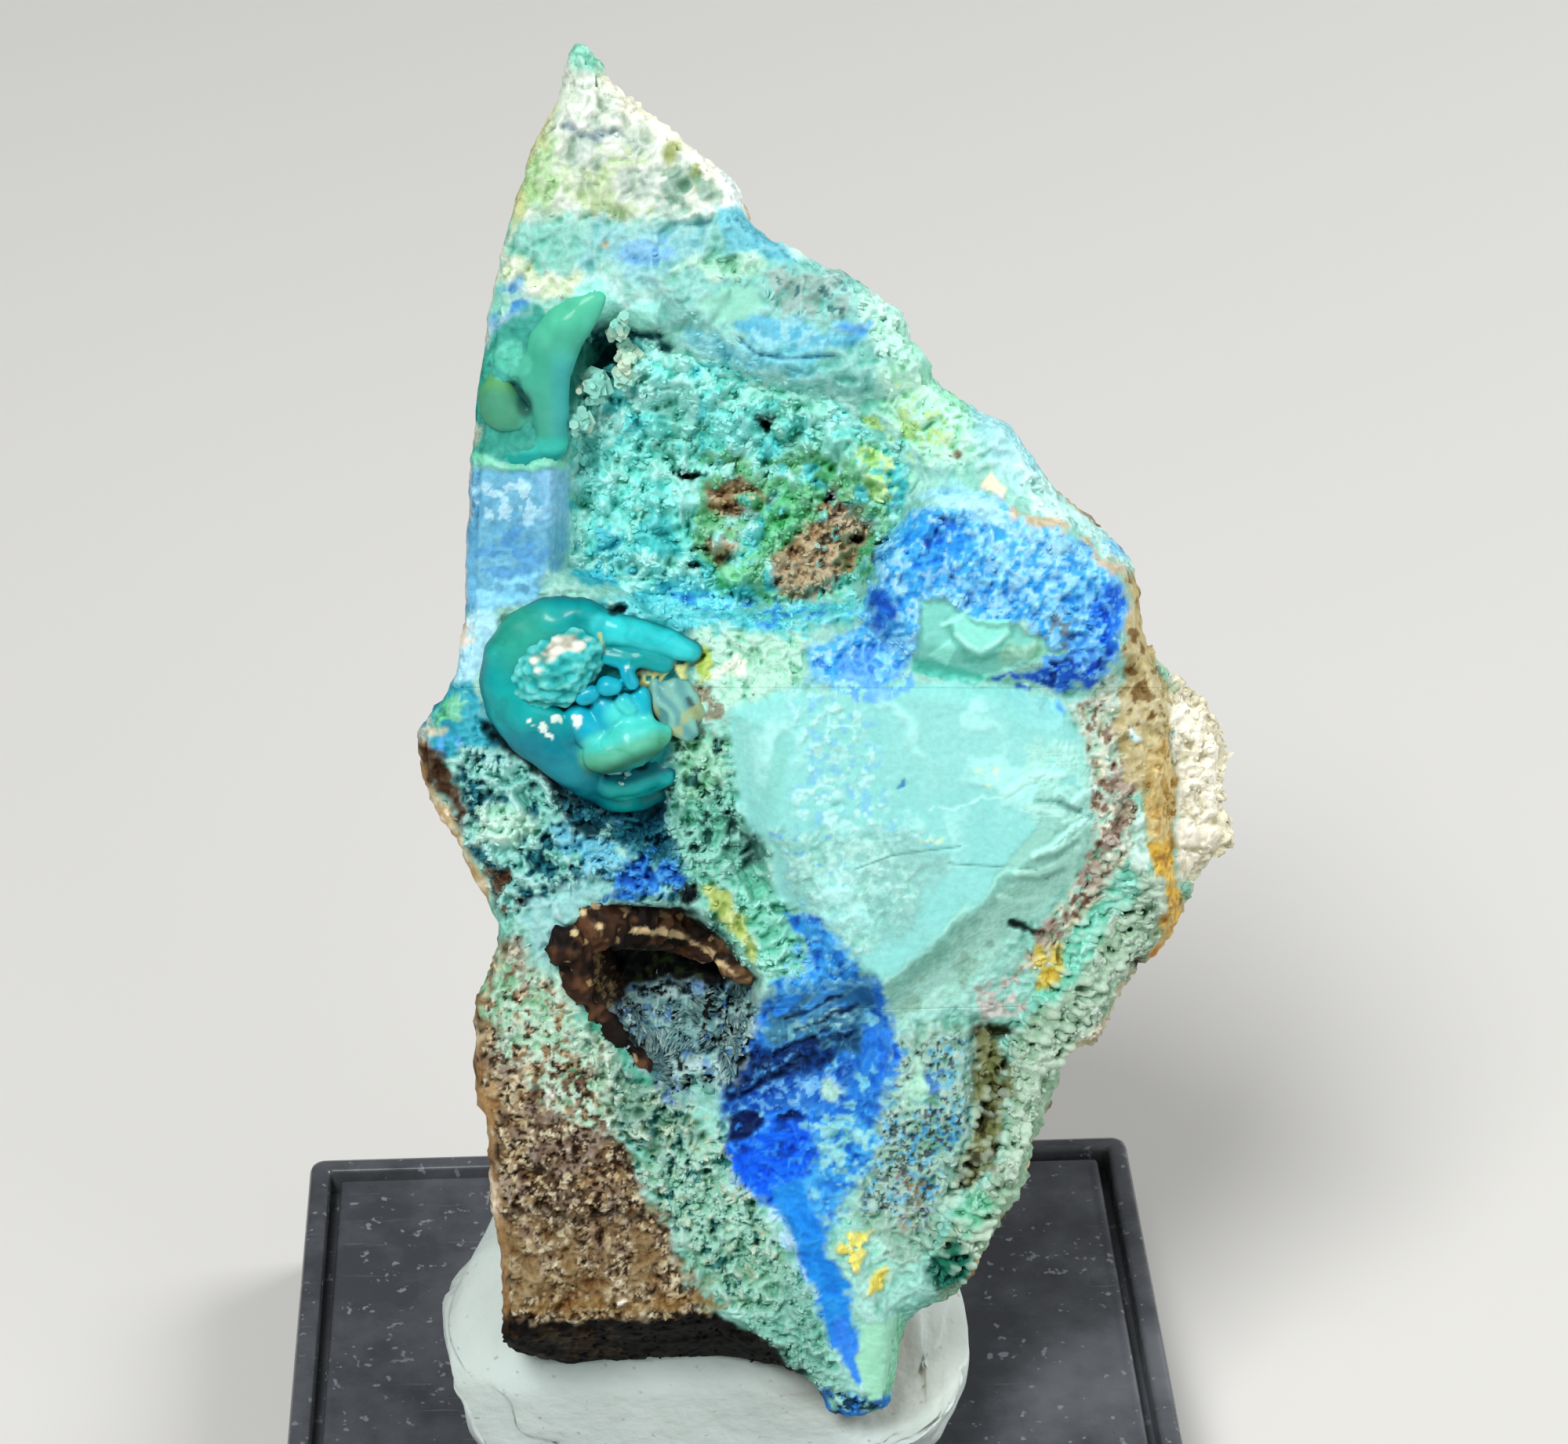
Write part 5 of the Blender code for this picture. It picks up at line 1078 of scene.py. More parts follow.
def crust_material(name, grit=0.2, gritty=0.5, mirror=0.15, waxy=0.0, translucent=0.0,
                   speckled=0.14):
    """Mineral painted at each point; the material adds grit, specks and the shine, its specks
    darkening the colour in the grit's hollows and lightening it on its tops as painted shade and
    light.
    """
    material, tree, shader = start_material(
        name, Specular_IOR_Level=mirror, Coat_Weight=waxy, Coat_Roughness=0.12,
        Subsurface_Weight=translucent, Subsurface_Scale=0.5 * MM)
    place = add_node(tree, "ShaderNodeTexCoord").outputs["Object"]
    tint = add_node(tree, "ShaderNodeAttribute", attribute_name="tint").outputs["Color"]
    gloss = add_node(tree, "ShaderNodeAttribute", attribute_name="gloss").outputs["Fac"]
    specks = noise_node(tree, place, 1.0 / (grit * MM), 3.0, in_Roughness=0.65).outputs["Fac"]
    smooth = ranged(tree, gloss, 0.15, 0.4, 1.0 - speckled, 0.98)
    # Painted shade and light: the grit's bump noise also darkens its hollows and lightens its tops.
    light = add_node(tree, "ShaderNodeMapRange", {"Value": specks, 3: smooth}, in_1=0.35,
                     in_2=0.65, in_4=1.0 + 0.7 * speckled)
    lit = add_node(tree, "ShaderNodeVectorMath", {0: tint, 1: light.outputs[0]},
                   operation="MULTIPLY")
    tree.links.new(lit.outputs[0], shader.inputs["Base Color"])
    tree.links.new(ranged(tree, gloss, 0.0, 1.0, 0.95, 0.22), shader.inputs["Roughness"])
    relief = add_node(tree, "ShaderNodeBump", {"Height": specks}, in_Strength=gritty,
                      in_Distance=0.04 * MM)
    tree.links.new(relief.outputs[0], shader.inputs["Normal"])
    return material


def face_tile(name, cells, height, underside):
    """A closed sheet over the chosen cells of the grid, fine above and coarse below."""
    while True:  # two cells that touch at a corner only would share an edge with four faces
        corner = cells[:-1, :-1] & cells[1:, 1:] & ~cells[1:, :-1] & ~cells[:-1, 1:]
        other = ~cells[:-1, :-1] & ~cells[1:, 1:] & cells[1:, :-1] & cells[:-1, 1:]
        if not corner.any() and not other.any():
            break
        cells[:-1, :-1] &= ~corner
        cells[1:, :-1] &= ~other
    fine = np.kron(cells, np.ones((SKIN_RATIO, SKIN_RATIO), dtype=bool))
    faces, sheets, numbers, start = [], [], [], 0
    for mask, step in ((fine, SKIN_STEP), (cells, SKIN_CELL)):
        used = np.zeros((mask.shape[0] + 1, mask.shape[1] + 1), dtype=bool)
        used[:-1, :-1] |= mask
        used[1:, :-1] |= mask
        used[:-1, 1:] |= mask
        used[1:, 1:] |= mask
        number = np.full(used.shape, -1)
        number[used] = start + np.arange(used.sum())
        start += used.sum()
        numbers.append(number)
        sheets.append(np.argwhere(used) * step + SKIN_CORNER)
        i, j = np.nonzero(mask)
        square = [number[i, j], number[i + 1, j], number[i + 1, j + 1], number[i, j + 1]]
        if mask is cells:
            square.reverse()
        faces += np.stack(square, axis=1).tolist()
    top, bottom = numbers
    wall_start = len(faces) - cells.sum()
    padded = np.pad(cells, 1)
    for i, j in np.argwhere(cells):
        sides = (((i, j), (0, 1), (0, 1)), ((i, j + 1), (1, 0), (1, 2)),
                 ((i + 1, j + 1), (0, -1), (2, 1)), ((i + 1, j), (-1, 0), (1, 0)))
        for first, step, beside in sides:
            if not padded[i + beside[0], j + beside[1]]:
                i0, j0 = first[0] * SKIN_RATIO, first[1] * SKIN_RATIO
                wall = [top[i0 + k * step[0], j0 + k * step[1]] for k in range(SKIN_RATIO + 1)]
                wall += [bottom[first[0] + step[0], first[1] + step[1]], bottom[first]]
                faces.append([int(number) for number in wall])
    above, below = sheets
    w, tint, gloss = height(above)
    points = np.r_[np.c_[above, w], np.c_[below, underside(below)]]
    mesh = bpy.data.meshes.new(name)
    mesh.from_pydata(placed(points).tolist(), [], faces)
    count = len(below)
    paint_mesh(mesh, np.r_[tint, np.zeros((count, 3))], np.r_[gloss, np.zeros(count)])
    mesh.polygons.foreach_set("use_smooth", np.arange(len(faces)) < wall_start)
    return new_piece(name, mesh)


# The crusts: a dry, dusty surface; the sheets among them are waxy.
crust_finish = crust_material("chrysocolla_and_cyanotrichite")

cell_corner = np.argwhere(np.ones(SKIN_CELLS, dtype=bool)) * SKIN_CELL + SKIN_CORNER
cell_inset = np.min([edge_distance(cell_corner + (i * SKIN_CELL, j * SKIN_CELL), STONE_OUTLINE)
                     for i in (0, 1) for j in (0, 1)], axis=0).reshape(SKIN_CELLS)
cell_middle = cell_corner + SKIN_CELL / 2
in_vug = edge_distance(cell_middle, UPPER_VUG).reshape(SKIN_CELLS)
in_pocket = edge_distance(cell_middle, LOWER_POCKET).reshape(SKIN_CELLS)
cell_v = cell_middle[:, 1].reshape(SKIN_CELLS)
SKIN_THICK = 1.1  # mm
EDGE_DIP = 0.55  # the skin dips into the body where it nears the outline
SLOPE_HEIGHT = 2.1
SLOPE_REACH = 2.9
VUG_SLOPE = [(-1.2, 36.6), (0.6, 35.8), (3.2, 35.3), (5.4, 33.8), (6.3, 32.6)]


def vug_fill(points):
    """How much the vug is filled where its crust climbs to the ledge, at its upper right."""
    reach = smooth_step(1.0 - edge_distance(points, VUG_SLOPE, closed=False) / SLOPE_REACH)
    return SLOPE_HEIGHT * reach * smooth_step(edge_distance(points, UPPER_VUG) / 1.1 + 0.5)


def skin_height(points):
    height, tint, gloss = crusted(points, paint(points))
    inset = edge_distance(points, STONE_OUTLINE)
    dip = 0.5 * smooth_step((EDGE_DIP - inset) / 0.35)
    return front(points) + vug_fill(points) - roll_off(points) + height - dip, tint, gloss


def skin_underside(points):
    return front(points) + vug_fill(points) - roll_off(points) - SKIN_THICK


SKIN_TILES = [("skin_lower", 0.0, 15.6), ("skin_middle", 15.6, 26.1), ("skin_upper", 26.1, 50.0)]
for tile_name, tile_low, tile_high in SKIN_TILES:
    chosen = ((cell_inset > 0.15) & (cell_v > tile_low) & (cell_v < tile_high)
              & (in_vug < 1.2) & (in_pocket < 2.2))
    tile = face_tile(tile_name, chosen, skin_height, skin_underside)
    tile.data.materials.append(crust_finish)
    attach(tile, "root")


# ---------------------------------------------------------------- stone body
# The matrix under the skin: iron-stained granular rock, brown at the sides, cream and
# crystalline at the back.  One closed solid, remeshed from a slab of the outline.
SLAB_VOXEL = 0.3  # mm
BODY_VOXEL = 0.22
BODY_UNDER_SKIN = 0.35
BODY_LEAST = 1.5  # mm, its thickness where face and back come together
STONE_AXES = np.array(STONE_FRAME.to_3x3())  # its columns are u, v and w in the world


def stone_points(mesh):
    """The mesh's points in the stone's frame, mm."""
    points = np.empty(len(mesh.vertices) * 3, dtype=np.float32)
    mesh.vertices.foreach_get("co", points)
    points = np.c_[points.reshape(-1, 3).astype(float), np.ones(len(mesh.vertices))]
    return (points @ np.array(STONE_FRAME.inverted()).T)[:, :3] / MM


def move_points(mesh, points):
    mesh.vertices.foreach_set("co", placed(points).astype(np.float32).ravel())
    mesh.update()


def stone_normals(mesh):
    normals = np.empty(len(mesh.vertices) * 3, dtype=np.float32)
    mesh.vertices.foreach_get("normal", normals)
    return normals.reshape(-1, 3).astype(float) @ STONE_AXES


def keep_result(piece):
    """Give the piece the mesh that its modifier makes of it."""
    bpy.context.view_layer.update()
    mesh = bpy.data.meshes.new_from_object(
        piece.evaluated_get(bpy.context.evaluated_depsgraph_get()))
    piece.modifiers.clear()
    piece.data = mesh


def modified(piece, kind, **settings):
    modifier = piece.modifiers.new(kind, kind)
    for key, value in settings.items():
        setattr(modifier, key, value)
    keep_result(piece)


slab_shape = bmesh.new()
slab_shape.faces.new([slab_shape.verts.new((u, v, -STONE_DEPTH)) for u, v in STONE_OUTLINE])
grown = bmesh.ops.extrude_face_region(slab_shape, geom=slab_shape.faces[:])["geom"]
grown_corners = [item for item in grown if isinstance(item, bmesh.types.BMVert)]
bmesh.ops.translate(slab_shape, verts=grown_corners, vec=(0, 0, STONE_DEPTH))
bmesh.ops.triangulate(slab_shape, faces=slab_shape.faces)
bmesh.ops.recalc_face_normals(slab_shape, faces=slab_shape.faces)
slab_shape.transform(STONE_FRAME @ Matrix.Scale(MM, 4))
stone = new_piece("stone_body", mesh_from(slab_shape, "stone_body"))
modified(stone, "REMESH", mode="VOXEL", voxel_size=SLAB_VOXEL * MM)
spots = stone_points(stone.data)
depth = np.clip(-spots[:, 2] / STONE_DEPTH, 0.0, 1.0)
flat = spots[:, :2].copy()
inset = edge_distance(flat, STONE_OUTLINE)
near = front(flat) - roll_off(flat) - BODY_UNDER_SKIN * smooth_step((inset - 0.25) / 0.4)
far = back(flat) + 0.9 * noise(flat, 5.0, 3) + 0.4 * noise(flat, 2.2, 4)
middle_u = 2.0 - 3.0 * smooth_step((flat[:, 1] - 24.0) / 20.0)
narrow = 0.995 - 0.155 * depth ** 1.5
spots[:, 2] = near + (np.minimum(far, near - BODY_LEAST) - near) * depth
spots[:, 0] = middle_u + (flat[:, 0] - middle_u) * narrow
spots[:, 1] = 22.0 + (flat[:, 1] - 22.0) * narrow
move_points(stone.data, spots)
modified(stone, "REMESH", mode="VOXEL", voxel_size=BODY_VOXEL * MM)
spots = stone_points(stone.data)
flat = spots[:, :2].copy()
below_face = front(flat) - roll_off(flat) - spots[:, 2]
behind = smooth_step((below_face - 0.6) / 1.2)
tint, lift, grain, _ = paint(flat)
distance, number = grains(spots, 0.8, 61)
fine_distance, _ = grains(spots, 0.4, 62)
rough = (0.30 * noise(spots, 2.6, 63, 3) + 0.5 * (0.5 - distance)
         + 0.2 * (0.5 - fine_distance)) * behind
rough += (lift * 0.6 + grain * (0.9 - 1.6 * fine_distance)) * (1.0 - behind)
spots += stone_normals(stone.data) * rough[:, None]
up = STONE_AXES[2]
spots += np.clip(1.3 - spots @ up, 0.0, None)[:, None] * up  # a flat foot in the tack
move_points(stone.data, spots)

rear = smooth_step((below_face - 5.0 + 1.6 * noise(spots, 4.0, 64)) / 2.0)
rust = smooth_step((noise(spots, 3.5, 65, 3) + 0.1) / 0.5)
rock = stain(coat(spots, "#86663F"), "#AA8A5C", rust * 0.8)
rock = stain(rock, "#453020", smooth_step((noise(spots, 1.3, 66, 3) - 0.2) / 0.3) * 0.8)
rock = stain(rock, "#CDBE98", smooth_step((number - 0.75) / 0.1) * 0.6)
cream = stain(coat(spots, "#DAD3B6"), "#BCA06C", rust * 0.4)
cream = stain(cream, "#8E6A3E", smooth_step((noise(spots, 2.4, 67, 3) - 0.35) / 0.2) * 0.7)
right_side = smooth_step((flat[:, 0] - 12.0) / 2.0) * smooth_step((flat[:, 1] - 17.0) / 2.0)
rock = rock + (cream - rock) * np.maximum(rear, right_side)[:, None]
shade_below = smooth_step((4.9 - flat[:, 1]) / 0.5) * smooth_step((2.2 - flat[:, 0]) / 0.8)
rock = stain(rock, "#0A0705", shade_below * smooth_step((9.0 - below_face) / 3.0))
tint = blend(tint, rock, smooth_step((below_face - 0.5) / 0.9))
# Painted shade between the grains, lighter at their middles.
tint = shaded(tint, 1.15 - 0.38 * distance - 0.2 * fine_distance)
paint_mesh(stone.data, tint, 0.15 + 0.35 * number * (number > 0.75))
stone.data.shade_smooth()

# Granular limonite and quartz: matt, with a faint glitter on the pale grains.
stone.data.materials.clear()
stone.data.materials.append(crust_material("limonite_and_quartz", gritty=0.9, speckled=0.36))
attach(stone, "root")
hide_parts("specimen_rock")


# ---------------------------------------------------------------- mineral tack
# Off-white putty pressed round the stone's foot by hand: one soft, dented lump on the base.
TACK_CENTRE = (-0.8, 1.3, 3.6)
TACK_HALF = (9.0, 8.4, 4.9)
TACK_FRONT_TOP = 3.0
TACK_SUNK = 0.18  # mm into the base's top
FINGER_DENTS = [  # the way from the middle to each
    (-0.85, -0.4, 0.3), (-0.55, -0.75, 0.35), (-0.05, -0.9, 0.4), (0.5, -0.8, 0.3),
    (0.9, -0.2, 0.35), (0.4, 0.85, 0.3), (-0.5, 0.8, 0.3), (-0.9, 0.3, 0.3),
]
tack_shape = bmesh.new()
bmesh.ops.create_icosphere(tack_shape, subdivisions=6, radius=1.0)
tack_mesh = mesh_from(tack_shape, "mineral_tack")
ball = np.array([vertex.co[:] for vertex in tack_mesh.vertices])
x, y = (np.sign(ball[:, i]) * np.abs(ball[:, i]) ** 0.82 for i in (0, 1))
z = ball[:, 2]
swell = 1.0 + 0.034 * noise(ball * 3, 1.7, 81, 2) + 0.011 * noise(ball * 9, 1.5, 82, 2)
pinch = np.abs(noise(ball * 3, 1.3, 83))
swell -= 0.02 * smooth_step((0.16 - pinch) / 0.16)
for dent in FINGER_DENTS:
    away = np.linalg.norm(ball - np.array(dent) / math.hypot(*dent), axis=1)
    away = away + 0.05 * noise(ball * 3, 0.8, 85)
    swell += 0.02 * np.exp(-((away - 0.34) / 0.1) ** 2) - 0.07 * np.exp(-(away / 0.24) ** 2)
x = TACK_CENTRE[0] + TACK_HALF[0] * x * swell
y = TACK_CENTRE[1] + TACK_HALF[1] * y * swell
low_front = smooth_step((2.2 - y) / 4.0)
rise = TACK_HALF[2] + (TACK_FRONT_TOP - TACK_CENTRE[2] - TACK_HALF[2]) * low_front
z = TACK_CENTRE[2] + np.where(z > 0, rise, TACK_HALF[2]) * z * swell
tack_points = np.stack([x, y, np.maximum(z, -TACK_SUNK) + BASE_TOP], axis=1) * MM
tack_mesh.vertices.foreach_set("co", tack_points.astype(np.float32).ravel())
tack_mesh.shade_smooth()

# Putty: matt off-white with a faint waxy sheen, fine finger lines and a few specks of dust.
putty, tree, shader = start_material("white_putty", Roughness=0.8, Specular_IOR_Level=0.25,
                                     Subsurface_Weight=0.12, Subsurface_Scale=0.8 * MM)
place = add_node(tree, "ShaderNodeTexCoord").outputs["Object"]
cloud = noise_node(tree, place, 240.0, 4.0)
tone = add_node(tree, "ShaderNodeMix", {"Factor": cloud.outputs["Fac"]}, data_type="RGBA",
                in_6=linear("#B6C4BF"), in_7=linear("#D2DDD8"))
specks = noise_node(tree, place, 3200.0, 1.0)
dirty = ranged(tree, specks.outputs["Fac"], 0.70, 0.78, 0.0, 0.6)
speckled = add_node(tree, "ShaderNodeMix", {"Factor": dirty}, data_type="RGBA",
                    in_7=linear("#8F9088"))
tree.links.new(tone.outputs[2], speckled.inputs[6])
tree.links.new(speckled.outputs[2], shader.inputs["Base Color"])
finger_lines = noise_node(tree, place, 900.0, 3.0)
dents = add_node(tree, "ShaderNodeBump", {"Height": finger_lines.outputs["Fac"]}, in_Strength=0.6,
                 in_Distance=0.3 * MM)
tree.links.new(dents.outputs[0], shader.inputs["Normal"])
tack = new_piece("putty", tack_mesh, putty)
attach(tack, "root")
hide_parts("mineral_tack")


# ---------------------------------------------------------------- crusts of the two hollows
# The vug's coral-like crust of chrysocolla and malachite, and the tufted crust in the brown
# pocket: closed sheets over the hollows' floors, deeply pitted.  Their rims dip into the walls.
VUG_RISE = 0.7  # mm over the hollow's floor
POCKET_RISE = 0.55
LINING_THICK = 0.9


def vug_height(points):
    height, tint, gloss = crusted(points, paint(points), 91)
    ridges = 1.0 - 2.0 * np.abs(noise(points, 1.5, 95, 2))
    knobs = 2.3 * np.abs(noise(points, 0.8, 97, 2)) - 0.5
    deep = 0.4 * ridges + 0.5 * knobs
    inset = edge_distance(points, UPPER_VUG) + 0.25 * noise(points, 0.8, 98, 2)
    inner = smooth_step(inset / 1.1)
    # Painted shade in the vug's deep parts, lighter on its knobs.
    tint = shaded(tint, np.clip(1.07 + 0.36 * deep, 0.5, 1.16))
    height = (VUG_RISE + 0.6 * deep) * inner + height - 0.5 * smooth_step((0.3 - inset) / 0.4)
    return front(points) + vug_fill(points) + height, tint, gloss


def pocket_height(points):
    height, tint, gloss = crusted(points, paint(points), 101)
    deep = 0.6 * noise(points, 0.9, 105, 2)
    inset = edge_distance(points, LOWER_POCKET) + 0.2 * noise(points, 0.6, 98, 2)
    # Painted shade in the pocket crust's deep parts.
    tint = shaded(tint, np.clip(0.85 + 0.6 * deep, 0.1, 1.15))
    height = (POCKET_RISE + 0.4 * deep) * smooth_step(inset) + height
    return front(points) + height - 0.5 * smooth_step((0.5 - inset) / 0.4), tint, gloss


def lining_underside(points):
    return front(points) - LINING_THICK


LININGS = [
    ("vug_lining", in_vug > -0.4, vug_height, "vug_crust", "vug_crystals"),
    ("pocket_lining", in_pocket > -0.1, pocket_height, "pocket_crust", "pocket_crystals"),
]
for tile_name, chosen, height, node, slot_name in LININGS:
    tile = face_tile(tile_name, chosen, height, lining_underside)
    tile.data.materials.append(crust_finish)
    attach(tile, "root")
    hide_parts(node)


# ---------------------------------------------------------------- waxy rolls, ribbon and rind
# Folded rolls of waxy chrysocolla round a granular dome, the green ribbon and the pocket's
# brown rind: runs of balls along paths on the face, remeshed into one smooth skin each.
ROLLS = [  # each run's points: u, v, height above the face and radius, mm
    [(-3.9, 27.95, 0.45, 0.58), (-4.6, 28.25, 0.5, 0.72), (-5.6, 28.2, 0.5, 0.8),
     (-6.4, 27.8, 0.45, 0.85), (-6.95, 27.1, 0.4, 0.85), (-7, 26.4, 0.4, 0.9),
     (-6.7, 25.6, 0.4, 1.05), (-6.1, 24.95, 0.4, 1.1), (-5.5, 24.35, 0.4, 1),
     (-4.9, 23.75, 0.35, 0.85), (-4.4, 23.1, 0.3, 0.7), (-3.8, 22.7, 0.25, 0.58),
     (-3, 22.6, 0.25, 0.5), (-2.3, 22.85, 0.2, 0.42)],
    [(-7.3, 27.1, 0.6, 0.3), (-7.1, 26.1, 0.6, 0.34), (-6.35, 25.45, 0.75, 0.36),
     (-5.5, 25.15, 0.7, 0.34), (-5.15, 24.55, 0.7, 0.3)],
    [(-3.85, 28, 0.5, 0.5), (-3, 27.82, 0.6, 0.5), (-1.95, 27.55, 0.55, 0.48),
     (-1.15, 27.3, 0.3, 0.36)],
    [(-3.85, 27.1, 0.5, 0.28), (-3.3, 27, 0.6, 0.34), (-2.7, 27.02, 0.6, 0.34),
     (-2, 26.85, 0.45, 0.3)],
    [(-4.52, 25.86, 0.85, 0.34), (-4.36, 25.92, 0.85, 0.32)],
    [(-3.82, 26.16, 1, 0.33), (-3.62, 26.14, 0.95, 0.28)],
    [(-3.19, 26.62, 0.8, 0.24), (-3.02, 26.26, 0.8, 0.22)],
    [(-3.92, 25.52, 0.6, 0.44), (-3.75, 25.2, 0.7, 0.5)],
    [(-3.28, 25.66, 0.85, 0.3), (-3.1, 25.45, 0.85, 0.28)],
    [(-3.1, 25.2, 0.75, 0.36)],
    [(-4.76, 25.14, 0.7, 0.45), (-4.36, 24.7, 0.8, 0.54)],
    [(-2.74, 25.9, 0.6, 0.28), (-2.62, 25.35, 0.7, 0.26), (-2.5, 24.98, 0.75, 0.24)],
    [(-4.7, 25.4, 0, 0.7), (-3.6, 25.5, 0.1, 0.7), (-2.9, 25.6, 0, 0.6), (-3, 24.8, 0, 0.7)],
    [(-4, 23.2, -0.15, 0.6), (-3, 23.3, -0.15, 0.6), (-2.4, 23.6, -0.15, 0.5)],
    [(-4.15, 22.95, 0.4, 0.3), (-3.45, 22.78, 0.45, 0.3), (-2.6, 22.92, 0.45, 0.3),
     (-2, 23.35, 0.4, 0.3)],
    [(-4.05, 23.95, 0.95, 0.58), (-3.6, 24.1, 1.15, 0.74), (-3.1, 24.32, 1.2, 0.78),
     (-2.6, 24.52, 1.1, 0.66), (-2.15, 24.62, 0.9, 0.4)],
]
TONGUE = ROLLS[-1]
DOME = [(-6.05, 26.45, 0.5, 1.0), (-5.5, 26.85, 0.6, 1.35), (-4.95, 27.3, 0.6, 1.15)]
RIBBON = [
    [(-4, 38, 0.3, 0.34), (-4.35, 37.65, 0.4, 0.56), (-4.85, 37.15, 0.45, 0.76),
     (-5.35, 36.5, 0.45, 0.86), (-5.6, 35.8, 0.4, 0.84), (-5.5, 35.1, 0.35, 0.66),
     (-5.45, 34.5, 0.3, 0.58), (-5.45, 33.8, 0.15, 0.56)],
    [(-7.15, 35.65, 0, 0.32), (-7.15, 35.1, 0.05, 0.6), (-6.95, 34.65, 0.1, 0.68),
     (-6.6, 34.5, 0.1, 0.56)],
    [(-6.9, 35.9, -0.15, 0.3), (-6.3, 36, 0, 0.35)],
    [(-7.3, 33.7, -0.2, 0.42), (-6.9, 33.55, -0.14, 0.58), (-6.2, 33.5, -0.1, 0.6),
     (-5.55, 33.7, -0.1, 0.62)],
]
CURL = [
    [(-2.2, 26.1, 0.25, 0.32), (-2, 25.6, 0.35, 0.42), (-1.7, 25.15, 0.35, 0.46),
     (-1.25, 24.75, 0.3, 0.36)],
    [(-1.6, 26.2, 0.2, 0.3), (-1.3, 25.75, 0.25, 0.34), (-1, 25.3, 0.2, 0.3)],
]
RIND = [
    [(-5.3, 17.75, 0.45, 0.6), (-4.95, 18.3, 0.6, 0.9), (-4.3, 18.7, 0.65, 1.1),
     (-3.4, 18.85, 0.7, 1.15), (-2.2, 18.6, 0.7, 1.05), (-1.1, 18.15, 0.65, 0.9),
     (-0.2, 17.55, 0.55, 0.72), (0.45, 16.9, 0.4, 0.45)],
    [(-5.1, 17.6, 0.4, 0.5), (-4.95, 16.4, 0.25, 0.34), (-4.2, 15.4, 0.2, 0.28),
     (-3.4, 14.4, 0.15, 0.24), (-2.7, 13.6, 0.1, 0.2)],
]
ROLL_VOXEL = 0.08  # mm
WAX_VOXEL = 0.07
BALL_STEP = 0.1
BALL_SUNK = 0.4  # of its radius


def on_stone(u, v, w):
    return STONE_FRAME @ Matrix.Translation(Vector((u, v, w)) * MM)


def run_of_balls(runs, flat=1.0):
    """Balls close together along each run, their centres a little under their height."""
    shape = bmesh.new()
    for run in runs:
        for start, end in zip(run, run[1:] + run[-1:]):
            length = math.hypot(end[0] - start[0], end[1] - start[1])
            count = max(1, round(length / BALL_STEP))
            for k in range(count):
                u, v, height, radius = (a + (b - a) * k / count for a, b in zip(start, end))
                w = front(np.array([[u, v]]))[0] + height - BALL_SUNK * radius
                bmesh.ops.create_icosphere(
                    shape, subdivisions=3, radius=radius * MM,
                    matrix=on_stone(u, v, w) @ Matrix.Diagonal((1.0, 1.0, flat, 1.0)))
    return shape


def remeshed(name, shape, voxel, smooth, finish):
    """One smooth skin round all the balls, as a piece."""
    piece = new_piece(name, mesh_from(shape, name))
    modified(piece, "REMESH", mode="VOXEL", voxel_size=voxel * MM)
    modified(piece, "SMOOTH", factor=0.6, iterations=smooth)
    piece.data.materials.clear()
    piece.data.materials.append(finish)
    piece.data.shade_smooth()
    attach(piece, "root")
    return piece


def push_out(piece, spots, amount):
    """Move the piece's points along its normals by the amount, mm."""
    spots = spots + stone_normals(piece.data) * amount[:, None]
    move_points(piece.data, spots)
    return spots


def path_of(run):
    return [point[:2] for point in run]


def spot_distance(points, u, v):
    """Distance from a spot on the face."""
    return np.hypot(points[:, 0] - u, points[:, 1] - v)


# Painted shade in the gaps between the rolls.
ROLL_GAPS = [  # u, v and size
    (-3.6, 28.45, 0.22), (-3.9, 26.68, 0.3), (-3.6, 26.52, 0.32), (-3.3, 26.38, 0.24),
    (-3.4, 23.45, 0.3), (-2.8, 23.6, 0.3), (-3.9, 23.35, 0.2),
]
ROLL_SPECKS = [
    (-5.85, 24.85, 0.19), (-5.7, 24.6, 0.1), (-5.42, 25.12, 0.14), (-4.8, 25.08, 0.2),
    (-6.25, 25.05, 0.08), (-3.15, 26.85, 0.13),
]

# Waxy chrysocolla: smooth, faintly translucent, with a soft shine.
wax_finish = crust_material("waxy_chrysocolla", 0.5, gritty=0.15, mirror=0.2, waxy=0.16,
                            translucent=0.15)
rolls = remeshed("waxy_rolls", run_of_balls(ROLLS, 0.85), WAX_VOXEL, 3, wax_finish)
spots = stone_points(rolls.data)
spots = push_out(rolls, spots, 0.07 * noise(spots, 0.9, 112, 2))
height = spots[:, 2] - front(spots[:, :2])
tint = coat(spots, "#006A76")
# Painted light: lighter with height, with painted highlights on the highest parts.
tint = stain(tint, "#009C9C", smooth_step((height - 0.1) / 0.6))
tint = stain(tint, "#2BB4A6", 0.5 * smooth_step((height - 0.7) / 0.5)
             * smooth_step(noise(spots, 1.2, 113, 2) + 0.5))
top_left = smooth_step((1.7 - spot_distance(spots, -6.6, 27.9)) / 1.2)
tint = stain(tint, "#2E9C80", 0.7 * top_left)
low_left = smooth_step((25.4 - spots[:, 1]) / 1.2) * smooth_step((-3.6 - spots[:, 0]) / 0.8)
tint = stain(tint, "#007088", 0.75 * low_left)
second = 0.6 - edge_distance(spots, path_of(ROLLS[2]), closed=False)
tint = stain(tint, "#2CC6CA", smooth_step(second / 0.3) * smooth_step((height - 0.2) / 0.4))
knobs = smooth_step((1.6 - spot_distance(spots, -3.8, 25.6)) / 0.5)
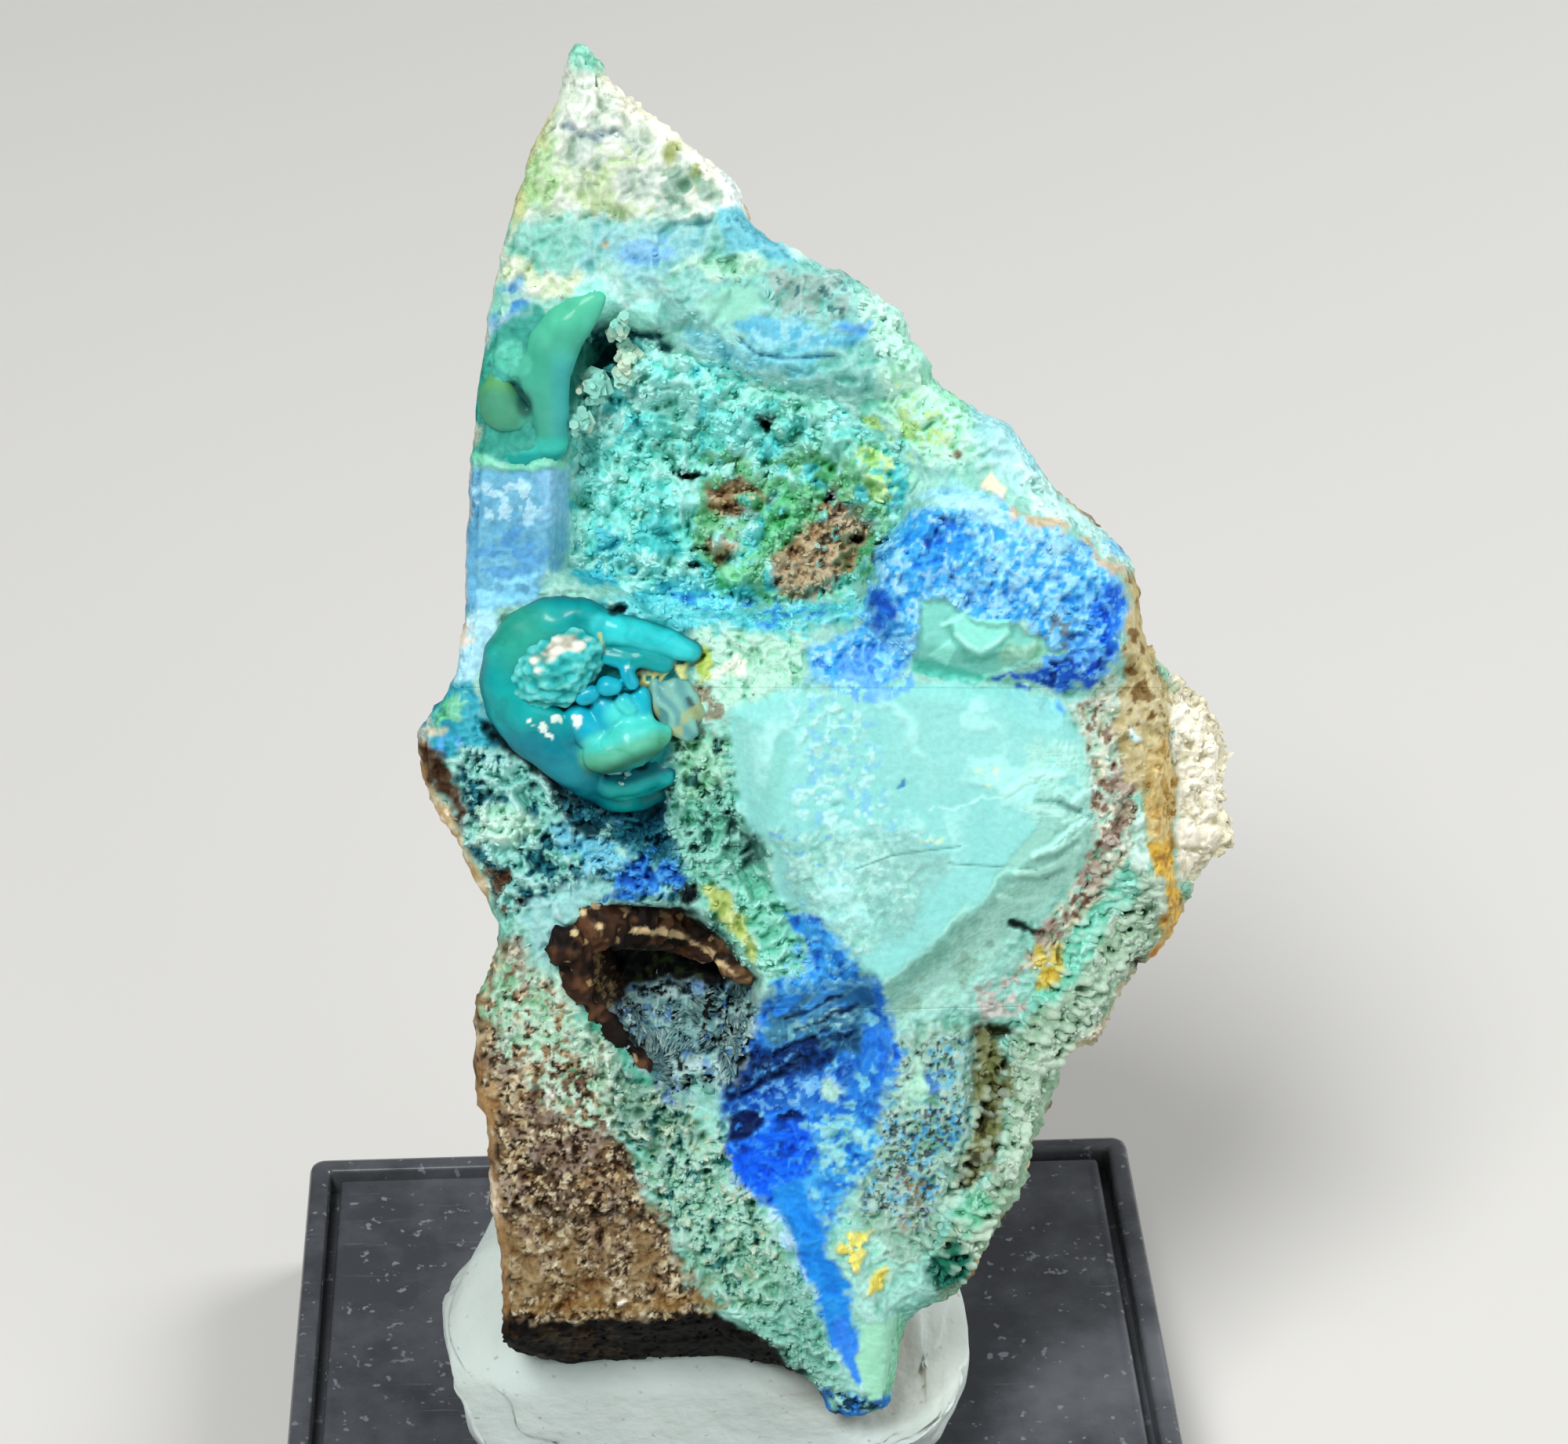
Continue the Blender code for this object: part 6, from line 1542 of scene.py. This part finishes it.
knob_tint = stain(coat(spots, "#12AEC6"), "#4EDCD6",
                  smooth_step((0.75 - spot_distance(spots, -3.35, 25.25)) / 0.5))
tint = tint + (knob_tint - tint) * (0.85 * knobs * smooth_step((height - 0.1) / 0.5))[:, None]
# The tongue is painted lit along its top and shaded along its lower edge.
tongue_inside = 0.85 - edge_distance(spots, path_of(TONGUE), closed=False)
on_tongue = smooth_step(tongue_inside / 0.3) * smooth_step((height - 0.45) / 0.3)
tongue_axis = np.interp(spots[:, 0], *zip(*path_of(TONGUE)))
tongue_tint = stain(coat(spots, "#1A6650"), "#56B294",
                    smooth_step((spots[:, 1] - tongue_axis + 0.6) / 0.45))
tongue_tint = stain(tongue_tint, "#48CCC0", smooth_step((spots[:, 1] - tongue_axis + 0.1) / 0.45))
tint = blend(tint, tongue_tint, on_tongue)
# Painted shade where the rolls meet the face and in the gaps between them.
tint = stain(tint, "#06404E", smooth_step((0.1 - height) / 0.35))
for gap_u, gap_v, gap_size in ROLL_GAPS:
    gap = np.hypot(spots[:, 0] - gap_u, (spots[:, 1] - gap_v) * 1.6)
    tint = stain(tint, "#02161C", 0.9 * smooth_step((gap_size - gap) / 0.12)
                 * smooth_step((0.85 - height) / 0.25))
for speck_u, speck_v, speck_size in ROLL_SPECKS:
    speck = spot_distance(spots, speck_u, speck_v) + 0.1 * noise(spots, 0.15, 116)
    tint = stain(tint, "#DCEBE4", smooth_step((speck_size - speck) / 0.05))
splinter = edge_distance(spots, [(-4.02, 27.8), (-3.9, 27.25)], closed=False)
tint = stain(tint, "#D2D290", smooth_step((0.07 - splinter) / 0.04))
# Painted shade on the steep sides and in the creases, over a random mottle.
steep = smooth_step((0.55 - stone_normals(rolls.data)[:, 2]) / 0.6)
creases = smooth_step((0.12 - np.abs(noise(spots, 0.9, 122, 2))) / 0.1)
mottle_and_shade = 1.0 - 0.45 * steep + 0.2 * noise(spots, 0.7, 119, 3) - 0.15 * creases
paint_mesh(rolls.data, shaded(tint, mottle_and_shade), 0.78)

# Fine-grained chrysocolla: the dome's closely packed beads, dusted with white on top.
dome = remeshed("granular_dome", run_of_balls([DOME]), ROLL_VOXEL, 2, crust_finish)
spots = stone_points(dome.data)
distance, _ = grains(spots * (0.75, 1.25, 1.0), 0.34, 117)
wrinkle = ridged(spots, 0.36, 118)
spots = push_out(dome, spots, 0.2 * (0.5 - distance) + 0.05 * wrinkle)
dusted = edge_distance(spots, [(-6.1, 26.95), (-5.3, 27.35), (-4.5, 27.95)], closed=False)
white = smooth_step((0.54 + 0.4 * noise(spots, 0.5, 114, 2) - dusted - 0.3 * distance) / 0.3)
# Painted light: lighter on the wrinkles' ridges.
tint = stain(coat(spots, "#46C4C4"), "#86DACE", 0.5 * smooth_step(wrinkle))
tint = stain(tint, "#E4E4D8", white)
# Painted shade in the seams between the beads.
seam_shade = smooth_step((distance - 0.35) / 0.4)
tint = shaded(tint, np.clip(1.02 + 0.12 * wrinkle - 0.6 * seam_shade, 0.25, 1.1))
paint_mesh(dome.data, tint, 0.3)

# The ribbon, greener at its left and blue-green at its foot; painted lighter with height, with a
# painted highlight near its top and painted shade in its pit and lowest parts.
ribbon = remeshed("green_ribbon", run_of_balls(RIBBON, 0.6), ROLL_VOXEL, 10, wax_finish)
spots = stone_points(ribbon.data)
spots = push_out(ribbon, spots, 0.1 * noise(spots, 1.3, 120, 2))
height = spots[:, 2] - front(spots[:, :2])
# Painted light: lighter with height and near the top.
tint = stain(coat(spots, "#1F706A"), "#3FA48A",
             smooth_step((height + 0.1 + 0.25 * noise(spots, 0.8, 121)) / 0.5))
tint = stain(tint, "#55C4A0",
             0.8 * smooth_step((spots[:, 1] - 36.3 - 0.5 * (spots[:, 0] + 5.3)) / 1.0))
tint = stain(tint, "#36A4AC",
             0.6 * smooth_step((spots[:, 0] + 5.6) / 0.5) * smooth_step((36.6 - spots[:, 1]) / 0.8))
left_mass = smooth_step((-6.25 - spots[:, 0]) / 0.3) * smooth_step((spots[:, 1] - 33.95) / 0.3)
tint = stain(tint, "#3F8C6A", 0.9 * left_mass)
tint = stain(tint, "#5CA85A", 0.7 * left_mass * smooth_step((spots[:, 1] - 35.0) / 0.6))
bridge = edge_distance(spots, path_of(RIBBON[2]), closed=False)
tint = stain(tint, "#58BEA4", smooth_step((0.45 - bridge) / 0.2))
# Painted shade in the pit.
pit = np.hypot(spots[:, 0] + 6.25, (spots[:, 1] - 34.8) * 0.7)
tint = stain(tint, "#174A42", 0.85 * smooth_step((0.36 - pit) / 0.2))
tint = stain(tint, "#30B8A8", 0.85 * smooth_step((33.95 - spots[:, 1]) / 0.25))
tint = stain(tint, "#048C88", 0.85 * smooth_step((33.5 - spots[:, 1]) / 0.25))
# Painted shade where it sinks under the face.
tint = stain(tint, "#14585E", smooth_step((-0.2 - height) / 0.3))
tint = shaded(tint, 1.0 + 0.15 * noise(spots, 0.8, 123, 3))
paint_mesh(ribbon.data, tint, 0.5)

# The curl beside the rolls: fibres side by side, as fine ribs.
curl = remeshed("fibrous_curl", run_of_balls(CURL), ROLL_VOXEL, 4, wax_finish)
spots = stone_points(curl.data)
ribs = np.sin(12.0 * (edge_distance(spots, [(-2.5, 26.2), (-1.9, 24.8), (-1.2, 23.9)], closed=False)
                      + 0.16 * noise(spots, 0.7, 124)))
spots = push_out(curl, spots, 0.035 * ribs + 0.05 * noise(spots, 0.4, 126))
# Painted light: lighter on the ribs' crests.
tint = stain(coat(spots, "#5A9A9A"), "#7CB8AC", smooth_step(ribs * 0.5 + 0.5))
# Painted shade in the crevice along its side.
crevice = edge_distance(spots, [(-1.25, 25.75), (-0.95, 25.1), (-0.85, 24.6)], closed=False)
tint = stain(tint, "#24403E", 0.8 * smooth_step((0.14 - crevice) / 0.1))
tint = stain(tint, "#A9B478", smooth_step((noise(spots, 0.6, 125, 2) - 0.2) / 0.2) * 0.7)
paint_mesh(curl.data, tint, 0.45)

# Brown goethite rind: half-glossy and knobbly, with a paler broken edge.
BROKEN_EDGE = [(-3.1, 18.2), (-2.2, 18.15), (-1.4, 17.8), (-0.5, 17.25), (0.3, 16.6)]
RIND_CHIPS = [(-4.75, 18.85), (-4.2, 18.4), (-5.0, 18.2)]
rind_finish = crust_material("goethite_rind", gritty=0.4)
rind = remeshed("pocket_rind", run_of_balls(RIND, 0.8), ROLL_VOXEL, 2, rind_finish)
spots = stone_points(rind.data)
distance, number = grains(spots, 0.2, 131)
knobbly = ridged(spots, 0.6, 132)
spots = push_out(rind, spots, 0.16 * knobbly + 0.07 * (0.5 - distance))
# Lighter on the knobs: partly painted light, partly random tone.
tint = stain(coat(spots, "#2C1A10"), "#5C3E28",
             smooth_step(0.5 * knobbly + noise(spots, 0.5, 133, 2)))
tint = stain(tint, "#120A06", smooth_step((noise(spots, 0.9, 134, 2) - 0.05) / 0.3))
tint = stain(tint, "#B09468", smooth_step((number - 0.95) / 0.02) * 0.7)
right = smooth_step((spots[:, 0] + 1.6) / 1.5)
tint = stain(tint, "#7E6244", 0.6 * right * smooth_step(noise(spots, 0.35, 136, 2) + 0.4))
broken = edge_distance(spots, BROKEN_EDGE, closed=False) - 0.12 * noise(spots, 0.25, 137)
tint = stain(tint, "#CDB488", smooth_step((0.13 - broken) / 0.1))
for chip_u, chip_v in RIND_CHIPS:
    chip = spot_distance(spots, chip_u, chip_v)
    tint = stain(tint, "#D6C08E", smooth_step((0.15 - chip) / 0.06))
paint_mesh(rind.data, tint, 0.45 + 0.25 * noise(spots, 0.5, 135))


# ---------------------------------------------------------------- grains
# Small faceted lumps scattered over the skin, the vug's crust and the stone's cream parts, each
# tinted as what it grows on.  Then the beaded rim, the vug's pale crystals and the needles.
GRAIN_ROUGHNESS = 1.1  # how far a lump's corners are pushed, of its radius
GRAIN_SPANS = (0.5, 1.4)  # of the given size
GRAIN_SHAPES = ((0.5, 0.5, 0.7), (1.0, 1.0, 2.1))


def grain_scatter(name, host, size, density, seed, finish):
    """Small lumps over the host where its 'cover' is high; one closed mesh of them."""
    tree = bpy.data.node_groups.new(name, "GeometryNodeTree")
    for way in ("INPUT", "OUTPUT"):
        tree.interface.new_socket("Geometry", in_out=way, socket_type="NodeSocketGeometry")
    surface = tree.nodes.new("NodeGroupInput").outputs[0]
    cover = add_node(tree, "GeometryNodeInputNamedAttribute", data_type="FLOAT", in_Name="cover")
    where = add_node(tree, "ShaderNodeMath", {1: cover.outputs[0]}, operation="MULTIPLY",
                     in_0=density)
    scattered = add_node(tree, "GeometryNodeDistributePointsOnFaces",
                         {"Mesh": surface, "Density": where.outputs[0]}, in_Seed=seed)
    lump = add_node(tree, "GeometryNodeMeshIcoSphere", in_Radius=1.0, in_Subdivisions=1)
    place = add_node(tree, "GeometryNodeInputPosition").outputs[0]
    bumps = add_node(tree, "ShaderNodeTexNoise", {"Vector": place}, in_Scale=1.1)
    push = add_node(tree, "ShaderNodeVectorMath", {0: bumps.outputs["Color"]}, operation="SUBTRACT",
                    in_1=(0.5, 0.5, 0.5))
    push = add_node(tree, "ShaderNodeVectorMath", {0: push.outputs[0]}, operation="SCALE",
                    in_Scale=GRAIN_ROUGHNESS)
    lump = add_node(tree, "GeometryNodeSetPosition", {"Geometry": lump.outputs["Mesh"],
                                                      "Offset": push.outputs[0]})
    spin = add_node(tree, "FunctionNodeRandomValue", data_type="FLOAT_VECTOR", in_1=(6.3, 6.3, 6.3))
    span = add_node(tree, "FunctionNodeRandomValue", data_type="FLOAT", in_2=GRAIN_SPANS[0],
                    in_3=GRAIN_SPANS[1], in_Seed=5)
    stretch = add_node(tree, "FunctionNodeRandomValue", data_type="FLOAT_VECTOR",
                       in_0=GRAIN_SHAPES[0], in_1=GRAIN_SHAPES[1], in_Seed=9)
    sized = add_node(tree, "ShaderNodeMath", {1: span.outputs[1]}, operation="MULTIPLY",
                     in_0=size * MM)
    scale = add_node(tree, "ShaderNodeVectorMath",
                     {0: stretch.outputs[0], "Scale": sized.outputs[0]}, operation="SCALE")
    lumps = add_node(tree, "GeometryNodeInstanceOnPoints",
                     {"Points": scattered.outputs["Points"], "Instance": lump.outputs["Geometry"],
                      "Rotation": spin.outputs[0], "Scale": scale.outputs[0]})
    lumps = add_node(tree, "GeometryNodeRealizeInstances", {"Geometry": lumps.outputs[0]})
    coated = add_node(tree, "GeometryNodeSetMaterial", {"Geometry": lumps.outputs[0]},
                      in_Material=finish)
    tree.links.new(coated.outputs[0], tree.nodes.new("NodeGroupOutput").inputs[0])

    piece = new_piece(name, host.data.copy())
    piece.modifiers.new(name, "NODES").node_group = tree
    keep_result(piece)
    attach(piece, "root")
    return piece


GRAIN_SIZE = 0.085  # mm
VUG_GRAIN_SIZE = 0.09
GRAIN_DEPTH = 0.5  # mm, no grains farther under the face than this
GRAINY_TILES = [  # grains to the square metre
    ("skin_lower", 1.4e7, GRAIN_SIZE), ("skin_middle", 1.2e7, GRAIN_SIZE),
    ("skin_upper", 1.1e7, GRAIN_SIZE), ("vug_lining", 1.7e7, VUG_GRAIN_SIZE),
]
for seed, (tile_name, density, size) in enumerate(GRAINY_TILES, 1):
    host = bpy.data.objects[tile_name]
    spots = stone_points(host.data)
    outer = front(spots[:, :2]) - roll_off(spots[:, :2]) - spots[:, 2] < GRAIN_DEPTH
    grainy = paint(spots[:, :2])[2]
    clumps = smooth_step(noise(spots[:, :2], 0.9, 140 + seed, 2) + 0.6)
    cover = outer * smooth_step((grainy - 0.09) / 0.14) * clumps
    point_values(host.data, "cover", np.clip(cover, 0.0, 1.0))
    piece = grain_scatter(tile_name + "_grains", host, size, density, seed, crust_finish)

# Staggered rows of beads along the lower right rim, each longer across the rim than along it.
RIM_LINE = [(7.4, 6.4), (8.6, 9.0), (9.8, 12.4), (10.9, 14.4), (12.4, 16.6), (13.1, 18.6),
            (13.3, 20.6)]
RIM_ROLL = 0.85  # of the face's roll-off
BEAD_ROWS = 5
BEAD_ROW_STEP = 0.42
BEAD_START = -0.3  # mm, the outermost row's place inwards of the line
BEAD_SPACING = 0.34
BEAD_RADIUS = 0.2
BEAD_VOXEL = 0.075
BEAD_SHAPE = Matrix.Diagonal((0.75, 1.5, 1.1, 1.0))
bead_shape = bmesh.new()
for row in range(BEAD_ROWS):
    travelled = row * BEAD_SPACING / 2
    for (u0, v0), (u1, v1) in zip(RIM_LINE, RIM_LINE[1:]):
        length = math.hypot(u1 - u0, v1 - v0)
        while travelled < length:
            part, inward = travelled / length, row * BEAD_ROW_STEP + BEAD_START
            spot = np.array([[u0 + part * (u1 - u0) - inward * (v1 - v0) / length,
                              v0 + part * (v1 - v0) + inward * (u1 - u0) / length]])
            jitter = [noise(spot * 9, 1.0, 151 + k)[0] for k in range(4)]
            spot += 0.1 * np.array([jitter[:2]])
            w = front(spot)[0] - roll_off(spot)[0] * RIM_ROLL + 0.1 * jitter[3]
            turn = Matrix.Rotation(math.atan2(v1 - v0, u1 - u0) + 0.35 * jitter[2], 4, "Z")
            bmesh.ops.create_icosphere(
                bead_shape, subdivisions=2, radius=(BEAD_RADIUS + 0.05 * jitter[2]) * MM,
                matrix=on_stone(*spot[0], w) @ turn @ BEAD_SHAPE)
            travelled += BEAD_SPACING
        travelled -= length
beads = remeshed("beaded_rim", bead_shape, BEAD_VOXEL, 1, crust_finish)
spots = stone_points(beads.data)
distance, _ = grains(spots, 0.2, 154)
spots = push_out(beads, spots, 0.08 * (0.55 - distance) + 0.06 * noise(spots, 0.5, 155))
tint = paint(spots[:, :2])[0]
height = spots[:, 2] - front(spots[:, :2]) + roll_off(spots[:, :2]) * RIM_ROLL
# Painted shade low between the beads and painted highlights on their tops.
tint = shaded(tint, np.clip(0.7 + 1.7 * height - 0.3 * (distance - 0.4), 0.2, 1.1))
tint = stain(tint, "#D2E6D4", 0.35 * smooth_step((height - 0.16) / 0.15))
paint_mesh(beads.data, tint, 0.2)

# Cream crystals over the chunk at the right and on the stone's back.
QUARTZ_SIZE = 0.19  # mm
QUARTZ_DENSITY = 6.0e6  # to the square metre
spots = stone_points(stone.data)
chunk = smooth_step((spots[:, 0] - 13.4) / 0.8) * smooth_step((spots[:, 1] - 18.5) / 1.0)
cover = np.maximum(chunk, 0.22 * rear) * (spots[:, 1] > 4.0)
point_values(stone.data, "cover", np.clip(cover, 0.0, 1.0))
quartz = grain_scatter("cream_crystals", stone, QUARTZ_SIZE, QUARTZ_DENSITY, 7,
                       stone.data.materials[0])

# The vug's clusters of pale six-sided crystals, each leaning out from its cluster's middle.
CRYSTAL_GROUPS = [  # u, v, size and count
    (-3.05, 36.0, 0.5, 30), (-4.15, 35.35, 0.45, 22), (-4.5, 34.3, 0.35, 14),
    (-3.3, 37.05, 0.35, 12),
]
FULL_TURN = 6.283
THIRD_TURN = 2.094
CRYSTAL_RISE = 1.5  # mm over the face
crystal_shape = bmesh.new()
for group_u, group_v, group_size, group_count in CRYSTAL_GROUPS:
    for k in range(group_count):
        spin = FULL_TURN * hashed(k, group_count, 1, 161)
        reach = group_size * hashed(k, group_count, 2, 162) ** 0.6
        spot = np.array([[group_u + reach * math.cos(spin),
                          group_v + 1.3 * reach * math.sin(spin)]])
        w = (front(spot)[0] + CRYSTAL_RISE + 0.9 * (1.0 - reach / group_size)
             + 0.2 * hashed(k, group_count, 3, 163))
        size = 0.11 + 0.08 * hashed(k, group_count, 4, 164)
        tilt = Matrix.Rotation(0.9 * reach / group_size + 0.3 * k, 4, "X")
        bmesh.ops.create_cone(
            crystal_shape, cap_ends=True, segments=6, radius1=size * MM, radius2=0.75 * size * MM,
            depth=size * 2.6 * MM,
            matrix=on_stone(*spot[0], w) @ (Matrix.Rotation(spin, 4, "Z") @ tilt))
crystal_mesh = mesh_from(crystal_shape, "pale_crystals")
pale_crystals = new_piece("pale_crystals", crystal_mesh, crust_finish)
spots = stone_points(crystal_mesh)
tint = stain(coat(spots, "#8ED2C4"), "#C8DCC4", smooth_step(noise(spots, 0.8, 165, 2) + 0.5))
paint_mesh(crystal_mesh, tint, 0.3)
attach(pale_crystals, "root")

# The needle tufts that stand in the pocket: thin three-sided spikes, darkened towards the foot by
# painted shade.
NEEDLE_TRIES = 1000
# Painted shade: the foot's brightness is this share of the tip's.
NEEDLE_FOOT_SHADE = 0.35  # its brightness, of the tip's
TUFT_FIELD = [(-3.7, 15.9), (-2.5, 16.3), (0.4, 16.1), (0.6, 14.9), (0, 13.3), (-1.9, 12.8),
              (-2.8, 13.9)]
needle_points, needle_faces, needle_tints = [], [], []
for k in range(NEEDLE_TRIES):
    spot = np.array([[-3.8 + 4.6 * hashed(k, 1, 0, 171), 12.6 + 3.8 * hashed(k, 2, 0, 172)]])
    if edge_distance(spot, TUFT_FIELD)[0] < 0.0:
        continue
    clump = np.array([noise(spot, 0.9, 173)[0], noise(spot, 0.9, 174)[0]])
    lean = 0.7 * clump + 0.6 * np.array([hashed(k, 3, 0, 175) - 0.5, hashed(k, 4, 0, 176) - 0.5])
    foot = np.array([spot[0, 0], spot[0, 1], front(spot)[0] + 0.2])
    length = 0.32 + 0.28 * hashed(k, 5, 0, 177)
    tip = foot + length * np.array([lean[0], lean[1], 1.0])
    width = 0.09 + 0.06 * hashed(k, 6, 0, 178)
    first = len(needle_points)
    for corner in range(3):
        turn = THIRD_TURN * corner + FULL_TURN * hashed(k, 7, 0, 179)
        needle_points.append(foot + width * np.array([math.cos(turn), math.sin(turn), 0.0]))
    needle_points.append(tip)
    needle_faces += [(first + 2, first + 1, first), (first, first + 1, first + 3),
                     (first + 1, first + 2, first + 3), (first + 2, first, first + 3)]
    shade = hashed(k, 8, 0, 180)
    tip_tint = colour("#6AA0AA") + (colour("#BCDCD6") - colour("#6AA0AA")) * shade
    needle_tints += [tip_tint * NEEDLE_FOOT_SHADE] * 3 + [tip_tint]
needle_mesh = bpy.data.meshes.new("needle_tufts")
needle_mesh.from_pydata(placed(np.array(needle_points)).tolist(), [], needle_faces)
needles = new_piece("needle_tufts", needle_mesh, crust_finish)
paint_mesh(needle_mesh, np.array(needle_tints), 0.35)
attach(needles, "root")
